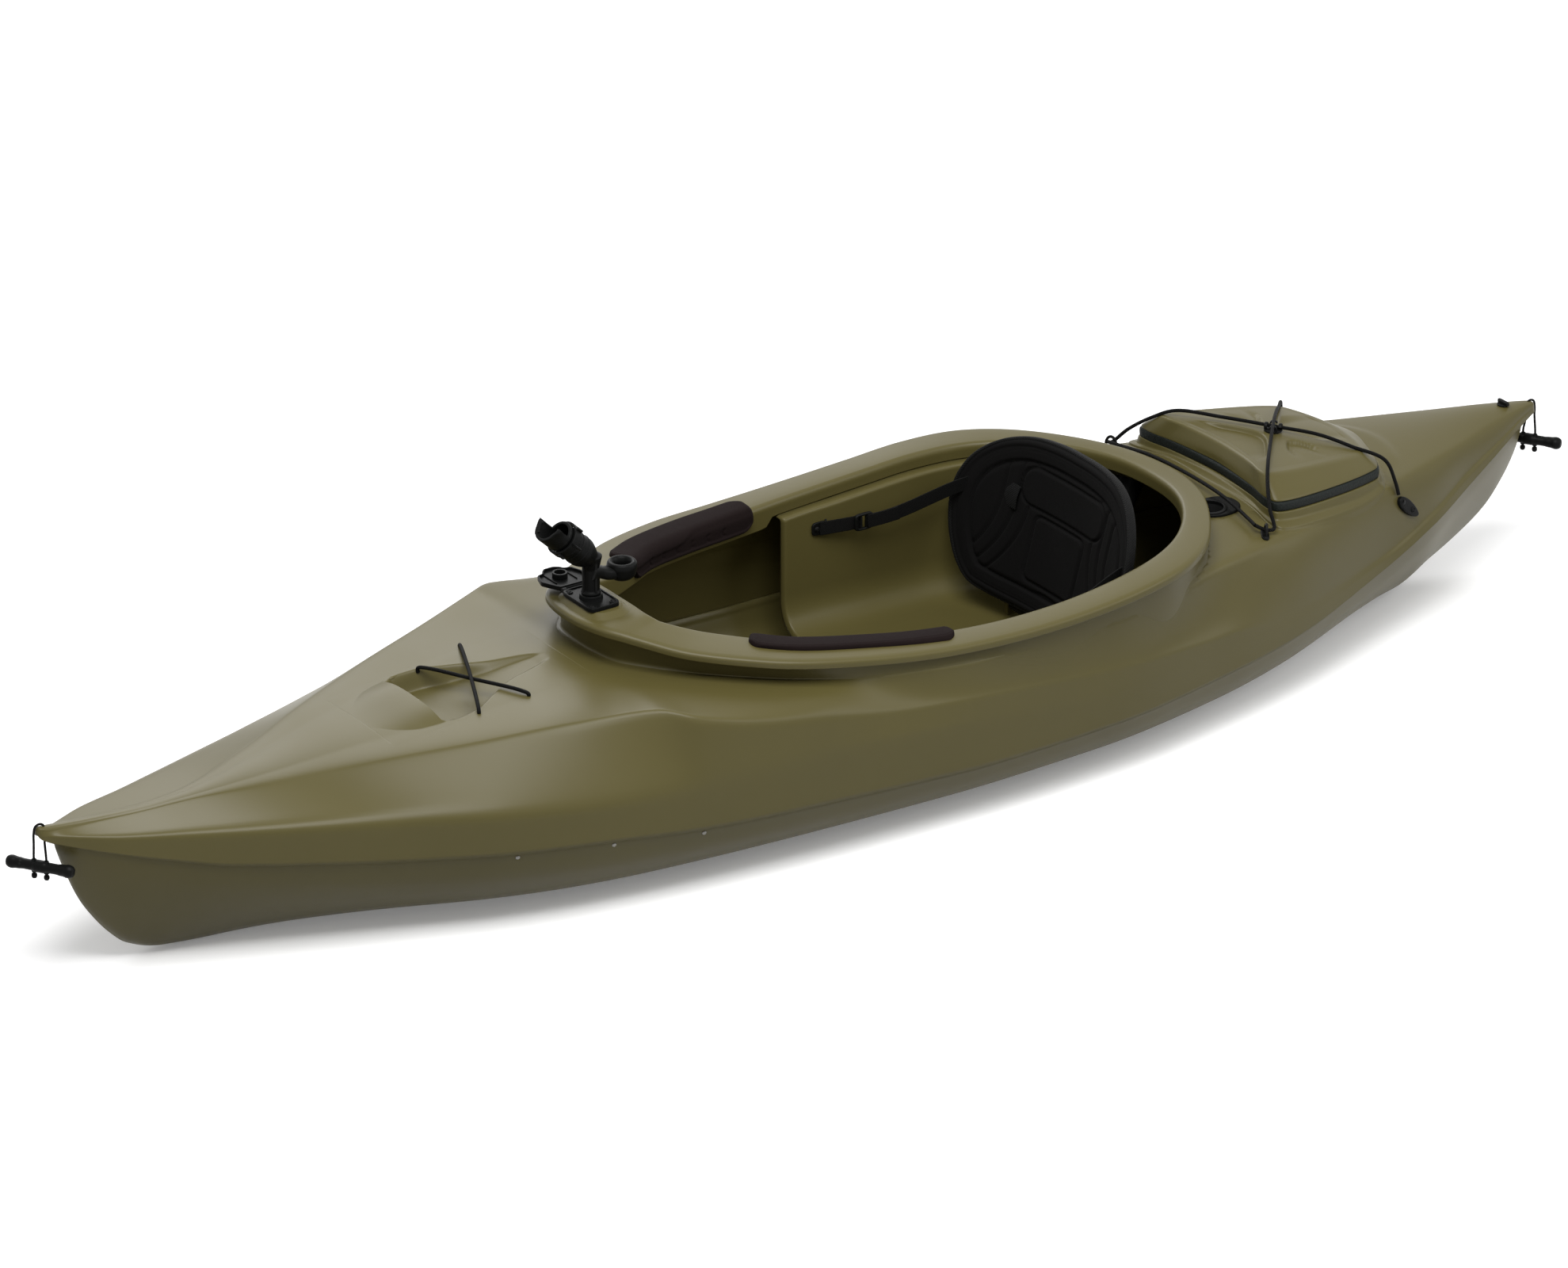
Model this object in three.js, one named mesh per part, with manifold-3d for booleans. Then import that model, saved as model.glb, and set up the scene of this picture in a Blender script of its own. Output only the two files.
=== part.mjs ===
// A ten-foot sit-in fishing kayak: a formed hull and deck, an open cockpit with its seat, a swivelling
// rod holder, a lift-off hatch, deck cords, carrying toggles and foot braces.
// Millimetres. +X runs to the bow, +Y to port and +Z up. The origin is under mid-length on the keel line.
import * as THREE from "three";
import { mergeVertices } from "three/addons/utils/BufferGeometryUtils.js";
import Module from "manifold-3d";

const wasm = await Module();
wasm.setup();

// Boat
const hullLength = 3048;
const hullBeam = 749;
const deckHeight = 330; // keel to the crown of the foredeck
const sheetWall = 4;
const lapHeight = 13; // hull edge that stands inside the deck edge
const lapGap = 0.6;
const seatingGap = 0.3; // between pieces that touch
const tipLength = 26; // solid nose and tail of the deck
const cutOverrun = 4;

// Coaming
const lipDrop = 26;
const rimRound = 9;
const rimCrown = 1.5;
const rimEdgeDrop = 15;
const skirtInset = 20;
const platformRise = 8;
const platformLength = 104;
const platformWidth = 166;
const platformRound = 14;

// Hatch
const stepFront = 22;
const stepBack = 9;
const stepDrop = 8;
const ledgeOut = 6;
const landWidth = 34;
const landLip = 13;
const gasketHeight = 17;
const gasketWidth = 18;
const gasketRound = 5;
const gasketSlit = 1.2;
const lidInset = 4;
const lidEdge = 5;
const lidRound = 7;
const lidSeat = 25; // width of the lid's edge over the gasket

// Foredeck recess and its hood
const recessDepth = 27;
const hoodRise = 9;
const recessCorner = 12;

// Cords
const bungeeThickness = 6.5;
const toggleCordThickness = 4;
const toggleLength = 120;
const toggleThickness = 23;
const toggleDrop = 72; // below the deck's tip
const toggleReach = 9.4; // past the hole
const toggleTurn = 34; // degrees, about the upright
const toggleSpacing = 11; // from the grip's middle to each strand
const knotRadius = 5;
const cordHoleWidth = 9;
const rearCordSteps = 54;
const foreCordSteps = 12;
const toggleCordSteps = 24;
const cordSides = 7;
const toggleSides = 12;
const tipToHole = 16;

// Seat and backrest
const seatFrontShare = -0.0774; // stations, of the half length
const seatBackShare = -0.3314;
const seatWall = 4;
const seatSide = 20; // inside the coaming's lip
const seatHeight = 92;
const seatDip = 9;
const seatCorner = 58;
const seatFlange = 8; // past the lip's inner face
const runnerWidth = 12;
const runnerPlace = 132;
const hingePinWidth = 8;
const hingeShare = -0.31496;
const hingeRise = 16; // above the pan
const lugWidth = 10;
const lugPlace = 120;
const backTilt = 15;
const backHeight = 300;
const backHalfWidthShare = 0.5928; // of the half beam
const backWrap = 62;
const backFrameWall = 3;
const padThickness = 30;
const padEdge = 13;
const channelDepth = 7;
const padFoot = 13; // above the hinge
const padArc = 10; // crown of the pad's upper edge
const strapWidth = 25;
const strapThickness = 2.2;
const strapHeightShare = 0.794; // of the deck's height
const anchorShare = -0.1247;
const buckleShare = -0.1772;
const buckleLength = 38;
const buckleWidth = 30;
const buckleThickness = 7;
const anchorLength = 30;
const anchorThickness = 4;

// Thigh pads
const thighPadReach = 47;
const thighPadThickness = 10;
const thighPadDrop = 38;

// Rod holder in front of the cockpit
const baseLength = 61;
const baseWidth = 92;
const baseThickness = 7;
const baseRound = 8;
const holderShare = 0.30249;
const collarRadius = 19;
const collarHeight = 6;
const swivelRadius = 14;
const swivelHeight = 72;
const barrelRadius = 26;
const barrelBore = 21;
const barrelLength = 92;
const barrelDepth = 62;
const barrelTilt = 43;
const barrelFoot = 18; // length of the cone below the barrel
const cradleLength = 30; // open-topped end of the barrel
const cupRadius = 23;
const cupBore = 17;
const cupHeight = 30;
const cupDepth = 22;
const cupReach = 61;
const armWidth = 26;
const armHeight = 20;
const armTilt = 14;
const lockWidth = 16;
const lockThickness = 4;
const lockTab = 16;
const coverWidth = 76;
const coverLength = 84;
const coverThickness = 4;
const coverRim = 4;
const coverBossRadius = 13;
const coverBossHeight = 9;
const coverPinWidth = 4;
const coverKnuckle = 8;
const coverRoom = 2.5; // between the base's edge and the knuckle

// Rod tubes behind the cockpit
const rodTubeShares = [-0.4895, 0.2884]; // of the half length and of the half beam
const rodFlangeLength = 88;
const rodFlangeWidth = 66;
const rodFlangeThickness = 5;
const rodTubeRadius = 25;
const rodTubeBore = 21.5;
const rodTubeLength = 190;
const rodTubeTilt = 27;
const rodMouthShift = 12;

// Deck fittings
const padEyeShares = [-0.502, 0.5928];
const padEyeLength = 38;
const padEyeWidth = 14;
const padEyeThickness = 3;
const padEyeLoop = 5;
const padEyeCord = 9.6; // height of the rear cord's middle, in the pad eye
const cleatShares = [-0.7323, 0.7152]; // of the half length and of the deck's height
const tearLength = 62;
const tearWidth = 22;
const tearThickness = 8;
const plugShare = -0.9554;
const plugHeadRadius = 11;
const plugHeadHeight = 3;
const plugStemRadius = 7;
const plugStemLength = 16;
const plugBarLength = 27;
const plugBarWidth = 7;
const plugBarHeight = 8;
const clipShare = -0.622;
const clipLength = 34;
const clipThickness = 3;
const lidCrown = 9;

// Foot braces
const railFrontShare = 0.5446;
const railBackShare = 0.2822;
const railHeightShare = 0.3576; // of the deck's height
const railWidth = 30;
const railThickness = 10;
const railStandoff = 13.5;
const railBossLength = 26;
const pedalShare = 0.40026;
const pedalWidth = 76;
const pedalHeight = 118;
const pedalThickness = 8;
const carriageLength = 64;
const carriageWall = 5;

const halfLength = hullLength / 2;
const halfBeam = hullBeam / 2;
const [seatFront, seatBack, hingeX] = [seatFrontShare, seatBackShare, hingeShare].map((s) => s * halfLength);
const [anchorX, buckleX, holderX] = [anchorShare, buckleShare, holderShare].map((s) => s * halfLength);
const backHalfWidth = backHalfWidthShare * halfBeam;
const [plugX, clipX, pedalX] = [plugShare, clipShare, pedalShare].map((s) => s * halfLength);
const [railFront, railBack] = [railFrontShare, railBackShare].map((s) => s * halfLength);
const [rodTubeX, rodTubeY] = [rodTubeShares[0] * halfLength, rodTubeShares[1] * halfBeam];
const [padEyeX, padEyeY] = [padEyeShares[0] * halfLength, padEyeShares[1] * halfBeam];
const [railHeight, strapHeight] = [railHeightShare, strapHeightShare].map((s) => s * deckHeight);
const [tearX, tearZ] = [cleatShares[0] * halfLength, cleatShares[1] * deckHeight];

// Table of offsets, from the stern to the bow. Each row gives the station as a share of the half length,
// then half-breadths as shares of the half beam and heights as shares of the deck height:
// seam, top of the side wall, shoulder ridge, brow of the deck, and last the crown height alone.
const offsetShares = [
  [-1.0, 0.022, 0.79, 0.02, 0.8, 0.018, 0.818, 0.012, 0.836, 0.84],
  [-0.985, 0.05, 0.78, 0.046, 0.8, 0.042, 0.812, 0.03, 0.844, 0.85],
  [-0.92, 0.176, 0.718, 0.168, 0.75, 0.158, 0.765, 0.107, 0.857, 0.873],
  [-0.853, 0.288, 0.633, 0.278, 0.678, 0.264, 0.703, 0.214, 0.852, 0.88],
  [-0.78, 0.419, 0.555, 0.408, 0.596, 0.395, 0.62, 0.315, 0.855, 0.888],
  [-0.682, 0.54, 0.447, 0.53, 0.495, 0.518, 0.523, 0.462, 0.861, 0.9],
  [-0.518, 0.758, 0.352, 0.75, 0.44, 0.742, 0.5, 0.635, 0.879, 0.936],
  [-0.413, 0.86, 0.333, 0.853, 0.463, 0.847, 0.552, 0.745, 0.885, 0.94],
  [-0.232, 0.977, 0.312, 0.972, 0.49, 0.963, 0.615, 0.93, 0.882, 0.938],
  [-0.062, 1.0, 0.306, 0.992, 0.56, 0.978, 0.685, 0.946, 0.888, 0.94],
  [0.039, 0.993, 0.32, 0.985, 0.6, 0.958, 0.727, 0.89, 0.903, 0.955],
  [0.151, 0.977, 0.342, 0.965, 0.624, 0.935, 0.806, 0.69, 0.918, 0.968],
  [0.23, 0.957, 0.355, 0.945, 0.622, 0.906, 0.866, 0.5, 0.945, 0.976],
  [0.298, 0.934, 0.37, 0.922, 0.624, 0.86, 0.945, 0.4, 0.967, 0.98],
  [0.338, 0.918, 0.385, 0.905, 0.627, 0.755, 0.99, 0.375, 0.985, 0.987],
  [0.427, 0.872, 0.424, 0.86, 0.642, 0.62, 0.961, 0.31, 0.972, 0.978],
  [0.525, 0.783, 0.445, 0.77, 0.673, 0.491, 0.921, 0.246, 0.938, 0.945],
  [0.623, 0.64, 0.467, 0.625, 0.7, 0.342, 0.879, 0.171, 0.895, 0.903],
  [0.722, 0.495, 0.506, 0.48, 0.724, 0.19, 0.818, 0.095, 0.835, 0.842],
  [0.82, 0.346, 0.558, 0.332, 0.748, 0.056, 0.785, 0.028, 0.79, 0.793],
  [0.86, 0.284, 0.6, 0.27, 0.757, 0.04, 0.782, 0.02, 0.786, 0.788],
  [0.92, 0.196, 0.673, 0.182, 0.773, 0.034, 0.793, 0.017, 0.799, 0.802],
  [0.985, 0.05, 0.752, 0.046, 0.79, 0.03, 0.812, 0.016, 0.826, 0.83],
  [1.0, 0.022, 0.785, 0.02, 0.8, 0.016, 0.822, 0.01, 0.836, 0.84],
];

// Keel line with its curved stems: station share, height share.
const keelShares = [
  [-0.979, 0.66], [-0.97, 0.552], [-0.953, 0.427], [-0.928, 0.3], [-0.889, 0.19], [-0.841, 0.095],
  [-0.77, 0.0], [0.8, 0.0], [0.855, 0.012], [0.894, 0.076], [0.915, 0.16], [0.939, 0.3],
  [0.953, 0.409], [0.968, 0.58], [0.977, 0.7],
];

// Half sections of the hull below the seam: half-breadth share, height share.
const midSectionShares = [
  [0, 0], [0.25, 0], [0.52, 0.03], [0.7, 0.13], [0.84, 0.31], [0.94, 0.58], [1, 1],
];
const endSectionShares = [
  [0, 0], [0.18, 0.06], [0.38, 0.22], [0.58, 0.42], [0.76, 0.63], [0.9, 0.82], [1, 1],
];
const flatRunShare = 0.35;

// Cockpit rim, from the front round the port side to the back: inner edge, outer edge and foot of the
// skirt as shares of the half length and half beam, and the height of the rim as a share of deck height.
const cockpitShares = [
  [0.261, 0.0, 0.336, 0.0, 0.314, 0.0, 1.194],
  [0.261, 0.107, 0.334, 0.112, 0.312, 0.107, 1.194],
  [0.26, 0.208, 0.325, 0.227, 0.306, 0.214, 1.188],
  [0.253, 0.246, 0.305, 0.331, 0.294, 0.28, 1.164],
  [0.217, 0.347, 0.262, 0.51, 0.253, 0.44, 1.109],
  [0.163, 0.497, 0.197, 0.694, 0.19, 0.619, 1.067],
  [0.131, 0.579, 0.154, 0.788, 0.15, 0.716, 1.048],
  [0.066, 0.67, 0.075, 0.892, 0.073, 0.852, 1.021],
  [0.0, 0.74, 0.003, 0.945, 0.002, 0.913, 0.997],
  [-0.066, 0.79, -0.066, 0.975, -0.066, 0.943, 0.988],
  [-0.131, 0.814, -0.135, 0.991, -0.135, 0.95, 0.991],
  [-0.197, 0.817, -0.203, 0.992, -0.203, 0.938, 1.006],
  [-0.262, 0.796, -0.272, 0.975, -0.27, 0.913, 1.033],
  [-0.322, 0.734, -0.335, 0.911, -0.331, 0.86, 1.052],
  [-0.371, 0.619, -0.388, 0.769, -0.384, 0.734, 1.058],
  [-0.413, 0.441, -0.436, 0.534, -0.43, 0.507, 1.058],
  [-0.441, 0.227, -0.47, 0.275, -0.458, 0.259, 1.052],
  [-0.449, 0.0, -0.482, 0.0, -0.467, 0.0, 1.048],
];

// Hatch, from the front round the port side to the back: outline of the gasket and of the lid's top.
const hatchShares = [
  [-0.54, 0.0, -0.5485, 0.0],
  [-0.538, 0.16, -0.547, 0.12],
  [-0.5335, 0.32, -0.543, 0.24],
  [-0.527, 0.455, -0.537, 0.334],
  [-0.529, 0.523, -0.538, 0.376],
  [-0.545, 0.542, -0.5525, 0.382],
  [-0.628, 0.497, -0.628, 0.328],
  [-0.6825, 0.437, -0.6825, 0.286],
  [-0.697, 0.407, -0.694, 0.262],
  [-0.71, 0.324, -0.701, 0.2],
  [-0.725, 0.187, -0.707, 0.107],
  [-0.738, 0.0, -0.709, 0.0],
];
const landFrontShare = 0.955; // heights along the hatch, of the deck height
const landBackShare = 0.9;
const lidTopFrontShare = 1.112;
const lidTopBackShare = 1.0;

// Foredeck recess: station share, half-breadth share and depth as a share of the recess depth.
const recessShares = [
  [0.53, 0.235, 1], [0.517, 0.262, 1], [0.49, 0.25, 1], [0.46, 0.187, 0.8],
  [0.42, 0.107, 0.42], [0.385, 0.07, 0.2], [0.358, 0.03, 0.04],
];
// Hood over its front edge: station share, half-breadth share and rise as a share of the hood rise.
const hoodShares = [
  [0.526, 0.245, 1], [0.545, 0.25, 0.97], [0.565, 0.23, 0.8], [0.582, 0.19, 0.45], [0.594, 0.12, 0.02],
];

const shell = new THREE.MeshStandardMaterial({ color: 0x6a6444, roughness: 0.48, metalness: 0 });
const plastic = new THREE.MeshStandardMaterial({ color: 0x171715, roughness: 0.45, metalness: 0 });
const foam = new THREE.MeshStandardMaterial({ color: 0x1c1b1a, roughness: 0.9, metalness: 0 });
const pad = new THREE.MeshStandardMaterial({ color: 0x2b2422, roughness: 0.85, metalness: 0 });
const cord = new THREE.MeshStandardMaterial({ color: 0x121211, roughness: 0.8, metalness: 0 });
const rubber = new THREE.MeshStandardMaterial({ color: 0x262a28, roughness: 0.7, metalness: 0 });
const steel = new THREE.MeshStandardMaterial({ color: 0x8c8c8a, roughness: 0.35, metalness: 0.9 });

const kayak = new THREE.Group();

// Reading the tables

function bracket(rows, at) {
  let k = 0;
  while (k < rows.length - 2 && at > rows[k + 1][0]) k += 1;
  return k;
}

function slopeAt(rows, k, column) {
  const gradient = (i) => (rows[i + 1][column] - rows[i][column]) / (rows[i + 1][0] - rows[i][0]);
  if (k === 0) return gradient(0);
  if (k === rows.length - 1) return gradient(k - 1);
  const before = gradient(k - 1);
  const after = gradient(k);
  return before * after <= 0 ? 0 : (2 * before * after) / (before + after);
}

// Cubic through a table's column that never overshoots its points.
function fair(rows, column, at) {
  const k = bracket(rows, at);
  const [x0, x1] = [rows[k][0], rows[k + 1][0]];
  const t = Math.min(1, Math.max(0, (at - x0) / (x1 - x0)));
  const [t2, t3] = [t * t, t * t * t];
  return (
    rows[k][column] * (2 * t3 - 3 * t2 + 1) +
    slopeAt(rows, k, column) * (x1 - x0) * (t3 - 2 * t2 + t) +
    rows[k + 1][column] * (3 * t2 - 2 * t3) +
    slopeAt(rows, k + 1, column) * (x1 - x0) * (t3 - t2)
  );
}

function straight(points, at) {
  const k = bracket(points, at);
  const t = (at - points[k][0]) / (points[k + 1][0] - points[k][0]);
  return points[k][1] + t * (points[k + 1][1] - points[k][1]);
}

const mix = (a, b, t) => a + (b - a) * t;
const spread = (count) => Array.from({ length: count + 1 }, (_, i) => i / count);
const smooth = (t) => {
  const c = Math.min(1, Math.max(0, t));
  return c * c * (3 - 2 * c);
};

// Solids

function solidOf(geometry) {
  const bare = geometry.clone();
  bare.deleteAttribute("normal");
  bare.deleteAttribute("uv");
  const merged = mergeVertices(bare, 1e-4);
  const mesh = { numProp: 3, vertProperties: merged.attributes.position.array };
  return new wasm.Manifold(new wasm.Mesh({ ...mesh, triVerts: Uint32Array.from(merged.index.array) }));
}

function placed(geometry, place, turns = [0, 0, 0]) {
  const turned = new THREE.Euler(...turns.map((angle) => THREE.MathUtils.degToRad(angle)), "ZYX");
  const matrix = new THREE.Matrix4().makeRotationFromEuler(turned).setPosition(...place);
  return geometry.clone().applyMatrix4(matrix);
}

const joined = (...geometries) => geometries.map(solidOf).reduce((all, one) => all.add(one));
const cutBy = (body, ...geometries) => geometries.reduce((left, one) => left.subtract(solidOf(one)), body);
const block = (x, y, z) => new THREE.BoxGeometry(x, y, z);
const post = (radius, height, sides = 18, top = radius) =>
  new THREE.CylinderGeometry(top, radius, height, sides).rotateX(Math.PI / 2);

function plate(outline, thickness, holes = []) {
  const shape = new THREE.Shape(outline.map(([x, y]) => new THREE.Vector2(x, y)));
  holes.forEach((hole) => shape.holes.push(new THREE.Path(hole.map(([x, y]) => new THREE.Vector2(x, y)))));
  return new THREE.ExtrudeGeometry(shape, { depth: thickness, bevelEnabled: false });
}

// Outline of a rectangle with rounded corners; full rounding gives an oval end.
function rounded(x, y, radius, steps = 3) {
  const corners = [[1, 1], [-1, 1], [-1, -1], [1, -1]];
  return corners.flatMap(([sx, sy], quarter) =>
    spread(steps).map((t) => {
      const angle = ((quarter + t) * Math.PI) / 2;
      return [
        sx * (x / 2 - radius) + radius * Math.cos(angle),
        sy * (y / 2 - radius) + radius * Math.sin(angle),
      ];
    }),
  );
}

function tube(route, thickness, steps, sides) {
  const path = new THREE.CatmullRomCurve3(route.map((p) => new THREE.Vector3(...p)), false, "centripetal");
  const ring = spread(sides).slice(1).map((t) => t * 2 * Math.PI);
  const shape = new THREE.Shape(
    ring.map((a) => new THREE.Vector2((thickness / 2) * Math.cos(a), (thickness / 2) * Math.sin(a))),
  );
  return new THREE.ExtrudeGeometry(shape, { steps, extrudePath: path, bevelEnabled: false });
}

function geometryOf(solid) {
  const made = solid.getMesh();
  const geometry = new THREE.BufferGeometry();
  geometry.setAttribute("position", new THREE.BufferAttribute(Float32Array.from(made.vertProperties), 3));
  geometry.setIndex(new THREE.BufferAttribute(Uint32Array.from(made.triVerts), 1));
  return geometry;
}

const sides = [["port", 1], ["starboard", -1]];
const mirrored = (geometry, side) => {
  if (side > 0) return geometry;
  const turned = geometry.clone().scale(1, -1, 1);
  const flat = turned.index ? turned.toNonIndexed() : turned;
  const values = flat.attributes.position.array;
  for (let i = 0; i < values.length; i += 9) {
    for (let axis = 0; axis < 3; axis += 1) {
      [values[i + axis], values[i + 3 + axis]] = [values[i + 3 + axis], values[i + axis]];
    }
  }
  return flat;
};

function addPiece(name, solid, material) {
  const geometry = geometryOf(solid);
  geometry.computeVertexNormals();
  const piece = new THREE.Mesh(geometry, material);
  piece.name = name;
  kayak.add(piece);
  return solid;
}

// A body from rings of points, with its faces turned outwards.
function facesOut(points, faces) {
  const volume = faces.reduce((sum, [a, b, c]) => {
    const [p, q, r] = [a, b, c].map((i) => new THREE.Vector3(...points[i]));
    return sum + p.dot(q.cross(r));
  }, 0);
  const geometry = new THREE.BufferGeometry();
  geometry.setAttribute("position", new THREE.Float32BufferAttribute(points.flat(), 3));
  geometry.setIndex(faces.flatMap(([a, b, c]) => (volume > 0 ? [a, b, c] : [a, c, b])));
  return geometry;
}

function bandFaces(count, first, second) {
  return spread(count).slice(1).flatMap((_, i) => {
    const j = (i + 1) % count;
    return [[first + i, second + i, second + j], [first + i, second + j, first + j]];
  });
}

// Fan of faces that closes a ring about its middle point.
function capFaces(count, base, middle, along) {
  return spread(count).slice(1).map((_, i) => {
    const j = (i + 1) % count;
    return along ? [base + i, base + j, middle] : [base + j, base + i, middle];
  });
}

function middleOf(ring) {
  return [0, 1, 2].map((axis) => ring.reduce((sum, p) => sum + p[axis], 0) / ring.length);
}

// Strip of faces across a ring whose first half runs back along its second half.
function stripFaces(count, base, along) {
  return spread(count / 2 - 1).slice(1).flatMap((_, i) => {
    const [a, b, c, d] = [i, i + 1, count - 2 - i, count - 1 - i].map((n) => base + n);
    return along ? [[a, b, c], [a, c, d]] : [[c, b, a], [d, c, a]];
  });
}

// Loft through thin rings, such as those of a cushion, closed by strips.
function slab(rings) {
  const count = rings[0].length;
  const last = rings.length - 1;
  const faces = spread(last).slice(1).flatMap((_, k) => bandFaces(count, k * count, (k + 1) * count));
  faces.push(...stripFaces(count, 0, true), ...stripFaces(count, last * count, false));
  return facesOut(rings.flat(), faces);
}

// Loft through rings of equal count, with closed ends.
function loft(rings) {
  const count = rings[0].length;
  const last = rings.length - 1;
  const faces = spread(last).slice(1).flatMap((_, k) => bandFaces(count, k * count, (k + 1) * count));
  const end = rings.length * count;
  faces.push(...capFaces(count, 0, end, true), ...capFaces(count, last * count, end + 1, false));
  return facesOut([...rings.flat(), middleOf(rings[0]), middleOf(rings[last])], faces);
}

// Ring-shaped body: sections that follow one another round a loop.
function hoop(rings) {
  const count = rings[0].length;
  const faces = rings.flatMap((_, k) => bandFaces(count, k * count, ((k + 1) % rings.length) * count));
  return facesOut(rings.flat(), faces);
}

// Sections of the boat

function deckLines(x) {
  const at = x / halfLength;
  const width = (column) => fair(offsetShares, column, at) * halfBeam;
  const height = (column) => fair(offsetShares, column, at) * deckHeight;
  return {
    seam: [width(1), height(2)],
    wall: [width(3), height(4)],
    ridge: [width(5), height(6)],
    brow: [width(7), height(8)],
    crown: height(9),
  };
}

const shoulderSteps = 3;
const crownSteps = 2;
const shoulderReachShare = 0.8;
const shoulderLiftShare = 0.84;

// Port half of the deck's outer section, from the seam up to the centre line.
function deckHalf(x) {
  const { seam, wall, ridge, brow, crown } = deckLines(x);
  const points = [seam, wall, [mix(wall[0], ridge[0], 0.5), mix(wall[1], ridge[1], 0.5)]];
  const turn = [mix(brow[0], ridge[0], shoulderReachShare), mix(ridge[1], brow[1], shoulderLiftShare)];
  for (const t of spread(shoulderSteps)) {
    const bend = (axis) => (1 - t) ** 2 * ridge[axis] + 2 * t * (1 - t) * turn[axis] + t * t * brow[axis];
    points.push([bend(0), bend(1)]);
  }
  for (const t of spread(crownSteps).slice(1)) {
    points.push([brow[0] * (1 - t), crown - (crown - brow[1]) * (1 - t) ** 2]);
  }
  return points;
}

const wholeSection = (half) => [...half, ...half.slice(0, -1).reverse().map(([y, z]) => [-y, z])];
const ringAt = (x, half) => wholeSection(half).map(([y, z]) => [x, y, z]);

// A half section drawn in by the sheet's wall from the outside of a body open at one height.
function drawnIn(half, open, wall) {
  const width = Math.max(...half.map(([y]) => y));
  const depth = Math.abs(half[half.length - 1][1] - open);
  return half.map(([y, z]) => [(y * (width - wall)) / width, open + ((z - open) * (depth - wall)) / depth]);
}

function deckTop(x, y) {
  const half = deckHalf(x).reverse();
  return straight(half, Math.min(Math.abs(y), half[half.length - 1][0]));
}

function deckInside(x, z) {
  const { seam } = deckLines(x);
  const rising = drawnIn(deckHalf(x), seam[1], sheetWall).map(([y, h]) => [h, y]);
  return straight(rising, z);
}

const keelHeight = (x) => fair(keelShares, 1, x / halfLength) * deckHeight;

// Port half of the hull's outer section, from the top of its edge down to the keel.
function hullHalf(x) {
  const { seam } = deckLines(x);
  const end = smooth((Math.abs(x) / halfLength - flatRunShare) / (1 - flatRunShare));
  const edge = (z) => deckInside(x, z) - lapGap;
  const points = midSectionShares.map(([breadth, height], i) => [
    mix(breadth, endSectionShares[i][0], end) * edge(seam[1]),
    mix(keelHeight(x), seam[1], mix(height, endSectionShares[i][1], end)),
  ]);
  return [[edge(seam[1] + lapHeight), seam[1] + lapHeight], ...points.reverse()];
}

const hullInner = (x) => drawnIn(hullHalf(x), hullHalf(x)[0][1], sheetWall);

function floorTop(x, y) {
  const inner = hullInner(x).reverse();
  return straight(inner, Math.min(Math.abs(y), inner[inner.length - 1][0]));
}

// Inner half-breadth of the hull at a height, read between the stations that it is lofted through.
function hullInside(x, z) {
  const k = stations.findIndex((station) => station > x);
  const [x0, x1] = [stations[k - 1], stations[k]];
  const at = (station) => straight(hullInner(station).map(([y, h]) => [h, y]).reverse(), z);
  return mix(at(x0), at(x1), (x - x0) / (x1 - x0));
}

// Stations crowd towards the ends, where the lines turn fastest.
const stationsShares = (count) => spread(count).map((t) => {
  const s = 2 * t - 1;
  return mix(s, Math.sin((s * Math.PI) / 2), 0.6);
});

// Hull

const hullEnds = [keelShares[0][0] * halfLength, keelShares[keelShares.length - 1][0] * halfLength];
const stemWidth = 44; // solid part of each stem
const deckEnd = halfLength - tipLength;
const stationCount = 32;

// Deck and hull share their stations, so the lap between them keeps its gap along the whole seam.
const stations = [...stationsShares(stationCount).map((s) => s * deckEnd), ...hullEnds].sort((a, b) => a - b);
const between = (from, to) => [from, ...stations.filter((x) => x > from && x < to), to];

const hullBody = solidOf(loft(between(...hullEnds).map((x) => ringAt(x, hullHalf(x)))));
const hullHollow = solidOf(
  loft(
    stations.filter((x) => x > hullEnds[0] + stemWidth && x < hullEnds[1] - stemWidth).map((x) => {
      const [edge, ...rest] = hullInner(x);
      return ringAt(x, [[edge[0], edge[1] + cutOverrun], ...rest]);
    }),
  ),
);
const hullShell = hullBody.subtract(hullHollow);

// Deck

const deckBody = solidOf(
  loft([-halfLength, ...stations, halfLength].map((x) => ringAt(x, deckHalf(x)))),
);
const deckHollow = solidOf(
  loft(
    stations.map((x) => {
      const { seam } = deckLines(x);
      const [edge, ...rest] = drawnIn(deckHalf(x), seam[1], sheetWall);
      return ringAt(x, [[edge[0], seam[1] - cutOverrun], edge, ...rest]);
    }),
  ),
);

// A closed curve in plan through a table's two columns, port side and its mirror image.
function outlineCurve(rows, columnX, columnY) {
  const port = rows.map((row) => [row[columnX] * halfLength, row[columnY] * halfBeam]);
  const starboard = port.slice(1, -1).reverse().map(([x, y]) => [x, -y]);
  const points = [...port, ...starboard].map(([x, y]) => new THREE.Vector3(x, y, 0));
  return new THREE.CatmullRomCurve3(points, true, "centripetal");
}

function heightCurve(rows, column) {
  const port = rows.map((row) => row[column] * deckHeight);
  const all = [...port, ...port.slice(1, -1).reverse()];
  return (t) => {
    const k = Math.floor(t * all.length) % all.length;
    const part = t * all.length - Math.floor(t * all.length);
    return mix(all[k], all[(k + 1) % all.length], smooth(part) * 0.5 + part * 0.5);
  };
}

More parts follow.
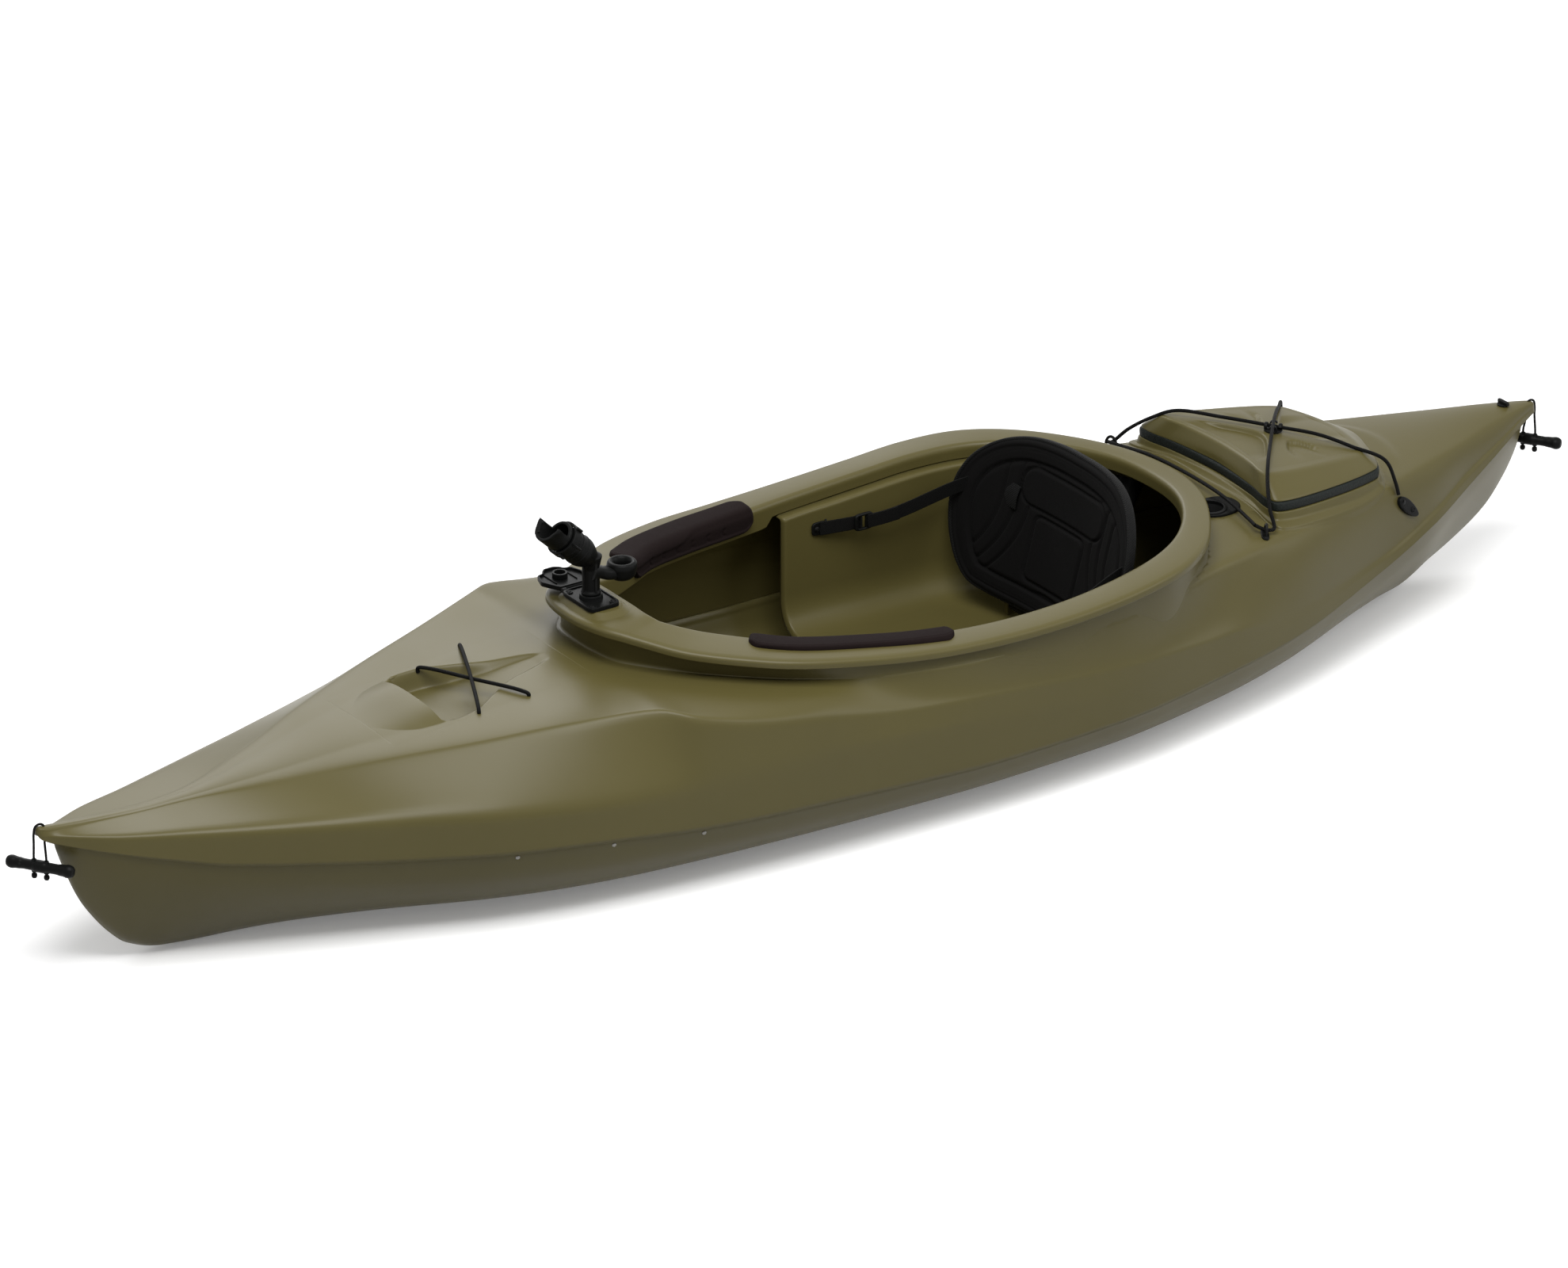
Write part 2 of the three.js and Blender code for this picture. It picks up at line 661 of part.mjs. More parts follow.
const rimInner = outlineCurve(cockpitShares, 0, 1);
const rimOuter = outlineCurve(cockpitShares, 2, 3);
const rimFoot = outlineCurve(cockpitShares, 4, 5);
const rimHeight = heightCurve(cockpitShares, 6);
const rimSteps = 44;
const loopShares = (count) => spread(count).slice(0, -1);

// Section frame at a share of the way round the rim: a point at a distance outward from the inner edge.
function rimFrame(t) {
  const [inner, outer, foot] = [rimInner, rimOuter, rimFoot].map((curve) => curve.getPoint(t));
  const outward = outer.clone().sub(inner);
  const width = outward.length();
  outward.normalize();
  const at = (distance, z) => [inner.x + outward.x * distance, inner.y + outward.y * distance, z];
  return { at, width, foot, outward, rim: rimHeight(t) };
}

function coamingSection(t) {
  const { at, width, foot, outward, rim } = rimFrame(t);
  const edge = 0.3 * rimRound;
  const sunk = deckTop(foot.x, foot.y) - sheetWall / 2;
  return [
    at(0, rim - lipDrop),
    at(0, rim - rimRound),
    at(edge, rim - edge),
    at(rimRound, rim),
    at(width / 2, rim + rimCrown),
    at(width - rimRound, rim),
    at(width - edge, rim - edge),
    at(width, rim - rimRound),
    at(width, rim - rimEdgeDrop),
    at(width - sheetWall, rim - rimEdgeDrop),
    at(width - sheetWall, rim - rimRound),
    at(width - skirtInset, rim - sheetWall),
    [foot.x, foot.y, sunk],
    [foot.x - outward.x * sheetWall, foot.y - outward.y * sheetWall, sunk],
    at(width - skirtInset - sheetWall, rim - sheetWall),
    at(sheetWall, rim - sheetWall),
    at(sheetWall, rim - lipDrop),
  ];
}

const cockpitOpening = plate(
  loopShares(rimSteps).map((t) => {
    const { foot, outward } = rimFrame(t);
    return [foot.x - outward.x * sheetWall * 0.7, foot.y - outward.y * sheetWall * 0.7];
  }),
  2 * deckHeight,
);

const rimFront = cockpitShares[0][6] * deckHeight;
const platformTop = rimFront + platformRise;
const platformX = mix(cockpitShares[0][0], cockpitShares[0][2], 0.5) * halfLength;
const platform = placed(
  plate(rounded(platformLength, platformWidth, platformRound), platformRise + sheetWall),
  [platformX, 0, rimFront - sheetWall],
);

// Foredeck recess: a basin whose floor falls towards the bow, under a low hood.
const bowlRing = (x, width, bottom, top, corner) => [
  [x, width, top], [x, width, bottom + corner], [x, width - corner, bottom],
  [x, -width + corner, bottom], [x, -width, bottom + corner], [x, -width, top],
];
function basin(wall, top) {
  const rings = recessShares.map(([at, breadth, depth], k) => {
    const x = at * halfLength + (k === 0 ? wall : k === recessShares.length - 1 ? -wall : 0);
    const width = breadth * halfBeam + wall;
    const corner = Math.min(recessCorner, width * 0.4);
    return bowlRing(x, width, deckTop(x, 0) - depth * recessDepth - wall, top, corner);
  });
  return loft(rings);
}
const hood = loft(
  hoodShares.map(([at, breadth, rise]) => {
    const x = at * halfLength;
    const width = breadth * halfBeam;
    const arc = spread(8).map((t) => {
      const s = 1 - 2 * t;
      return [x, s * width, deckTop(x, s * width) + hoodRise * rise * (1 - s ** 4) - seatingGap];
    });
    const underside = deckTop(x, width) - sheetWall;
    return [...arc, [x, -width * 0.9, underside], [x, width * 0.9, underside]];
  }),
);

// Hatch

const gasketOutline = outlineCurve(hatchShares, 0, 1);
const lidTopOutline = outlineCurve(hatchShares, 2, 3);
const hatchFront = hatchShares[0][0] * halfLength;
const hatchBack = hatchShares[hatchShares.length - 1][0] * halfLength;
const alongHatch = (x) => (hatchFront - x) / (hatchFront - hatchBack);
const landHeight = (x) => mix(landFrontShare, landBackShare, alongHatch(x)) * deckHeight;
const lidTop = (x) => mix(lidTopFrontShare, lidTopBackShare, alongHatch(x)) * deckHeight;
const hatchSteps = 34;

// Section frame round the hatch: points at a distance outward from the gasket's edge.
function hatchFrame(t) {
  const edge = gasketOutline.getPoint(t);
  const top = lidTopOutline.getPoint(t);
  const outward = edge.clone().sub(top);
  const slope = outward.length();
  outward.normalize();
  const at = (distance, height) => {
    const [x, y] = [edge.x + outward.x * distance, edge.y + outward.y * distance];
    return [x, y, height(x, y)];
  };
  return { at, slope, edge, step: mix(stepFront, stepBack, alongHatch(edge.x)) };
}

function landSection(t) {
  const { at, edge, step } = hatchFrame(t);
  const land = (up) => (x) => landHeight(x) + up;
  const foot = at(step, (x, y) => deckTop(x, y) - sheetWall / 2)[2];
  const ledge = Math.max(landHeight(edge.x) - stepDrop, foot + sheetWall);
  return [
    at(step, () => foot),
    at(step, () => ledge),
    at(ledgeOut, () => ledge),
    at(ledgeOut, land(0)),
    at(sheetWall - landWidth, land(0)),
    at(sheetWall - landWidth, land(landLip)),
    at(-landWidth, land(landLip)),
    at(-landWidth, land(-sheetWall)),
    at(step - sheetWall * 1.5, () => ledge - sheetWall),
    at(step - sheetWall, () => foot),
  ];
}

const hatchOpening = plate(
  loopShares(hatchSteps).map((t) => {
    const { at, step } = hatchFrame(t);
    return at(step - sheetWall * 0.7, () => 0).slice(0, 2);
  }),
  2 * deckHeight,
);

let deckShell = deckBody.subtract(deckHollow);
deckShell = deckShell.add(solidOf(hood));
deckShell = deckShell.add(solidOf(basin(sheetWall, deckHeight)).intersect(deckBody));
deckShell = cutBy(deckShell, basin(0, 2 * deckHeight), cockpitOpening, hatchOpening);
deckShell = deckShell.add(solidOf(hoop(loopShares(rimSteps).map(coamingSection))));
deckShell = deckShell.add(solidOf(platform));
deckShell = deckShell.add(solidOf(hoop(loopShares(hatchSteps).map(landSection))));

// Holes in the deck for what is fitted to it

const tipHoleX = halfLength - tipToHole;
const cordHole = (x) => placed(post(cordHoleWidth / 2, deckHeight, 12), [x, 0, deckHeight]);
const rodTubePlace = [rodTubeX, rodTubeY, deckTop(rodTubeX, rodTubeY)];
const rodTubeCore = (radius, from, to, side) =>
  mirrored(placed(post(radius, to - from, 16).translate(rodMouthShift, 0, (from + to) / 2), rodTubePlace,
    [0, -rodTubeTilt, 0]), side);
deckShell = cutBy(
  deckShell,
  cordHole(tipHoleX),
  cordHole(-tipHoleX),
  ...sides.map(([, side]) => rodTubeCore(rodTubeRadius + seatingGap, -deckHeight / 4, deckHeight / 4, side)),
  placed(post(plugStemRadius + seatingGap, 2 * plugStemLength, 16), [plugX, 0, deckTop(plugX, 0)]),
);

addPiece("hull_shell", hullShell, shell);
addPiece("deck_shell", deckShell, shell);

// Puts a fitting on the deck and cuts its base to the deck's shape, clear of it by the gap.
function seated(geometry, origin, normal, along = new THREE.Vector3(1, 0, 0)) {
  const up = normal.clone().normalize();
  const ahead = along.clone().addScaledVector(up, -along.dot(up)).normalize();
  const aside = up.clone().cross(ahead);
  const matrix = new THREE.Matrix4().makeBasis(ahead, aside, up).setPosition(...origin);
  const lift = up.clone().multiplyScalar(seatingGap).toArray();
  return solidOf(geometry.clone().applyMatrix4(matrix)).subtract(solidOf(placed(geometryOf(deckBody), lift)));
}

const probe = hullBeam / 200; // step for the slope of a surface
function deckNormal(x, y) {
  const slope = (dx, dy) => (deckTop(x + dx, y + dy) - deckTop(x - dx, y - dy)) / (2 * probe);
  return new THREE.Vector3(-slope(probe, 0), -slope(0, probe), 1);
}
const deckSide = (x, z) => straight(deckHalf(x).map(([y, h]) => [h, y]), z);
function sideNormal(x, z) {
  const slope = (dx, dz) => (deckSide(x + dx, z + dz) - deckSide(x - dx, z - dz)) / (2 * probe);
  return new THREE.Vector3(-slope(probe, 0), 1, -slope(0, probe));
}

// Hatch lid, gasket and crossing clip

const gasketRings = loopShares(hatchSteps).map((t) => {
  const { at } = hatchFrame(t);
  const low = (x) => landHeight(x) + seatingGap;
  const high = (x) => landHeight(x) + gasketHeight;
  return [
    at(0, (x) => low(x) + gasketRound),
    at(0, (x) => high(x) - gasketRound),
    at(-gasketRound, high),
    at(gasketRound - gasketWidth, high),
    at(-gasketWidth, (x) => high(x) - gasketRound),
    at(-gasketWidth, low),
  ];
});
const slitPlace = gasketOutline.getPoint(1 - 2.6 / (2 * hatchShares.length - 2));
const gasket = cutBy(
  solidOf(hoop(gasketRings)),
  placed(block(gasketSlit, 3 * gasketWidth, 3 * gasketHeight), [slitPlace.x, slitPlace.y, deckHeight],
    [0, 0, -12]),
);
addPiece("hatch_gasket", gasket, rubber);

const lidBottom = (x) => landHeight(x) + gasketHeight + seatingGap;
function lidRing(inset, height, shrink = 0) {
  return loopShares(hatchSteps).map((t) => {
    const { at, slope } = hatchFrame(t);
    return at(-mix(inset, slope + inset, shrink), height);
  });
}
function lidCrownRing(share, down) {
  const middleX = mix(hatchFront, hatchBack, 0.5);
  return loopShares(hatchSteps).map((t) => {
    const p = lidTopOutline.getPoint(t);
    const [x, y] = [mix(middleX, p.x, share), p.y * share];
    return [x, y, lidTop(x) + lidCrown * (1 - share ** 2) - down];
  });
}
const lidOutside = loft([
  lidRing(lidInset, lidBottom),
  lidRing(lidInset, (x) => lidBottom(x) + lidEdge),
  lidRing(lidInset + lidEdge, (x) => lidBottom(x) + lidEdge + 1.5 * sheetWall, 0),
  lidRing(0, (x) => lidTop(x) - lidRound, 0.96),
  lidCrownRing(1, 0.25 * lidRound),
  lidCrownRing(0.9, 0),
  lidCrownRing(0.5, 0),
]);
const lidInside = loft([
  lidRing(lidSeat, (x) => lidBottom(x) - cutOverrun),
  lidRing(lidSeat, (x) => lidBottom(x) + sheetWall),
  lidCrownRing(0.86, 2 * sheetWall),
  lidCrownRing(0.5, sheetWall),
]);
addPiece("hatch_lid", solidOf(lidOutside).subtract(solidOf(lidInside)), shell);

const clipZ = lidTop(clipX) + lidCrown + bungeeThickness / 4;
const clipArm = (turn) => placed(
  plate(rounded(clipLength, clipLength / 3, clipLength / 8), clipThickness), [clipX, 0, clipZ], [0, 0, turn]);
const clipCheek = (turn) => placed(
  block(clipThickness, clipLength / 3, 2 * bungeeThickness).translate(clipLength / 2.4, 0, bungeeThickness),
  [clipX, 0, clipZ], [0, 0, turn]);
addPiece(
  "bungee_clip",
  joined(
    clipArm(49), clipArm(-49), clipCheek(0), clipCheek(90), clipCheek(180), clipCheek(270),
    placed(post(clipLength / 2.2, clipThickness), [clipX, 0, clipZ + clipThickness / 2]),
  ),
  plastic,
);

// Rear deck cord: from the port cleat over the lid to the starboard pad eye, across in front of the hatch to
// the port pad eye and back over the lid to the starboard cleat. Points are shares of the half length, of the
// half beam and of the deck's height.
const lidCordHigh = clipZ + clipThickness + bungeeThickness / 2 + 4 * seatingGap;
const lidCordShares = [
  [-0.7178, 0.4539, 0.8076], [-0.7152, 0.4379, 0.8788], [-0.7073, 0.3979, 0.9939], [-0.6824, 0.2804, 1.05],
  [-0.6562, 0.1602, 1.1], [-0.584, -0.1816, 1.1394], [-0.5486, -0.3551, 1.1455], [-0.5315, -0.4459, 1.0879],
  [-0.5171, -0.5447, 0.997], [-0.5112, -0.6088, 0.9182],
];
const frontCordShares = [
  [-0.4967, -0.4806, 0.9485], [-0.5013, -0.2884, 0.9727], [-0.5039, 0, 0.9788], [-0.5013, 0.2884, 0.9727],
  [-0.4967, 0.4806, 0.9485],
];
const onHull = ([x, y, z]) => [x * halfLength, y * halfBeam, z * deckHeight];
const underEye = (side) => [
  [padEyeX, padEyeY * side, deckTop(padEyeX, padEyeY) + padEyeCord],
  [padEyeX + padEyeWidth, (padEyeY - padEyeLength / 4) * side, deckTop(padEyeX, padEyeY) + 1.8 * padEyeCord],
];
const lidCord = (side, rise) => [
  ...lidCordShares.slice(0, 5).map(([x, y, z]) => onHull([x, y * side, z])),
  [clipX, 0, lidCordHigh + rise],
  ...lidCordShares.slice(5).map(([x, y, z]) => onHull([x, y * side, z])),
  ...underEye(-side),
];
const rearCord = [
  ...lidCord(1, 0),
  ...frontCordShares.map(onHull),
  ...lidCord(-1, bungeeThickness + seatingGap).reverse(),
];
addPiece("rear_bungee", solidOf(tube(rearCord, bungeeThickness, rearCordSteps, cordSides)), cord);

// Foredeck cords, whose ends go into the deck beside the recess, in the same shares.
const foreCordShares = [
  [
    [0.4882, -0.2377, 0.9394], [0.4882, -0.2377, 0.9636], [0.4843, -0.2029, 0.9758], [0.4587, 0.024, 0.9848],
    [0.4331, 0.251, 0.9909], [0.4291, 0.2857, 0.9818], [0.4291, 0.2857, 0.9636],
  ],
  [
    [0.4226, -0.3151, 0.9636], [0.4226, -0.3151, 0.9758], [0.4272, -0.2777, 0.9939], [0.4573, -0.016, 1.0076],
    [0.4869, 0.2403, 0.9788], [0.4915, 0.2804, 0.9576], [0.4915, 0.2804, 0.9333],
  ],
];
const clearOfDeck = placed(geometryOf(deckBody), [0, 0, seatingGap]);
foreCordShares.forEach((route, i) => {
  const line = solidOf(tube(route.map(onHull), bungeeThickness, foreCordSteps, cordSides));
  addPiece("fore_bungee_" + "ab"[i], cutBy(line, clearOfDeck), cord);
});

// Pad eyes, cord cleats, drain plug

const padEye = geometryOf(
  joined(
    plate(rounded(padEyeLength, padEyeWidth, padEyeWidth / 2.2), padEyeThickness + sheetWall)
      .translate(0, 0, -sheetWall),
    tube(
      [
        [-padEyeLength / 4, 0, 0], [-padEyeLength / 4, 0, padEyeLength / 3.4], [0, 0, padEyeLength / 2],
        [padEyeLength / 4, 0, padEyeLength / 3.4], [padEyeLength / 4, 0, 0],
      ],
      padEyeLoop, 7, 7,
    ),
  ),
);
const cleatOutlineShares = [
  [0.5, 0], [0.44, 0.3], [0.25, 0.48], [0, 0.5], [-0.3, 0.36], [-0.47, 0.2], [-0.5, 0],
  [-0.47, -0.2], [-0.3, -0.36], [0, -0.5], [0.25, -0.48], [0.44, -0.3],
];
const cleat = geometryOf(
  cutBy(
    solidOf(
      plate(cleatOutlineShares.map(([a, b]) => [a * tearLength, b * tearWidth]), tearThickness + sheetWall)
        .translate(0, 0, -sheetWall),
    ),
    placed(block(tearLength / 4, 1.25 * bungeeThickness, tearThickness), [tearLength / 2, 0, tearThickness]),
    placed(post(tearWidth / 5, tearThickness, 12), [-tearLength / 8, 0, tearThickness]),
  ),
);
for (const [name, side] of sides) {
  const y = padEyeY * side;
  const eyePlace = [padEyeX, y, deckTop(padEyeX, y)];
  const eye = seated(padEye, eyePlace, deckNormal(padEyeX, y), new THREE.Vector3(0.5, 0.85 * side, 0));
  addPiece("pad_eye_" + name, eye, plastic);
  const normal = sideNormal(tearX, tearZ);
  normal.y *= side;
  const origin = [tearX, deckSide(tearX, tearZ) * side, tearZ];
  const cleatPiece = seated(cleat, origin, normal, new THREE.Vector3(0.75, 0, 0.66));
  addPiece("cord_cleat_" + name, cleatPiece, plastic);
}

const plugZ = deckTop(plugX, 0) + 4 * seatingGap;
const plugStem = plugStemLength + plugHeadHeight / 2;
const drainPlug = joined(
  placed(post(plugHeadRadius, plugHeadHeight, 20), [plugX, 0, plugZ + plugHeadHeight / 2]),
  placed(post(plugStemRadius, plugStem, 16), [plugX, 0, plugZ + plugHeadHeight / 2 - plugStemLength / 2]),
  placed(plate(rounded(plugBarWidth, plugBarLength, plugBarWidth / 2.2), plugBarHeight), [plugX, 0, plugZ]),
);
addPiece("drain_plug", drainPlug, plastic);

// Rod tubes behind the cockpit

for (const [name, side] of sides) {
  const flangeOutline = rounded(rodFlangeLength, rodFlangeWidth, rodFlangeWidth / 2.1, 5);
  const flange = plate(flangeOutline, rodFlangeThickness + sheetWall).translate(0, 0, -sheetWall);
  const place = [rodTubeX, rodTubeY * side, rodTubePlace[2]];
  const flangeSolid = seated(flange, place, deckNormal(rodTubeX, rodTubeY * side));
  const core = rodTubeCore(rodTubeRadius, -rodTubeLength, rodFlangeThickness / 2, side);
  const body = flangeSolid.add(solidOf(core));
  const bored = cutBy(body, rodTubeCore(rodTubeBore, sheetWall - rodTubeLength, rodTubeLength / 4, side));
  addPiece("rod_tube_" + name, bored, plastic);
}

// Seat pan, hung under the coaming's lip and standing on the hull floor

const rimRows = cockpitShares.slice().reverse();
const rimInnerAt = (x) => fair(rimRows, 1, x / halfLength) * halfBeam;
const rimHeightAt = (x) => fair(rimRows, 6, x / halfLength) * deckHeight;
const alongSeat = (x) => (seatFront - x) / (seatFront - seatBack);
const panTop = (x) => seatHeight - seatDip * Math.sin(alongSeat(x) * Math.PI);
const seatTop = (x) => rimHeightAt(x) - lipDrop - 4 * seatingGap;
const seatHalf = (x) => rimInnerAt(x) - seatSide;

function seatTub(wall, over, reach) {
  const rings = spread(10).map((t) => {
    const x = mix(seatBack - reach, seatFront + reach, t);
    const [w, top, low] = [seatHalf(x) + wall, seatTop(x) + over, panTop(x) - wall];
    const port = [
      [w, top], [w, low + seatCorner], [w - seatCorner * 0.3, low + seatCorner * 0.22], [w - seatCorner, low],
    ];
    return [...port, ...port.slice().reverse().map(([y, z]) => [-y, z])].map(([y, z]) => [x, y, z]);
  });
  return loft(rings);
}

// Bar of four corners through rings given as [x, inner y, outer y, low, high].
const bar = (rings) => loft(
  rings.map(([x, y0, y1, z0, z1]) => [[x, y0, z0], [x, y1, z0], [x, y1, z1], [x, y0, z1]]),
);
const seatLedge = (side) => bar(spread(8).map((t) => {
  const x = mix(seatBack, seatFront, t);
  const [inner, outer] = [seatHalf(x) + seatWall / 2, rimInnerAt(x) + seatFlange];
  return [x, inner * side, outer * side, seatTop(x) - seatWall, seatTop(x)];
}));
const standsOn = (x, y0, y1) =>
  [x, y0, y1, floorTop(x, Math.max(Math.abs(y0), Math.abs(y1))) + 2 * seatingGap, panTop(x) - seatWall / 2];
const runners = sides.map(([, side]) => {
  const ends = [(runnerPlace - runnerWidth) * side, runnerPlace * side];
  return bar([seatBack, (seatFront + seatBack) / 2, seatFront].map((x) => standsOn(x, ...ends)));
});
const riser = bar([seatFront - seatWall, seatFront].map((x) => standsOn(x, -runnerPlace, runnerPlace)));
const hingeZ = panTop(hingeX) + hingeRise;
const lugHeight = hingeRise + hingePinWidth;
const hingeLug = (side) => placed(block(2.4 * hingePinWidth, lugWidth, lugHeight + seatWall / 2),
  [hingeX, lugPlace * side, panTop(hingeX) + (lugHeight - seatWall / 2) / 2]);
const pinBar = (width, length) => placed(post(width / 2, length, 12), [hingeX, 0, hingeZ], [90, 0, 0]);
const seatPan = cutBy(
  joined(seatTub(seatWall, 0, 0)).subtract(solidOf(seatTub(0, cutOverrun, 0.001 * hullLength)))
    .add(joined(seatLedge(1), seatLedge(-1), ...runners, riser, hingeLug(1), hingeLug(-1))),
  pinBar(hingePinWidth + 2 * seatingGap, 3 * lugPlace),
);
addPiece("seat_pan", seatPan, shell);
addPiece("hinge_pin", solidOf(pinBar(hingePinWidth, 2 * lugPlace + 1.6 * lugWidth)), steel);

// Backrest: a stiff frame on the hinge pin and a quilted pad that wraps forward at its sides

const tiltSin = Math.sin(THREE.MathUtils.degToRad(backTilt));
const tiltCos = Math.cos(THREE.MathUtils.degToRad(backTilt));
function backPoint(y, rise, depth) {
  const forward = depth + backWrap * (Math.abs(y) / backHalfWidth) ** 2.4;
  return [hingeX - rise * tiltSin + forward * tiltCos, y, hingeZ + rise * tiltCos + forward * tiltSin];
}
const backWidestShare = 0.52;
function backHalf(share) {
  if (share < backWidestShare) return backHalfWidth * (1 - 0.24 * (1 - share / backWidestShare) ** 2);
  return backHalfWidth * Math.sqrt(1 - 0.74 * ((share - backWidestShare) / (1 - backWidestShare)) ** 2.6);
}
const padColumnShares = [
  -1, -0.95, -0.82, -0.67, -0.62, -0.57, -0.34, -0.12, 0.12, 0.34, 0.57, 0.62, 0.67, 0.82, 0.95, 1,
];
const padRowShares = [0, 0.03, 0.1, 0.29, 0.33, 0.37, 0.52, 0.64, 0.68, 0.72, 0.84, 0.93, 0.98, 1];
const padRowFullShares = [0.5, 0.85, 1, 1, 1, 1, 1, 1, 1, 1, 1, 0.95, 0.8, 0.5];
function padDepth(column, row, full) {
  const swell = mix(padThickness, padEdge, Math.abs(column) ** 4) * full;
  const upright = Math.abs(Math.abs(column) - 0.62) < 0.01;
  const level = (Math.abs(row - 0.33) < 0.01 || Math.abs(row - 0.68) < 0.01) && Math.abs(column) < 0.64;
  return swell - (upright || level ? channelDepth : 0);
}
function padPlace(column, row, depth) {
  const rise = padFoot + row * (backHeight - padFoot) + padArc * row ** 3 * (1 - column ** 2);
  return backPoint(column * backHalf(row), rise, depth);
}
const backPad = slab(padRowShares.map((row, k) => {
  const depth = (column) => padDepth(column, row, padRowFullShares[k]);
  const front = padColumnShares.map((column) => padPlace(column, row, depth(column)));
  return [...front, ...padColumnShares.slice().reverse().map((column) => padPlace(column, row, 0))];
}));
const barrelLong = 2 * lugPlace - lugWidth - 4 * seatingGap;
const frameColumnShares = padColumnShares.filter((column) => Math.abs(column) < 0.7);
const frameRing = (row, foot) => {
  const ring = (depth) => frameColumnShares.map((column) => {
    const apron = (column / frameColumnShares[0]) * -(barrelLong / 2 - backFrameWall);
    return foot ? backPoint(apron, 0, depth) : padPlace(column, row, depth);
  });
  return [...ring(-3 * seatingGap), ...ring(-3 * seatingGap - backFrameWall).reverse()];
};
const backFrame = slab([frameRing(0, true), ...padRowShares.slice(1, -2).map((row) => frameRing(row, false))]);
addPiece("backrest_pad", solidOf(backPad), foam);
addPiece(
  "backrest_frame",
  cutBy(
    joined(backFrame, pinBar(1.9 * hingePinWidth, barrelLong)),
    pinBar(hingePinWidth + 2 * seatingGap, 3 * lugPlace),
  ),
  plastic,
);

// Backrest straps with their anchors on the seat's side and their buckles

for (const [name, side] of sides) {
  const wallAt = (x) => seatHalf(x) - 2 * seatingGap;
  const anchorEnds = [anchorX - anchorLength / 2, anchorX + anchorLength / 2];
  const high = (half) => [strapHeight - half, strapHeight + half];
  addPiece(
    "strap_anchor_" + name,
    solidOf(bar(anchorEnds.map((x) =>
      [x, (wallAt(x) - anchorThickness) * side, wallAt(x) * side, ...high(strapWidth / 2)]))),
    plastic,
  );
  const start = wallAt(anchorX) - anchorThickness - strapThickness / 2 - seatingGap;
  const end = backPoint(backHalfWidth, backHeight * 0.62, padEdge / 2);
  const finish = backHalfWidth + strapThickness / 2 + seatingGap;
  const lineY = (x) => mix(start, finish, (anchorX - x) / (anchorX - end[0]));
  const lineZ = (x) => mix(strapHeight, end[2], smooth((buckleX - x) / (buckleX - end[0])));
  const web = (xs) => bar(xs.map((x) => [
    x, (lineY(x) - strapThickness / 2) * side, (lineY(x) + strapThickness / 2) * side,
    lineZ(x) - strapWidth / 2, lineZ(x) + strapWidth / 2,
  ]));
  const buckleEnds = [buckleX - buckleLength / 2, buckleX + buckleLength / 2];
  addPiece("strap_front_" + name, solidOf(web([buckleEnds[1] + seatingGap, anchorX])), cord);
  const rearPlaces = spread(6).map((t) => mix(end[0], buckleEnds[0] - seatingGap, t));
  addPiece("strap_rear_" + name, solidOf(web(rearPlaces)), cord);
  const frame = plate(rounded(buckleLength, buckleWidth, buckleThickness), buckleThickness)
    .translate(0, 0, -buckleThickness / 2);
  const slot = (x) => placed(block(buckleLength / 5, buckleWidth * 0.72, 2 * buckleThickness), [x, 0, 0]);
  const buckle = cutBy(solidOf(frame), slot(buckleLength / 4), slot(-buckleLength / 4));
  const place = [buckleX, lineY(buckleX) * side, strapHeight];
  addPiece("strap_buckle_" + name, solidOf(placed(geometryOf(buckle), place, [90, 0, 0])), plastic);
}

// Thigh pads, folded over the inner edge of the coaming

const thighFirst = 6;
const thighFullShares = [0.55, 1, 1, 1, 1, 0.6];
for (const [name, side] of sides) {
  const rings = thighFullShares.map((full, i) => {
    const turn = (thighFirst + i) / rimSteps;
    const { at, width, rim } = rimFrame(side > 0 ? turn : 1 - turn);
    const thick = thighPadThickness * full;
    const edge = 0.3 * rimRound;
    const skin = 2 * seatingGap;
    const under = [
      at(-skin, rim - thighPadDrop * full), at(-skin, rim - rimRound), at(edge - skin, rim - edge + skin),
      at(rimRound, rim - skin), at(width / 2, rim + rimCrown - skin),
      at(thighPadReach, rim + rimCrown - 2 * skin),
    ];
    const over = [
      at(-thick, rim - thighPadDrop * full + thick / 2), at(-thick, rim - 0.5 * thick),
      at(-0.4 * thick, rim + 0.5 * thick), at(rimRound, rim + rimCrown + 1.1 * thick),
      at(thighPadReach - thick / 4, rim + rimCrown + thick),
      at(thighPadReach + thick / 5, rim + rimCrown + thick / 2),
    ];
    return [...under, ...over.reverse()];
  });
  const clear = placed(geometryOf(deckShell), [0, -2 * seatingGap * side, seatingGap]);
  addPiece("thigh_pad_" + name, solidOf(slab(rings)).subtract(solidOf(clear)), pad);
}

// Rod holder on the platform

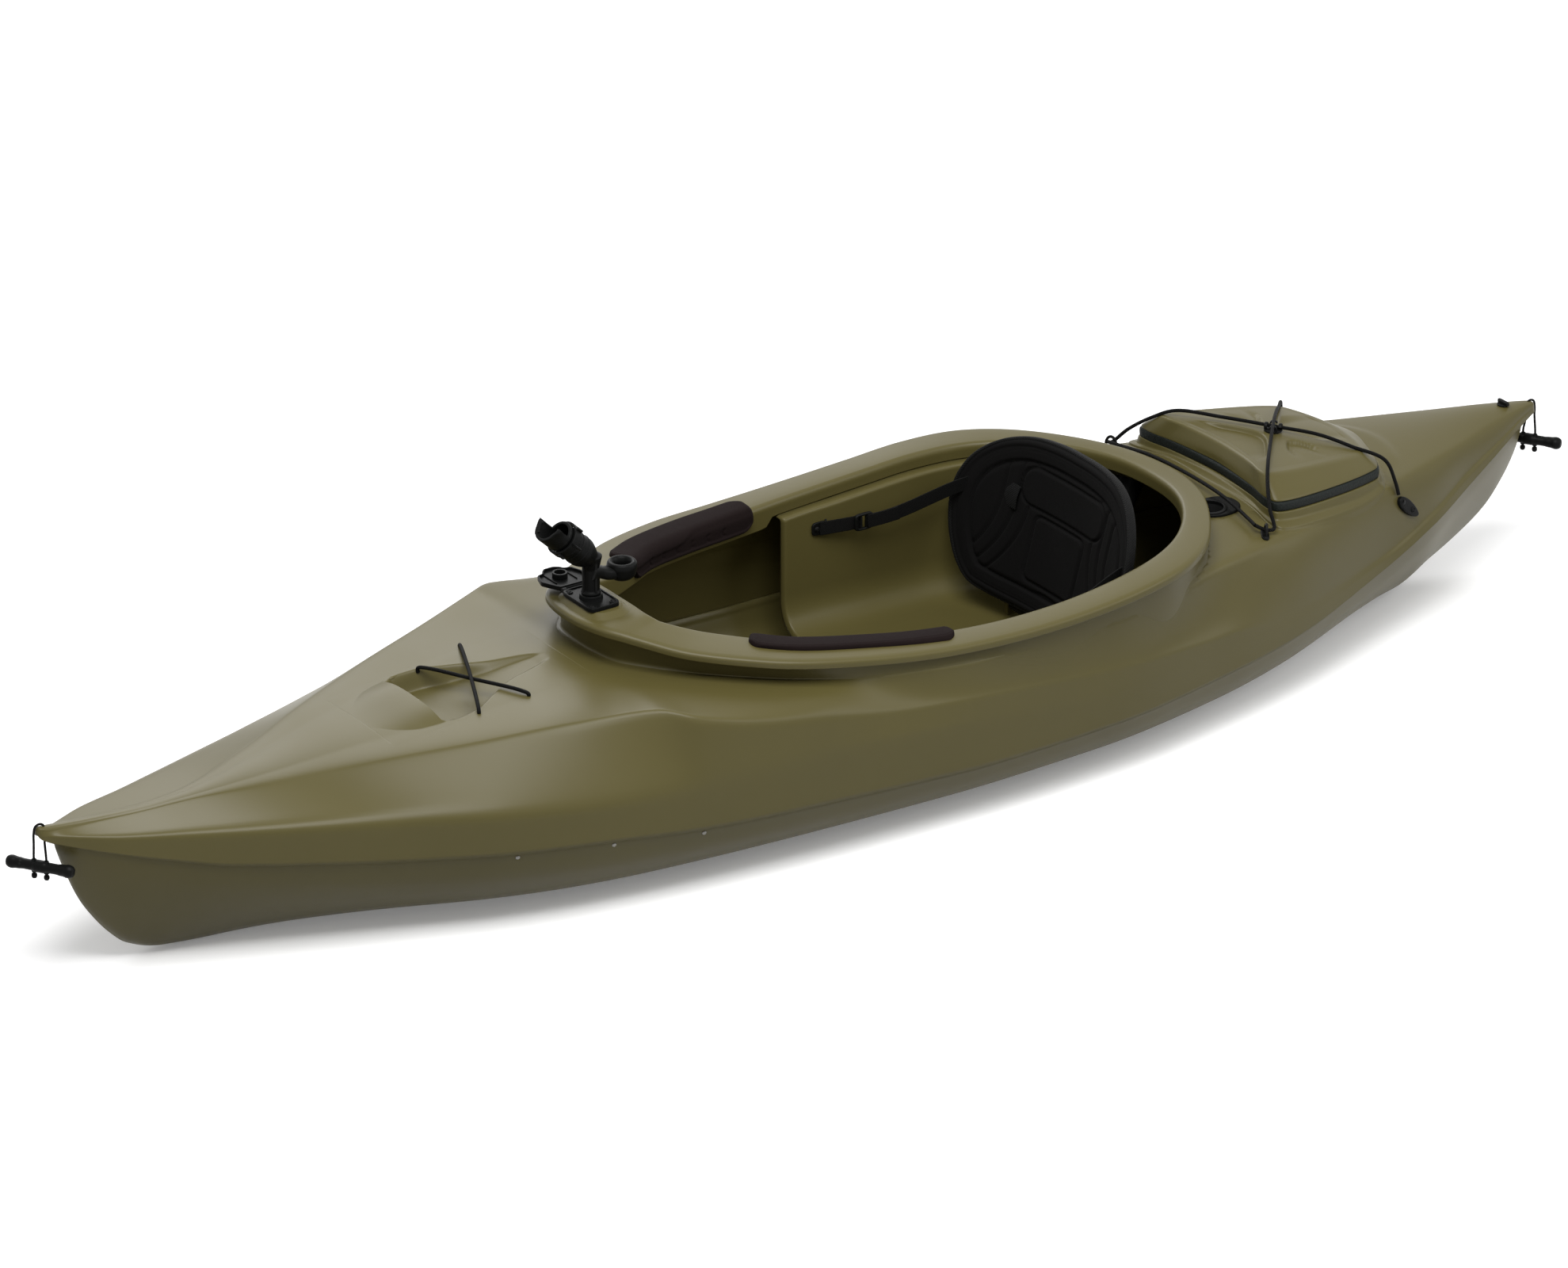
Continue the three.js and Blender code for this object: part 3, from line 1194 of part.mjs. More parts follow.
const baseZ = platformTop + seatingGap;
const baseTop = baseZ + baseThickness;
const collarTop = baseTop + collarHeight;
const pinY = -(baseWidth / 2 + coverKnuckle / 2 + coverRoom);
const pinZ = baseZ + coverKnuckle / 2 + seatingGap;
const lugX = coverLength / 4;
const pinHinge = (width, length) => placed(post(width / 2, length, 12), [holderX, pinY, pinZ], [0, 90, 0]);
const spigotRadius = 0.75 * swivelRadius;
const neckHeight = collarHeight + baseThickness; // collar and plate together
const holderBase = cutBy(
  joined(
    placed(plate(rounded(baseLength, baseWidth, baseRound), baseThickness), [holderX, 0, baseZ]),
    placed(post(collarRadius, collarHeight + seatWall), [holderX, 0, baseTop + (collarHeight - seatWall) / 2]),
    ...[1, -1].map((end) => placed(block(coverKnuckle, 1.5 * coverKnuckle, coverKnuckle),
      [holderX + lugX * end, pinY + coverKnuckle / 4, pinZ])),
    pinHinge(coverPinWidth, 2 * lugX),
  ),
  placed(post(spigotRadius + seatingGap, neckHeight), [holderX, 0, collarTop - neckHeight / 2 + seatWall / 2]),
);
addPiece("rod_holder_base", holderBase, plastic);

const coverOutlineShares = [
  [-0.3, 0], [-0.42, -0.25], [-0.5, -0.45], [-0.38, -0.8], [-0.1, -1], [0.12, -1], [0.38, -0.8],
  [0.5, -0.45], [0.42, -0.25], [0.3, 0],
];
const coverShape = (inset) => coverOutlineShares.map(([a, b]) => [
  a * (coverLength - 2 * inset), b * (coverWidth - 2 * inset) - inset,
]);
const coverPlace = [holderX, pinY, pinZ - coverThickness / 2];
const knuckleHalf = lugX - coverKnuckle / 2 - seatingGap;
const bossPlace = [holderX, pinY - 0.55 * coverWidth];
const bossFoot = coverPlace[2] + coverThickness;
const cover = cutBy(
  joined(
    placed(plate(coverShape(0), coverThickness + coverRim), coverPlace),
    placed(post(coverKnuckle / 2, 2 * knuckleHalf, 14), [holderX, pinY, pinZ], [0, 90, 0]),
  ),
  placed(plate(coverShape(coverRim), 2 * coverRim).translate(0, 0, coverThickness), coverPlace),
  pinHinge(coverPinWidth + 2 * seatingGap, 3 * lugX),
  ...[1, -1].map((end) => placed(block(coverLength, 1.9 * coverKnuckle, 4 * coverKnuckle),
    [holderX + end * (knuckleHalf + coverLength / 2), pinY, pinZ])),
).add(
  cutBy(
    solidOf(placed(post(coverBossRadius, coverBossHeight), [...bossPlace, bossFoot + coverBossHeight / 2.1])),
    placed(post(coverBossRadius - coverRim / 1.5, coverBossHeight), [...bossPlace, bossFoot + coverBossHeight]),
  ),
);
addPiece("holder_cover", cover, plastic);

const swivelFoot = collarTop + seatingGap;
const barrelPlace = [holderX + 0.3 * swivelRadius, 0, swivelFoot + swivelHeight - swivelRadius / 2];
const alongBarrel = (geometry) => placed(geometry, barrelPlace, [0, 90 - barrelTilt, 0]);
const barrelStart = barrelFoot;
const barrelEnd = barrelStart + barrelLength;
const cupTop = swivelFoot + swivelHeight - cupHeight;
const holderBody = cutBy(
  joined(
    placed(post(swivelRadius, swivelHeight), [holderX, 0, swivelFoot + swivelHeight / 2]),
    placed(post(spigotRadius, neckHeight - 1.5 * seatWall, 16),
      [holderX, 0, swivelFoot - neckHeight / 2 + seatWall]),
    alongBarrel(post(swivelRadius, 2 * barrelFoot, 20, barrelRadius)),
    alongBarrel(post(barrelRadius, barrelLength).translate(0, 0, barrelStart + barrelLength / 2)),
    placed(block(cupReach, armWidth, armHeight), [holderX - cupReach / 2, 0, cupTop - armHeight * 0.6],
      [0, armTilt, 0]),
    placed(post(cupRadius, cupHeight), [holderX - cupReach, 0, cupTop - cupHeight / 2]),
  ),
  alongBarrel(post(barrelBore, barrelLength).translate(0, 0, barrelEnd - barrelDepth + barrelLength / 2)),
  alongBarrel(block(2 * barrelRadius, 4 * barrelRadius, barrelLength)
    .translate(-1.15 * barrelRadius, 0, barrelEnd - cradleLength + barrelLength / 2)),
  placed(post(cupBore, cupHeight), [holderX - cupReach, 0, cupTop - cupDepth + cupHeight / 2]),
);
addPiece("rod_holder_body", holderBody, plastic);

const lockPlace = barrelEnd - cradleLength - lockWidth / 2 - 2 * sheetWall;
const lockRing = cutBy(
  joined(
    post(barrelRadius + seatingGap + lockThickness, lockWidth, 24),
    block(lockThickness, lockTab, lockWidth * 0.8).translate(0, barrelRadius + lockThickness + lockTab / 3, 0),
  ),
  post(barrelRadius + seatingGap, 3 * lockWidth, 24),
);
addPiece("holder_lock_ring", solidOf(alongBarrel(geometryOf(lockRing).translate(0, 0, lockPlace))), plastic);

// Foot braces: a rail on each side of the hull and a pedal that slides on it

const screwPlaceShares = [0.09, 0.5, 0.91];
for (const [name, side] of sides) {
  const faceAt = (x) => hullInside(x, railHeight) - railStandoff;
  const ends = [railBack, railFront].map((x) => [x, faceAt(x)]);
  const lean = Math.atan2(ends[1][1] - ends[0][1], railFront - railBack);
  const length = Math.hypot(ends[1][1] - ends[0][1], railFront - railBack);
  const railY = (x) => mix(ends[0][1], ends[1][1], (x - railBack) / (railFront - railBack));
  const leanDegrees = THREE.MathUtils.radToDeg(lean);
  const onRail = (geometry, x) => {
    const place = [x, railY(x) - railThickness / 2 / Math.cos(lean), railHeight];
    return mirrored(placed(geometry, place, [0, 0, leanDegrees]), side);
  };
  const bosses = screwPlaceShares.map((share) => {
    const x = mix(railBack, railFront, share);
    const half = railBossLength / 2;
    const low = railHeight - railWidth / 4;
    const high = railHeight + railWidth / 4;
    const onHullAt = (at, z) => [at, (hullInside(at, z) - 2 * seatingGap) * side, z];
    const inRail = (at, z) => [at, (railY(at) - railThickness / 2) * side, z];
    return loft([x - half, x + half].map((at) =>
      [inRail(at, low), onHullAt(at, low), onHullAt(at, high), inRail(at, high)]));
  });
  const rail = onRail(block(length, railThickness, railWidth), (railBack + railFront) / 2);
  addPiece("brace_rail_" + name, joined(rail, ...bosses), plastic);

  const room = 2 * seatingGap;
  const carriage = cutBy(
    joined(
      block(carriageLength, railThickness + 2 * carriageWall, railWidth + 2 * carriageWall),
      placed(block(pedalThickness, pedalWidth, pedalHeight),
        [0, -(railThickness / 2 + pedalWidth / 2 + carriageWall / 2), carriageWall], [0, 10, 0]),
    ),
    block(2 * carriageLength, railThickness + room, railWidth + room),
    block(2 * carriageLength, 4 * carriageWall, railWidth / 2 + 2 * room)
      .translate(0, railThickness / 2 + 2 * carriageWall, 0),
  );
  addPiece("foot_pedal_" + name, solidOf(onRail(geometryOf(carriage), pedalX)), plastic);
}

// Carrying toggles, each on a loop of cord that hangs through the end of the deck. The grip is turned a little
// across the boat, and both strands of the loop run through it down to a knot.
const toggleProfileShares = [
  [0, -0.5], [0.36, -0.5], [0.46, -0.47], [0.5, -0.4], [0.42, -0.25], [0.4, 0], [0.42, 0.25], [0.5, 0.4],
  [0.46, 0.47], [0.36, 0.5], [0, 0.5],
];
// Way of the loop's upper part, in thicknesses of the cord out from the hole and up from the deck's tip.
const strandShares = [[5, -7.3], [5.05, -2.8], [4.5, 0.6], [2, 1.55], [0.1, -0.05], [0, -2.8], [0, -7.8]];
for (const [name, end] of [["bow", 1], ["stern", -1]]) {
  const tipTop = deckTop(halfLength * end, 0);
  const middle = [(tipHoleX + toggleReach) * end, 0, tipTop - toggleDrop];
  const across = THREE.MathUtils.degToRad(90 + toggleTurn);
  const [outer, inner] = [-end, end].map((k) =>
    [middle[0] + toggleSpacing * k * Math.cos(across), toggleSpacing * k * Math.sin(across)]);
  const profile = toggleProfileShares.map(([r, z]) => new THREE.Vector2(r * toggleThickness, z * toggleLength));
  const grip = new THREE.LatheGeometry(profile, toggleSides);
  const bore = post(toggleCordThickness / 2 + 2 * seatingGap, 2 * toggleThickness, cordSides);
  const bores = [outer, inner].map((at) => placed(bore, [...at, middle[2]]));
  addPiece(name + "_toggle", cutBy(solidOf(placed(grip, middle, [0, 0, toggleTurn])), ...bores), plastic);

  const knotZ = middle[2] - toggleThickness / 2 - 0.7 * knotRadius;
  const risesFrom = (at) => [0.74, 0.3].map((share) => [...at, middle[2] + share * toggleThickness]);
  const strand = strandShares.map(([reach, rise]) =>
    [(tipHoleX + reach * toggleCordThickness) * end, 0, tipTop + rise * toggleCordThickness]);
  const route = [
    [...outer, knotZ], ...risesFrom(outer).reverse(), ...strand, ...risesFrom(inner), [...inner, knotZ],
  ];
  const knots = [outer, inner].map((at) =>
    placed(new THREE.SphereGeometry(knotRadius, 6, 4), [...at, knotZ - knotRadius / 2]));
  addPiece(
    name + "_toggle_cord",
    joined(tube(route, toggleCordThickness, toggleCordSteps, cordSides), ...knots),
    cord,
  );
}

export default kayak;
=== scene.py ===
"""A ten-foot sit-in fishing kayak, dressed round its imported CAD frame. Metres, +X to the bow, +Y to port, +Z up."""

import bmesh
import bpy
import numpy as np
from bpy.props import FloatProperty, FloatVectorProperty, IntProperty, PointerProperty
from mathutils import Matrix


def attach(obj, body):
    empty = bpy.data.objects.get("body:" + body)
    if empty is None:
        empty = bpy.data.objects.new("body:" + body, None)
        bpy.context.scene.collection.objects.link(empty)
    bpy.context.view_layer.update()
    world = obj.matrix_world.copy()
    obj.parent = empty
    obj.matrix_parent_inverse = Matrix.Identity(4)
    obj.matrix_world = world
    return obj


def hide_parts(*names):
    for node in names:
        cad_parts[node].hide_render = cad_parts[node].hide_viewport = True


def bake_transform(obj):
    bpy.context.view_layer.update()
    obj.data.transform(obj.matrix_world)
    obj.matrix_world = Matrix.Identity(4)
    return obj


bl_info = {
    "name": "Fishing Kayak",
    "version": (1, 0, 0),
    "blender": (4, 5, 0),
    "location": "View3D > Sidebar > Kayak",
    "description": "Builds the moulded shells, soft pads, cords and fittings of a sit-in fishing kayak",
    "category": "Add Mesh",
}

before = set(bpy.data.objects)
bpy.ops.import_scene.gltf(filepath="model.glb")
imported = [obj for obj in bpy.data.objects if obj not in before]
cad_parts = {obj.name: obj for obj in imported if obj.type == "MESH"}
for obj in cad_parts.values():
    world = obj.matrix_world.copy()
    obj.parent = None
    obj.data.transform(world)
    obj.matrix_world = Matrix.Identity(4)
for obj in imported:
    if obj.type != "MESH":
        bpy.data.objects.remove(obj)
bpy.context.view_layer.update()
MM = 0.001
SIDES = (("port", 1), ("starboard", -1))

# Table of offsets from stern to bow. Each row: station as a share of the half length, then half-breadth and
# height shares of the seam, the top of the side wall, the shoulder ridge and the brow, and the crown's height.
OFFSETS = np.array([
    [-1.0, 0.022, 0.79, 0.02, 0.8, 0.018, 0.818, 0.012, 0.836, 0.84],
    [-0.985, 0.05, 0.78, 0.046, 0.8, 0.042, 0.812, 0.03, 0.844, 0.85],
    [-0.92, 0.176, 0.718, 0.168, 0.75, 0.158, 0.765, 0.107, 0.857, 0.873],
    [-0.853, 0.288, 0.633, 0.278, 0.678, 0.264, 0.703, 0.214, 0.852, 0.88],
    [-0.78, 0.419, 0.555, 0.408, 0.596, 0.395, 0.62, 0.315, 0.855, 0.888],
    [-0.682, 0.54, 0.447, 0.53, 0.495, 0.518, 0.523, 0.462, 0.861, 0.9],
    [-0.518, 0.758, 0.352, 0.75, 0.44, 0.742, 0.5, 0.635, 0.879, 0.936],
    [-0.413, 0.86, 0.333, 0.853, 0.463, 0.847, 0.552, 0.745, 0.885, 0.94],
    [-0.232, 0.977, 0.312, 0.972, 0.49, 0.963, 0.615, 0.93, 0.882, 0.938],
    [-0.062, 1.0, 0.306, 0.992, 0.56, 0.978, 0.685, 0.946, 0.888, 0.94],
    [0.039, 0.993, 0.32, 0.985, 0.6, 0.958, 0.727, 0.89, 0.903, 0.955],
    [0.151, 0.977, 0.342, 0.965, 0.624, 0.935, 0.806, 0.69, 0.918, 0.968],
    [0.23, 0.957, 0.355, 0.945, 0.622, 0.906, 0.866, 0.5, 0.945, 0.976],
    [0.298, 0.934, 0.37, 0.922, 0.624, 0.86, 0.945, 0.4, 0.967, 0.98],
    [0.338, 0.918, 0.385, 0.905, 0.627, 0.755, 0.99, 0.375, 0.985, 0.987],
    [0.427, 0.872, 0.424, 0.86, 0.642, 0.62, 0.961, 0.31, 0.972, 0.978],
    [0.525, 0.783, 0.445, 0.77, 0.673, 0.491, 0.921, 0.246, 0.938, 0.945],
    [0.623, 0.64, 0.467, 0.625, 0.7, 0.342, 0.879, 0.171, 0.895, 0.903],
    [0.722, 0.495, 0.506, 0.48, 0.724, 0.19, 0.818, 0.095, 0.835, 0.842],
    [0.82, 0.346, 0.558, 0.332, 0.748, 0.056, 0.785, 0.028, 0.79, 0.793],
    [0.86, 0.284, 0.6, 0.27, 0.757, 0.04, 0.782, 0.02, 0.786, 0.788],
    [0.92, 0.196, 0.673, 0.182, 0.773, 0.034, 0.793, 0.017, 0.799, 0.802],
    [0.985, 0.05, 0.752, 0.046, 0.79, 0.03, 0.812, 0.016, 0.826, 0.83],
    [1.0, 0.022, 0.785, 0.02, 0.8, 0.016, 0.822, 0.01, 0.836, 0.84],
])

# Keel line with its curved stems: station share, height share.
KEEL = np.array([
    [-0.979, 0.66], [-0.97, 0.552], [-0.953, 0.427], [-0.928, 0.3], [-0.889, 0.19], [-0.841, 0.095],
    [-0.77, 0.0], [0.8, 0.0], [0.855, 0.012], [0.894, 0.076], [0.915, 0.16], [0.939, 0.3],
    [0.953, 0.409], [0.968, 0.58], [0.977, 0.7],
])

# Half sections of the hull below the seam at mid-length and at the ends: half-breadth share, height share.
MID_SECTION = np.array([[0, 0], [0.25, 0], [0.52, 0.03], [0.7, 0.13], [0.84, 0.31], [0.94, 0.58], [1, 1]])
END_SECTION = np.array([[0, 0], [0.18, 0.06], [0.38, 0.22], [0.58, 0.42], [0.76, 0.63], [0.9, 0.82], [1, 1]])

# Cockpit rim from the front round the port side to the back: inner edge, outer edge and foot of the skirt
# as station and half-breadth shares, and the rim's height share.
COCKPIT = np.array([
    [0.261, 0.0, 0.336, 0.0, 0.314, 0.0, 1.194],
    [0.261, 0.107, 0.334, 0.112, 0.312, 0.107, 1.194],
    [0.26, 0.208, 0.325, 0.227, 0.306, 0.214, 1.188],
    [0.253, 0.246, 0.305, 0.331, 0.294, 0.28, 1.164],
    [0.217, 0.347, 0.262, 0.51, 0.253, 0.44, 1.109],
    [0.163, 0.497, 0.197, 0.694, 0.19, 0.619, 1.067],
    [0.131, 0.579, 0.154, 0.788, 0.15, 0.716, 1.048],
    [0.066, 0.67, 0.075, 0.892, 0.073, 0.852, 1.021],
    [0.0, 0.74, 0.003, 0.945, 0.002, 0.913, 0.997],
    [-0.066, 0.79, -0.066, 0.975, -0.066, 0.943, 0.988],
    [-0.131, 0.814, -0.135, 0.991, -0.135, 0.95, 0.991],
    [-0.197, 0.817, -0.203, 0.992, -0.203, 0.938, 1.006],
    [-0.262, 0.796, -0.272, 0.975, -0.27, 0.913, 1.033],
    [-0.322, 0.734, -0.335, 0.911, -0.331, 0.86, 1.052],
    [-0.371, 0.619, -0.388, 0.769, -0.384, 0.734, 1.058],
    [-0.413, 0.441, -0.436, 0.534, -0.43, 0.507, 1.058],
    [-0.441, 0.227, -0.47, 0.275, -0.458, 0.259, 1.052],
    [-0.449, 0.0, -0.482, 0.0, -0.467, 0.0, 1.048],
])

# Hatch from the front round the port side to the back: outline of the gasket and of the lid's top.
HATCH = np.array([
    [-0.54, 0.0, -0.5485, 0.0], [-0.538, 0.16, -0.547, 0.12], [-0.5335, 0.32, -0.543, 0.24],
    [-0.527, 0.455, -0.537, 0.343], [-0.529, 0.523, -0.5385, 0.39], [-0.545, 0.542, -0.5535, 0.405],
    [-0.628, 0.497, -0.628, 0.376], [-0.6825, 0.437, -0.6785, 0.333], [-0.697, 0.407, -0.69, 0.305],
    [-0.71, 0.324, -0.7, 0.226], [-0.725, 0.187, -0.707, 0.12], [-0.738, 0.0, -0.709, 0.0],
])

# Foredeck recess: station, half-breadth and depth shares, from its aft tip to its front wall.
RECESS = np.array([
    [0.358, 0.03, 0.04], [0.385, 0.07, 0.2], [0.42, 0.107, 0.42], [0.46, 0.187, 0.8],
    [0.49, 0.25, 1.0], [0.517, 0.262, 1.0], [0.53, 0.235, 1.0],
])
# Hood in front of it: station and half-breadth shares.
HOOD = np.array([[0.51, 0.245], [0.526, 0.25], [0.555, 0.235], [0.58, 0.17], [0.6, 0.06]])

# Rear cord's arm from its cleat over the lid to the far pad eye, the run in front of the hatch, and the two
# foredeck cords, as shares of the half length, the half beam and the deck's height. STRAND is a toggle loop's
# upper way in thicknesses of its cord, out from the hole and up from the deck's tip.
LID_CORD = (
    (-0.7178, 0.4539, 0.8076), (-0.7152, 0.4379, 0.8788), (-0.7073, 0.3979, 0.9939), (-0.6824, 0.2804, 1.05),
    (-0.6562, 0.1602, 1.1), (-0.584, -0.1816, 1.1394), (-0.5486, -0.3551, 1.1455), (-0.5315, -0.4459, 1.0879),
    (-0.5171, -0.5447, 0.997), (-0.5112, -0.6088, 0.9182),
)
FRONT_CORD = (
    (-0.4967, -0.4806, 0.9485), (-0.5013, -0.2884, 0.9727), (-0.5039, 0, 0.9788), (-0.5013, 0.2884, 0.9727),
    (-0.4967, 0.4806, 0.9485),
)
FORE_CORD_A = (
    (0.4882, -0.2377, 0.9394), (0.4882, -0.2377, 0.9636), (0.4843, -0.2029, 0.9758), (0.4587, 0.024, 0.9848),
    (0.4331, 0.251, 0.9909), (0.4291, 0.2857, 0.9818), (0.4291, 0.2857, 0.9636),
)
FORE_CORD_B = (
    (0.4226, -0.3151, 0.9636), (0.4226, -0.3151, 0.9758), (0.4272, -0.2777, 0.9939), (0.4573, -0.016, 1.0076),
    (0.4869, 0.2403, 0.9788), (0.4915, 0.2804, 0.9576), (0.4915, 0.2804, 0.9333),
)
STRAND = ((5, -7.3), (4.9, -2.8), (4.1, 0), (2.2, 0.75), (0.5, -0.1), (0, -2.8), (0, -7.8))

# Places of the fittings, as in the CAD part. DECK_TIP is the deck's height at its two ends and HOLE the distance
# of the toggle cords' holes from them.
SEAT_FRONT, SEAT_BACK = -0.118, -0.505
HINGE = (-0.48, 0.0, 0.10619)
ANCHOR, BUCKLE, STRAP_Z = -0.19, -0.27, 0.262
HOLDER, PIN_Y, PIN_Z, PLATFORM_TOP = 0.461, -0.0525, 0.40662, 0.40202
ROD_TUBE = (-0.746, 0.108)
PAD_EYE = (-0.765, 0.222)
CLEAT = (-1.116, 0.236)
PLUG = -1.456
CLIP_X = -0.948
DECK_TIP = 0.2772
HOLE = 0.016

UP = (0, 0, 1)

# Sizes of details: the deck's nose, how far its holes lie inside what covers them, the hull's edge inside the
# seam, the gap at a seat, the low pad behind the hatch and the depth of the lid's hollows.
NOSE = 0.007
TUCK = 0.003
LAP = 0.0046
SEAT_GAP = 0.0003
PAD_CENTRE, PAD_FRONT, PAD_RISE = -1.0, -1.1, 0.0022
POCKET_DEPTH = 0.0085


class KayakSizes(bpy.types.PropertyGroup):
    """Sizes of the moulded shells and of what is fitted to them."""

    length: FloatProperty(name="Length", description="Overall length of the deck", default=3.048, unit="LENGTH")
    beam: FloatProperty(name="Beam", description="Width over the seam at mid-length", default=0.749, unit="LENGTH")
    deck_height: FloatProperty(
        name="Deck Height", description="Keel to the crown of the foredeck", default=0.33, unit="LENGTH"
    )
    wall: FloatProperty(name="Wall", description="Thickness of the moulded sheet", default=0.004, unit="LENGTH")
    lip_drop: FloatProperty(
        name="Lip Drop", description="Depth of the rim's inner lip", default=0.026, unit="LENGTH"
    )
    edge_drop: FloatProperty(
        name="Edge Drop", description="Depth of the rim's outer edge", default=0.015, unit="LENGTH"
    )
    skirt_inset: FloatProperty(
        name="Skirt Inset", description="Skirt's top inside the rim's outer edge", default=0.02, unit="LENGTH"
    )
    recess_depth: FloatProperty(
        name="Recess Depth", description="Depth of the foredeck recess", default=0.031, unit="LENGTH"
    )
    hood_rise: FloatProperty(
        name="Hood Rise", description="Height of the hood in front of the recess", default=0.011, unit="LENGTH"
    )
    gasket_height: FloatProperty(
        name="Gasket Height", description="Height of the foam band under the lid", default=0.017, unit="LENGTH"
    )
    lid_crown: FloatProperty(name="Lid Crown", description="Rise of the lid's middle", default=0.009, unit="LENGTH")
    cord: FloatProperty(
        name="Cord", description="Diameter of the elastic deck cord", default=0.0065, unit="LENGTH"
    )
    seat_height: FloatProperty(
        name="Seat Height", description="Top of the seat pan at its ends", default=0.092, unit="LENGTH"
    )
    stations: IntProperty(name="Stations", description="Sections along the deck", default=380, min=60)


class KayakColours(bpy.types.PropertyGroup):
    """Base colours of the finishes, linear."""

    shell: FloatVectorProperty(
        name="Shell", description="Moulded olive plastic", subtype="COLOR", default=(0.084, 0.071, 0.0225), size=3
    )
    fitting: FloatVectorProperty(
        name="Fitting", description="Black moulded nylon", subtype="COLOR", default=(0.0042, 0.0044, 0.0042), size=3
    )
    foam: FloatVectorProperty(
        name="Foam", description="Black cloth over moulded foam", subtype="COLOR",
        default=(0.0048, 0.0046, 0.0045), size=3,
    )
    pad: FloatVectorProperty(
        name="Pad", description="Brown-black cloth of the thigh pads", subtype="COLOR",
        default=(0.0105, 0.0068, 0.0066), size=3,
    )
    cord: FloatVectorProperty(
        name="Cord", description="Braided sleeve of the cords", subtype="COLOR", default=(0.0042, 0.0042, 0.004), size=3
    )
    gasket: FloatVectorProperty(
        name="Gasket", description="Cellular rubber of the hatch band", subtype="COLOR",
        default=(0.0085, 0.011, 0.0098), size=3,
    )
    steel: FloatVectorProperty(
        name="Steel", description="Stainless screws and pin", subtype="COLOR", default=(0.17, 0.165, 0.15), size=3
    )


def size(name):
    """A size from the scene's property group."""
    return getattr(bpy.context.scene.kayak_sizes, name)


def half_length():
    """Half the length of the deck."""
    return size("length") / 2


def half_beam():
    """Half the width over the seam."""
    return size("beam") / 2


def deck_height():
    """Height of the foredeck's crown over the keel."""
    return size("deck_height")


def station_share(x):
    """A station as a share of the half length."""
    return x / half_length()


# Reading the tables


def fair(table, column, at):
    """Cubic through a table's column: Hermite spans whose slopes are harmonic means, so it never overshoots."""
    x, y = table[:, 0], table[:, column]
    gradient = np.diff(y) / np.diff(x)
    before, after = gradient[:-1], gradient[1:]
    both = np.where(before * after > 0, before + after, 1.0)
    inner = np.where(before * after > 0, 2 * before * after / both, 0.0)
    slope = np.concatenate([gradient[:1], inner, gradient[-1:]])
    at = np.asarray(at, float)
    k = np.clip(np.searchsorted(x, at) - 1, 0, len(x) - 2)
    h = x[k + 1] - x[k]
    t = np.clip((at - x[k]) / h, 0, 1)
    return (
        y[k] * (2 * t**3 - 3 * t**2 + 1)
        + slope[k] * h * (t**3 - 2 * t**2 + t)
        + y[k + 1] * (3 * t**2 - 2 * t**3)
        + slope[k + 1] * h * (t**3 - t**2)
    )


def breadth_of(table, column, at):
    """Half-breadth in metres from a table's column, at shares of the half length."""
    return fair(table, column, at) * half_beam()


def height_of(table, column, at):
    """Height in metres from a table's column, at shares of the half length."""
    return fair(table, column, at) * deck_height()


def smooth(t):
    """Smoothstep: 3t^2 - 2t^3 between 0 and 1."""
    t = np.clip(t, 0, 1)
    return t * t * (3 - 2 * t)


def mix(a, b, t):
    """Straight mix from a to b."""
    return a + (b - a) * t


def round_edge(inset, radius):
    """Quarter circle: 0 at an edge, 1 from a radius in."""
    return np.sqrt(np.clip(1 - (1 - np.clip(inset / radius, 0, 1)) ** 2, 0, 1))


def running(steps):
    """Running sum that starts at 0."""
    return np.concatenate([[0], np.cumsum(steps)])


def lengths(line):
    """Lengths of a line's steps."""
    return np.linalg.norm(np.diff(line, axis=0), axis=-1)


def unit(vectors):
    """Lengths and directions of rows of vectors."""
    length = np.linalg.norm(vectors, axis=1)
    return length, vectors / length[:, None]


def curve_through(points, at, closed=False):
    """Centripetal Catmull-Rom curve through points at shares of the whole: knots spaced by the root of distance."""
    p = np.asarray(points, float)
    n = len(p)
    place = np.asarray(at, float) * (n if closed else n - 1)
    k = np.floor(place).astype(int)
    if not closed:
        k = np.clip(k, 0, n - 2)
    w = (place - k)[..., None]
    if closed:
        a, b, c, d = (p[(k + i) % n] for i in (-1, 0, 1, 2))
    else:
        wide = np.vstack([2 * p[0] - p[1], p, 2 * p[-1] - p[-2]])
        a, b, c, d = (wide[k + i] for i in (0, 1, 2, 3))
    step = [np.maximum(np.sum((q - r) ** 2, -1, keepdims=True), 1e-16) ** 0.25 for q, r in ((b, a), (c, b), (d, c))]
    t1 = ((b - a) / step[0] - (c - a) / (step[0] + step[1]) + (c - b) / step[1]) * step[1]
    t2 = ((c - b) / step[1] - (d - b) / (step[1] + step[2]) + (d - c) / step[2]) * step[1]
    return b + t1 * w + (3 * (c - b) - 2 * t1 - t2) * w**2 + (2 * (b - c) + t1 + t2) * w**3


def loop_through(table, columns, at):
    """Closed curve through a half table and its mirror image, at shares of the way round."""
    port = table[:, columns] * np.array([half_length(), half_beam()])
    starboard = port[1:-1][::-1] * [1, -1]
    return curve_through(np.vstack([port, starboard]), at, closed=True)


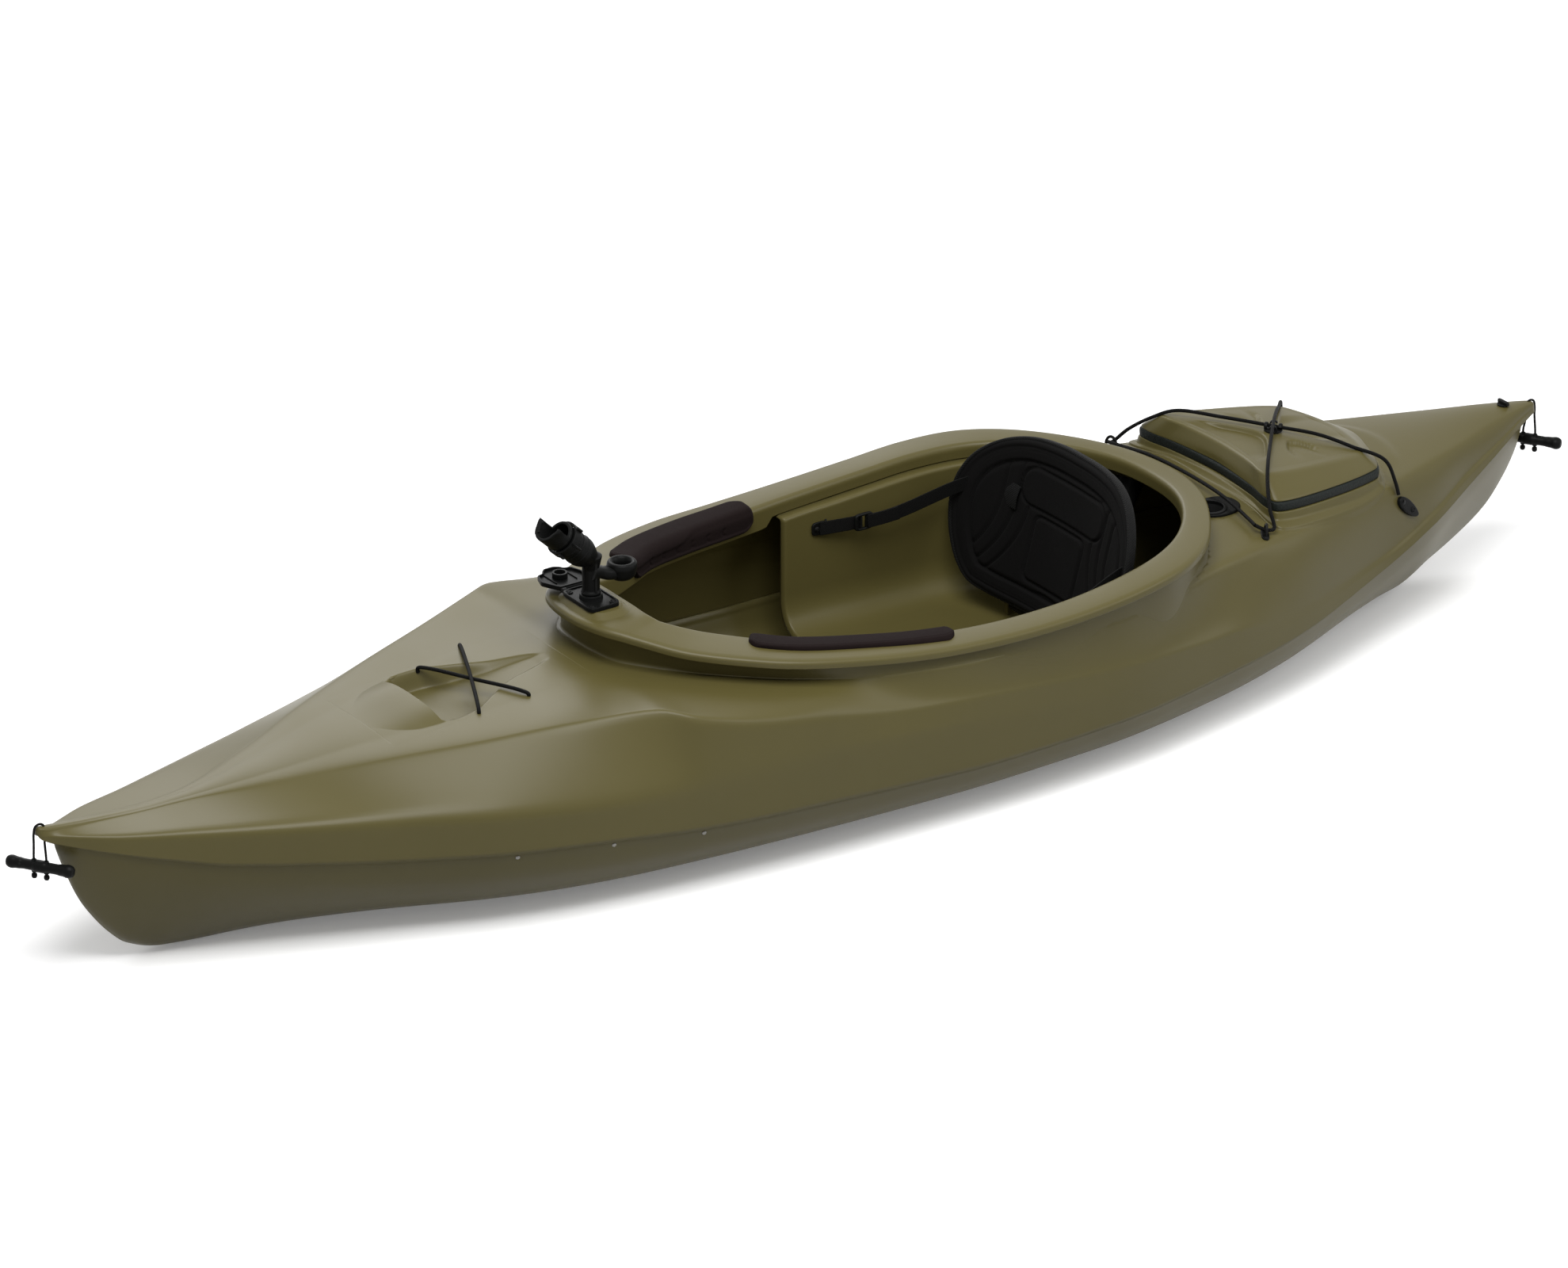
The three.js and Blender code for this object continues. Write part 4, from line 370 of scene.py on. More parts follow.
def loop_height(table, column, at):
    """Heights of a half table and its mirror image, on the same closed curve."""
    port = table[:, column] * deck_height()
    both = np.concatenate([port, port[1:-1][::-1]])
    n = len(both)
    place = np.asarray(at) * n
    k = np.floor(place).astype(int)
    w = place - k
    a, b, c, d = (both[(k + i) % n] for i in (-1, 0, 1, 2))
    return b + 0.5 * w * (c - a + w * (2 * a - 5 * b + 4 * c - d + w * (3 * (b - c) + d - a)))


def rounded(corners, radii, steps=5):
    """Each corner of the polygons in corners (rings, corners, axes) becomes a quadratic curve that starts and
    ends its radius away from it along the two edges."""
    before, after = np.roll(corners, 1, axis=1), np.roll(corners, -1, axis=1)
    radii = np.asarray(radii, float)[..., None]

    def towards(other):
        gap = other - corners
        length = np.linalg.norm(gap, axis=-1, keepdims=True)
        return corners + gap * np.minimum(radii / np.maximum(length, 1e-9), 0.49)

    s = np.linspace(0, 1, steps)[:, None]
    start, end = towards(before)[:, :, None], towards(after)[:, :, None]
    bent = (1 - s) ** 2 * start + 2 * s * (1 - s) * corners[:, :, None] + s**2 * end
    return bent.reshape(len(corners), -1, corners.shape[-1])


# Meshes


def shell_of(points, around=False, along=False, poles=(), keep=None):
    """A grid of points (rows, columns, 3) as vertices, faces and UVs in metres. around joins the last column to
    the first, along the last row to the first, and poles close the first or last row about its middle."""
    rows, columns = points.shape[:2]
    down, across = rows if along else rows - 1, columns if around else columns - 1
    r, c = np.meshgrid(np.arange(down), np.arange(across), indexing="ij")
    if keep is not None:
        r, c = r[keep], c[keep]
    r, c = r.ravel(), c.ravel()
    r2, c2 = r + 1, c + 1
    corners = ((r, c), (r, c2), (r2, c2), (r2, c))
    faces = np.stack([(row % rows) * columns + column % columns for row, column in corners], -1)
    v = running(np.linalg.norm(np.diff(points, axis=0, append=points[:1]), axis=-1).mean(1))
    u = running(np.linalg.norm(np.diff(points, axis=1, append=points[:, :1]), axis=-1).mean(0))
    uv = np.stack([np.stack([u[column], v[row]], -1) for row, column in corners], 1)
    vertices = points.reshape(-1, 3)
    triangles, corner_uv = [], []
    for pole in poles:
        row = 0 if pole == "first" else rows - 1
        ring = row * columns + np.arange(columns)
        centre = np.full(columns, len(vertices))
        vertices = np.vstack([vertices, points[row].mean(0)])
        fan = [ring, centre, np.roll(ring, -1)] if row == 0 else [centre, ring, np.roll(ring, -1)]
        triangles.append(np.stack(fan, -1))
        flat = (points[row] - points[row].mean(0))[:, :2]
        near = np.roll(flat, -1, axis=0)
        blank = np.zeros_like(flat)
        order = [flat, blank, near] if row == 0 else [blank, flat, near]
        corner_uv.append(np.stack(order, 1))
    return vertices, [faces, *triangles], [uv, *corner_uv]


def mesh_from(name, shells):
    """One mesh from several shells, with a UV map in metres."""
    vertices, faces, uvs, base = [], [], [], 0
    for points, groups, maps in shells:
        vertices.append(points)
        for group, chart in zip(groups, maps):
            faces.extend((group + base).tolist())
            uvs.append(chart.reshape(-1, 2))
        base += len(points)
    mesh = bpy.data.meshes.new(name)
    mesh.from_pydata(np.vstack(vertices).tolist(), [], faces)
    layer = mesh.uv_layers.new(name="Metres")
    layer.data.foreach_set("uv", np.vstack(uvs).astype(np.float32).ravel())
    mesh.update()
    return mesh


def weld(mesh, distance=1e-6, outwards=True):
    """Merges doubled points and turns the faces of closed shells outwards."""
    work = bmesh.new()
    work.from_mesh(mesh)
    bmesh.ops.remove_doubles(work, verts=work.verts, dist=distance)
    bmesh.ops.dissolve_degenerate(work, edges=work.edges, dist=distance / 2)
    if outwards:
        bmesh.ops.recalc_face_normals(work, faces=work.faces)
    work.to_mesh(mesh)
    work.free()


def face_along(mesh, direction):
    """Turns an open sheet so that its faces look along a direction on the whole."""
    normals = np.zeros(len(mesh.polygons) * 3)
    areas = np.zeros(len(mesh.polygons))
    mesh.polygons.foreach_get("normal", normals)
    mesh.polygons.foreach_get("area", areas)
    if (normals.reshape(-1, 3) @ np.array(direction) * areas).sum() < 0:
        mesh.flip_normals()


def publish(name, shells, material, body, slot, stands_for=(), sheet=None, weighted=True, angle=None):
    """Puts shells into the scene as one piece with its finish and body; slot is not used. sheet gives an open
    surface that faces along its direction a thickness behind its faces, and angle keeps sharper edges than it
    crisp. A piece without a body gets no parent."""
    mesh = mesh_from(name, shells)
    weld(mesh, outwards=sheet is None)
    piece = bpy.data.objects.new(name, mesh)
    bpy.context.scene.collection.objects.link(piece)
    mesh.materials.append(bpy.data.materials[material])
    mesh.shade_smooth()
    if angle is not None:
        mesh.set_sharp_from_angle(angle=np.radians(angle))
    if sheet is not None:
        direction, thickness = sheet
        face_along(mesh, direction)
        wall = piece.modifiers.new("Wall", "SOLIDIFY")
        wall.thickness = thickness
        wall.offset = -1
        wall.use_even_offset = False
        wall.use_quality_normals = True
    if weighted:
        shading = piece.modifiers.new("Shading", "WEIGHTED_NORMAL")
        shading.keep_sharp = True
    if body:
        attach(piece, body)
    if stands_for:
        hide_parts(*stands_for)
    return piece


def moulded(name, shells, node, body="boat", **options):
    """A piece of olive plastic."""
    return publish(name, shells, "Olive shell", body, "hull_plastic", [node], **options)


def fitting(name, shells, node, body="boat", angle=45):
    """A piece of black nylon."""
    return publish(name, shells, "Black nylon", body, "black_plastic", [node], angle=angle)


def basis(up, ahead=(1, 0, 0)):
    """Rows that turn local x, y, z into a frame whose z is up and whose x leans towards ahead."""
    z = np.asarray(up, float)
    z = z / np.linalg.norm(z)
    x = np.asarray(ahead, float) - np.dot(ahead, z) * z
    x = x / np.linalg.norm(x)
    return np.stack([x, np.cross(z, x), z])


def spin(degrees):
    """Rows that turn local x and y about z."""
    c, s = np.cos(np.radians(degrees)), np.sin(np.radians(degrees))
    return np.array([[c, s, 0], [-s, c, 0], [0, 0, 1]])


def placed(points, origin, turn=None):
    """Points turned by a basis and moved to an origin."""
    return (points if turn is None else points @ turn) + np.asarray(origin, float)


def lathe(profile, origin=(0, 0, 0), turn=None, radii=None, sides=48, steps=5, hole=False):
    """Surface of revolution: a profile of (radius, height) corners, rounded, carried round the local z axis.
    A profile with a hole is a closed loop; another starts and ends near the axis and is closed by poles."""
    profile = np.asarray(profile, float)
    if radii is not None:
        bent = rounded(profile[None], np.broadcast_to(radii, len(profile)), steps)[0]
        profile = bent if hole else bent[steps - 1 : len(bent) - steps + 1]
    angle = np.linspace(0, 2 * np.pi, sides, endpoint=False)[None]
    r, z = profile[:, :1], profile[:, 1:]
    grid = np.stack([r * np.cos(angle), r * np.sin(angle), z + 0 * angle], -1)
    return shell_of(placed(grid, origin, turn), around=True, along=hole, poles=() if hole else ("first", "last"))


def oval(length, width, power=2.0, count=64):
    """Superellipse |x/a|^n + |y/b|^n = 1 as points round its edge."""
    angle = np.linspace(0, 2 * np.pi, count, endpoint=False)
    turn = np.stack([np.cos(angle), np.sin(angle)], -1)
    return np.array([length / 2, width / 2]) * np.sign(turn) * np.abs(turn) ** (2 / power)


def plate(outline, low, high, edge, origin=(0, 0, 0), turn=None, steps=4, hole=None):
    """Flat plate from an outline: rings that step in by 1 - cos and rise by sin round each edge. With a hole
    outline of equal count the rings run on down its wall, else they close on poles."""
    outline = np.asarray(outline, float)
    middle = outline.mean(0)
    a = np.linspace(0, np.pi / 2, steps)

    def shrunk(line, inset):
        tangent = np.roll(line, -1, axis=0) - np.roll(line, 1, axis=0)
        normal = np.stack([tangent[:, 1], -tangent[:, 0]], -1)
        normal /= np.maximum(np.linalg.norm(normal, axis=1, keepdims=True), 1e-12)
        outward = np.sign(((line - middle) * normal).sum()) or 1
        return line - normal * outward * inset

    rings = [(shrunk(outline, edge * (1 - np.sin(t))), low + edge * (1 - np.cos(t))) for t in a]
    rings += [(shrunk(outline, edge * (1 - np.cos(t))), high - edge * (1 - np.sin(t))) for t in a]
    if hole is not None:
        rings += [(shrunk(hole, -edge * (1 - np.sin(t))), high - edge * (1 - np.cos(t))) for t in a]
        rings += [(shrunk(hole, -edge * (1 - np.cos(t))), low + edge * (1 - np.sin(t))) for t in a]
    grid = np.stack([np.column_stack([line, np.full(len(line), z)]) for line, z in rings])
    closed = hole is not None
    return shell_of(placed(grid, origin, turn), around=True, along=closed, poles=() if closed else ("first", "last"))


def swept(route, section, lean=(0.31, 0.17, 0.93), closed=False, scale=None):
    """A section (points, 2) carried along a route (stations, 3): its axes are the route's tangent crossed with a
    fixed leaning vector, and the cross of both."""
    route = np.asarray(route, float)
    tangent = np.gradient(route, axis=0)
    if closed:
        tangent = np.roll(route, -1, axis=0) - np.roll(route, 1, axis=0)
    tangent /= np.linalg.norm(tangent, axis=1, keepdims=True)
    side = np.cross(tangent, np.asarray(lean, float))
    side /= np.linalg.norm(side, axis=1, keepdims=True)
    rise = np.cross(side, tangent)
    grow = np.ones(len(route)) if scale is None else np.asarray(scale, float)
    offset = section[None, :, :1] * side[:, None] + section[None, :, 1:] * rise[:, None]
    grid = route[:, None] + offset * grow[:, None, None]
    return shell_of(grid, around=True, along=closed, poles=() if closed else ("first", "last"))


def carried(corners, steps):
    """Closed sections carried round a loop: pairs of a corner's places on it and its radius, rounded."""
    points = np.stack([places for places, _ in corners], axis=1)
    radii = np.stack([np.broadcast_to(radius, len(points)) for _, radius in corners], axis=1)
    return shell_of(rounded(points, radii, steps), around=True, along=True)


# Sections of the boat


def deck_section(x):
    """Port half sections of the deck (stations, points, 2), seam to centre line: straight side wall and lean,
    a quadratic curve over the shoulder, hollow beside the cockpit and full elsewhere, and a parabola to the
    crown, with creases eased by a running mean."""
    at = station_share(x)
    seam, wall, ridge, brow = (
        np.stack([breadth_of(OFFSETS, c, at), height_of(OFFSETS, c + 1, at)], -1)[:, None]
        for c in (1, 3, 5, 7)
    )
    crown = height_of(OFFSETS, 9, at)[:, None]
    hollow = (smooth((0.17 - at) / 0.15) * smooth((at + 0.56) / 0.2))[:, None]
    out, rise = mix(0.8, 0.3, hollow), mix(0.84, 0.22, hollow)
    turn = np.stack([mix(brow[..., 0], ridge[..., 0], out), mix(ridge[..., 1], brow[..., 1], rise)], -1)

    def span(count):
        return np.linspace(0, 1, count + 1)[None, 1:, None]

    side = mix(seam, wall, span(9))
    lean = mix(wall, ridge, span(9))
    t = span(18)
    shoulder = (1 - t) ** 2 * ridge + 2 * t * (1 - t) * turn + t**2 * brow
    t = span(20)[..., 0]
    top = np.stack([brow[..., 0] * (1 - t), crown - (crown - brow[..., 1]) * (1 - t) ** 2], -1)
    points = np.concatenate([seam, side, lean, shoulder, top], axis=1)
    for share in (1.0, 1.0 - 0.9 * hollow[..., None]):
        points[:, 2:-1] += share * (points[:, 1:-2] - 2 * points[:, 2:-1] + points[:, 3:]) / 4
    return points


def deck_top(x, y):
    """Height of the deck over points in plan, read along the section through each."""
    x, y = np.broadcast_arrays(np.asarray(x, float), np.asarray(y, float))
    flat_x, flat_y = x.ravel(), np.abs(y.ravel())
    points = deck_section(flat_x)
    breadth, height = points[..., 0], points[..., 1]
    k = np.clip((breadth > flat_y[:, None]).sum(1) - 1, 0, breadth.shape[1] - 2)
    row = np.arange(len(flat_x))
    t = (breadth[row, k] - flat_y) / np.maximum(breadth[row, k] - breadth[row, k + 1], 1e-9)
    return (height[row, k] + np.clip(t, 0, 1) * (height[row, k + 1] - height[row, k])).reshape(x.shape)


def deck_side(x, z):
    """Half-breadth of the deck at a height."""
    points = deck_section(np.atleast_1d(np.asarray(x, float)))[0]
    return float(np.interp(z, points[:, 1], points[:, 0]))


def slopes(surface, u, v, reach=0.004):
    """Central differences of a surface over its two coordinates."""
    return (
        float(surface(u + reach, v) - surface(u - reach, v)) / (2 * reach),
        float(surface(u, v + reach) - surface(u, v - reach)) / (2 * reach),
    )


def deck_normal(x, y):
    """Upward normal of the deck."""
    dx, dy = slopes(deck_top, x, y)
    return np.array([-dx, -dy, 1.0])


def side_normal(x, z):
    """Outward normal of the port side."""
    dx, dz = slopes(deck_side, x, z)
    return np.array([-dx, 1.0, -dz])


def hull_shares(at):
    """Hull's half sections as shares (stations, points, 2), drawn from the mid-length one into the ends' one."""
    t = np.linspace(0, 1, 46)
    end = np.asarray(smooth((np.abs(at) - 0.35) / 0.65))[..., None, None]
    return mix(curve_through(MID_SECTION, t), curve_through(END_SECTION, t), end)


def hull_side(x, z):
    """Half-breadth of the hull's outside at a height, from the same sections as its sheet."""
    at = station_share(x)
    shares = hull_shares(at)
    keel, seam = height_of(KEEL, 1, at), height_of(OFFSETS, 2, at)
    return float(np.interp(z, mix(keel, seam, shares[:, 1]), shares[:, 0] * (breadth_of(OFFSETS, 1, at) - LAP)))


def stations(count):
    """Stations that crowd towards the ends: a mix of an even run and a sine."""
    s = np.linspace(-1, 1, count)
    return mix(s, np.sin(s * np.pi / 2), 0.6) * half_length()


def whole(half):
    """A port half section (stations, points, 2) and its mirror image."""
    return np.concatenate([half, half[:, -2::-1] * [-1, 1]], axis=1)


def at_stations(x, section):
    """Sections (stations, points, 2) with their stations in front."""
    return np.concatenate([np.broadcast_to(x[:, None, None], (*section.shape[:2], 1)), section], -1)


def inside(points, outline):
    """Which points in plan lie inside an outline, by counting crossings of its edges."""
    x, y = points[..., 0].ravel(), points[..., 1].ravel()
    a, b = outline, np.roll(outline, -1, axis=0)
    rises = (a[:, 1][:, None] > y) != (b[:, 1][:, None] > y)
    span = np.where(np.abs(b[:, 1] - a[:, 1]) < 1e-12, 1e-12, b[:, 1] - a[:, 1])
    cross = a[:, 0][:, None] + (y - a[:, 1][:, None]) * ((b[:, 0] - a[:, 0]) / span)[:, None]
    return ((rises & (x < cross)).sum(0) % 2 == 1).reshape(points.shape[:-1])


def placing(edge, outward):
    """Gives the function place(distance outward, height) for sections along an edge."""

    def place(distance, height):
        flat = edge + outward * np.broadcast_to(distance, len(edge))[:, None]
        return np.column_stack([flat, np.broadcast_to(height, len(edge))])

    return place


def rim_frame(at):
    """Round the cockpit: the sections' place function, the rim's width, the skirt's foot, the outward direction
    and the rim's height."""
    inner, outer, foot = (loop_through(COCKPIT, columns, at) for columns in ([0, 1], [2, 3], [4, 5]))
    width, outward = unit(outer - inner)
    return placing(inner, outward), width, foot, outward, loop_height(COCKPIT, 6, at)


HATCH_FRONT, HATCH_BACK = HATCH[0, 0], HATCH[-1, 0]


def along_hatch(x):
    """Share of the way from the hatch's front to its back."""
    return (HATCH_FRONT * half_length() - x) / ((HATCH_FRONT - HATCH_BACK) * half_length())


def land_height(x):
    """Height of the land under the gasket, which falls evenly towards the stern."""
    return mix(0.955, 0.9, along_hatch(x)) * deck_height()


def lid_top(x):
    """Height of the lid's top before its crown, which falls evenly towards the stern."""
    return mix(1.112, 1.0, along_hatch(x)) * deck_height()


def hatch_frame(at):
    """Round the hatch: the sections' place function, the wall's run, the edge, the outward direction and the
    width of the step in the land."""
    edge, top = loop_through(HATCH, [0, 1], at), loop_through(HATCH, [2, 3], at)
    slope, outward = unit(edge - top)
    return placing(edge, outward), slope, edge, outward, mix(22, 9, along_hatch(edge[:, 0])) * MM


# Finishes

FLOAT = "NodeSocketFloat"


def group_of(name, inputs, outputs, fill):
    """A shader node group with named number inputs and named outputs, filled by a function."""
    tree = bpy.data.node_groups.new(name, "ShaderNodeTree")
    for label, value in inputs:
        socket = tree.interface.new_socket(label, in_out="INPUT", socket_type=FLOAT)
        socket.default_value = value
    for label, kind in outputs:
        tree.interface.new_socket(label, in_out="OUTPUT", socket_type=kind)
    fill(tree, tree.nodes.new("NodeGroupInput"), tree.nodes.new("NodeGroupOutput"))
    return tree


def add_node(tree, kind, links=(), **values):
    """A node with its settings, its plain input values by name and its links."""
    node = tree.nodes.new(kind)
    for key, value in values.items():
        if hasattr(node, key):
            setattr(node, key, value)
        else:
            node.inputs[key.replace("_", " ")].default_value = value
    for socket, source in links:
        tree.links.new(source, node.inputs[socket])
    return node


def math_node(tree, operation, first, second=None, clamp=False):
    """A math node whose inputs are sockets or numbers; gives its output."""
    node = tree.nodes.new("ShaderNodeMath")
    node.operation = operation
    node.use_clamp = clamp
    for i, value in enumerate((first, second)):
        if value is None:
            continue
        if isinstance(value, (int, float)):
            node.inputs[i].default_value = value
        else:
            tree.links.new(value, node.inputs[i])
    return node.outputs[0]


def fill_grain(tree, given, result):
    """Formed plastic: broad faint clouds in tone, and the fine pebble that a mould leaves in the surface."""
    place = add_node(tree, "ShaderNodeTexCoord").outputs["Object"]
    for scale, detail, output in (("Cloud Scale", 3.0, "Tone"), ("Grain Scale", 2.0, "Height")):
        links = [("Vector", place), ("Scale", given.outputs[scale])]
        noise = add_node(tree, "ShaderNodeTexNoise", links, Detail=detail)
        tree.links.new(noise.outputs["Fac"], result.inputs[output])


def fill_edge_highlight(tree, given, result):
    """Painted highlight on sharp edges: the surface's pointedness above a threshold, broken up by noise."""
    point = add_node(tree, "ShaderNodeNewGeometry").outputs["Pointiness"]
    place = add_node(tree, "ShaderNodeTexCoord").outputs["Object"]
    patches = add_node(tree, "ShaderNodeTexNoise", [("Vector", place)], Scale=45.0, Detail=3.0)
    over = math_node(tree, "SUBTRACT", point, given.outputs["Threshold"])
    scaled = math_node(tree, "MULTIPLY", over, given.outputs["Sharpness"], clamp=True)
    tree.links.new(math_node(tree, "MULTIPLY", scaled, patches.outputs["Fac"]), result.inputs["Mask"])


def fill_weave(tree, given, result):
    """Plain weave on the UV map: the sines of both thread directions, each over where the other goes under."""
    chart = add_node(tree, "ShaderNodeUVMap", uv_map="Metres").outputs["UV"]
    split = add_node(tree, "ShaderNodeSeparateXYZ", [("Vector", chart)])
    turns = math_node(tree, "DIVIDE", 3.14159, given.outputs["Thread"])
    across = math_node(tree, "SINE", math_node(tree, "MULTIPLY", split.outputs["X"], turns))
    down = math_node(tree, "SINE", math_node(tree, "MULTIPLY", split.outputs["Y"], turns))
    over = math_node(tree, "MULTIPLY", across, down)
    height = math_node(tree, "MULTIPLY_ADD", over, 0.5)
    height.node.inputs[2].default_value = 0.5
    tree.links.new(height, result.inputs["Height"])
    fuzz = add_node(tree, "ShaderNodeTexNoise", [("Vector", chart)], Scale=60.0, Detail=4.0)
    tree.links.new(fuzz.outputs["Fac"], result.inputs["Tone"])


def fill_braid(tree, given, result):
    """Braided sleeve on the UV map: two families of slanted strands, one each way round the cord."""
    chart = add_node(tree, "ShaderNodeUVMap", uv_map="Metres").outputs["UV"]
    split = add_node(tree, "ShaderNodeSeparateXYZ", [("Vector", chart)])
    turns = math_node(tree, "DIVIDE", 6.28318, given.outputs["Pitch"])
    one, two = (
        math_node(tree, "SINE", math_node(tree, "MULTIPLY", math_node(tree, way, *split.outputs[:2]), turns))
        for way in ("ADD", "SUBTRACT")
    )
    tree.links.new(math_node(tree, "MAXIMUM", one, two), result.inputs["Height"])
    tree.links.new(math_node(tree, "MULTIPLY", one, two, clamp=True), result.inputs["Tone"])


def make_groups():
    """The shared effects: moulded grain, painted highlight on sharp edges, weave and braid."""
    texture = [("Tone", FLOAT), ("Height", FLOAT)]
    group_of("Moulded Grain", [("Cloud Scale", 6.0), ("Grain Scale", 900.0)], texture, fill_grain)
    group_of("Rubbed Edges", [("Threshold", 0.52), ("Sharpness", 12.0)], [("Mask", FLOAT)], fill_edge_highlight)
    group_of("Plain Weave", [("Thread", 0.0009)], texture, fill_weave)
    group_of("Braid", [("Pitch", 0.0032)], texture, fill_braid)


def make_finish(
    name, colour, roughness, group, bump, depth, edge_highlight=0.0, vary=0.12, sheen=0.0, metal=0.0, specular=0.5, **settings
):
    """A material: its colour drifts with the group's tone and lightens on sharp edges as a painted highlight, and the
    group's height drives a bump of a given strength and depth."""
    material = bpy.data.materials.new(name)
    material.use_nodes = True
    tree = material.node_tree
    shader = tree.nodes["Principled BSDF"]
    effect = tree.nodes.new("ShaderNodeGroup")
    effect.node_tree = bpy.data.node_groups[group]
    for key, value in settings.items():
        effect.inputs[key.replace("_", " ")].default_value = value
    drift = add_node(tree, "ShaderNodeMix", [("Factor", effect.outputs["Tone"])], data_type="RGBA")
    for socket, share in (("A", 1 - vary), ("B", 1 + vary)):
        drift.inputs[socket].default_value = [c * share for c in colour] + [1]
    shade = drift.outputs["Result"]
    # Painted highlight: sharp edges get a lighter colour than the base.
    if edge_highlight:
        edge = tree.nodes.new("ShaderNodeGroup")
        edge.node_tree = bpy.data.node_groups["Rubbed Edges"]
        highlighted = add_node(tree, "ShaderNodeMix", [("Factor", edge.outputs["Mask"]), ("A", shade)], data_type="RGBA")
        highlighted.inputs["B"].default_value = [min(1, c * (1 + edge_highlight) + 0.01) for c in colour] + [1]
        shade = highlighted.outputs["Result"]
    tree.links.new(shade, shader.inputs["Base Color"])
    tone = [("Value", effect.outputs["Tone"])]
    rough = add_node(tree, "ShaderNodeMapRange", tone, To_Min=roughness - 0.05, To_Max=roughness + 0.05)
    tree.links.new(rough.outputs["Result"], shader.inputs["Roughness"])
    relief = add_node(tree, "ShaderNodeBump", [("Height", effect.outputs["Height"])], Strength=bump, Distance=depth)
    tree.links.new(relief.outputs["Normal"], shader.inputs["Normal"])
    for socket, value in (("Metallic", metal), ("Specular IOR Level", specular), ("Sheen Weight", sheen)):
        shader.inputs[socket].default_value = value
    if sheen:
        shader.inputs["Sheen Roughness"].default_value = 0.5
    return material


def make_finishes():
    """Every finish of the boat."""
    colours = bpy.context.scene.kayak_colours
    # The shell and the black nylon lighten on sharp edges as a painted highlight.
    make_finish("Olive shell", colours.shell, 0.37, "Moulded Grain", 0.12, 0.0002, edge_highlight=0.35, vary=0.05, specular=0.22)
    make_finish(
        "Black nylon", colours.fitting, 0.4, "Moulded Grain", 0.3, 0.0002, edge_highlight=2.0, specular=0.07, Grain_Scale=1500.0,
        Cloud_Scale=30.0,
    )
    make_finish("Foam cloth", colours.foam, 0.8, "Plain Weave", 0.5, 0.0004, sheen=0.008, specular=0.04, Thread=0.0011)
    make_finish("Pad cloth", colours.pad, 0.75, "Plain Weave", 0.5, 0.0004, sheen=0.004, specular=0.04, Thread=0.001)
    make_finish("Webbing", colours.cord, 0.7, "Plain Weave", 0.9, 0.0006, sheen=0.01, specular=0.08, Thread=0.0018)
    make_finish(
        "Binding", colours.cord, 0.65, "Plain Weave", 0.9, 0.0008, sheen=0.015, vary=0.5, specular=0.08, Thread=0.0024
    )
    make_finish("Elastic cord", colours.cord, 0.6, "Braid", 0.8, 0.0005, vary=0.3, specular=0.08, Pitch=0.0034)
    make_finish(
        "Cell rubber", colours.gasket, 0.55, "Moulded Grain", 0.9, 0.0012, vary=0.6, specular=0.14, Cloud_Scale=260.0,
        Grain_Scale=420.0,
    )
    make_finish("Stainless steel", colours.steel, 0.35, "Moulded Grain", 0.1, 0.0001, metal=1.0, Grain_Scale=1200.0)


# Hull and deck


def snapped(grid, cells, outline):
    """Moves the points between kept and dropped cells onto the nearest point of an outline, so a hole cut in
    a grid has a clean edge."""
    touch = np.zeros((2, *grid.shape[:2]), bool)
    for flag, state in enumerate((cells, ~cells)):
        for i in (0, 1):
            for j in (0, 1):
                touch[flag, i : i + cells.shape[0], j : j + cells.shape[1]] |= state
    edge = touch.all(0)
    points = grid[edge]
    gap = np.linalg.norm(points[:, None, :2] - outline[None], axis=-1)
    nearest = outline[gap.argmin(1)]
    grid[edge] = np.column_stack([nearest, deck_top(nearest[:, 0], nearest[:, 1])])
    return grid


def ring_shares(count):
    """Even shares of the way round a loop."""
    return np.linspace(0, 1, count, endpoint=False)


def recess_outline():
    """Border of the foredeck patch in plan, well outside the recess and its hood: aft, fore and half-breadth."""
    return np.array([0.352, 0.592, 0.262]) * [half_length(), half_length(), half_beam()]


def build_deck():
    """Deck sheet: sections along the boat, open where the cockpit, the hatch, the foredeck patch and the rod
    tubes come through, with its ends rounded in over a nose and a low pad's round edge behind the hatch."""
    full = half_length() - NOSE
    turn = np.linspace(0, np.pi / 2, 6)[1:]
    ahead = full + NOSE * np.sin(turn)
    x = np.concatenate([-ahead[::-1], np.clip(stations(size("stations")), -full, full), ahead])
    section = whole(deck_section(x))
    shrink = np.cos(np.concatenate([turn[::-1], np.zeros(size("stations")), turn]))[:, None, None] * 0.999 + 0.001
    middle = (section.max(1, keepdims=True) + section.min(1, keepdims=True)) / 2
    section = middle + (section - middle) * shrink
    grid = at_stations(x, section)
    away = np.hypot(grid[..., 0] - PAD_CENTRE, grid[..., 1])
    pad = smooth((0.184 - away) / 0.014) * smooth((away - 0.13) / 0.04) * smooth((0.12 - np.abs(grid[..., 1])) / 0.05)
    grid[..., 2] += PAD_RISE * pad * (grid[..., 0] < PAD_FRONT)
    flat = grid[..., :2]
    centre = (flat[1:, 1:] + flat[:-1, 1:] + flat[1:, :-1] + flat[:-1, :-1]) / 4
    dense = ring_shares(700)
    _, _, foot, outward, _ = rim_frame(dense)
    outlines = [foot - outward * TUCK]
    _, _, edge, outward, step = hatch_frame(dense)
    outlines.append(edge + outward * (step - TUCK)[:, None])
    for _, side in SIDES:
        outlines.append(oval(0.056, 0.05, 2, 240) + [ROD_TUBE[0] + 0.013, ROD_TUBE[1] * side])
    keep = np.ones(centre.shape[:2], bool)
    for outline in outlines:
        gone = inside(centre, outline)
        keep &= ~gone
        grid = snapped(grid, ~gone, outline)
    low, high, breadth = recess_outline()
    patch = (centre[..., 0] > low) & (centre[..., 0] < high) & (np.abs(centre[..., 1]) < breadth)
    keep &= ~patch
    moulded("deck_sheet", [shell_of(grid, keep=keep)], "deck_shell", sheet=(UP, size("wall")), weighted=False)


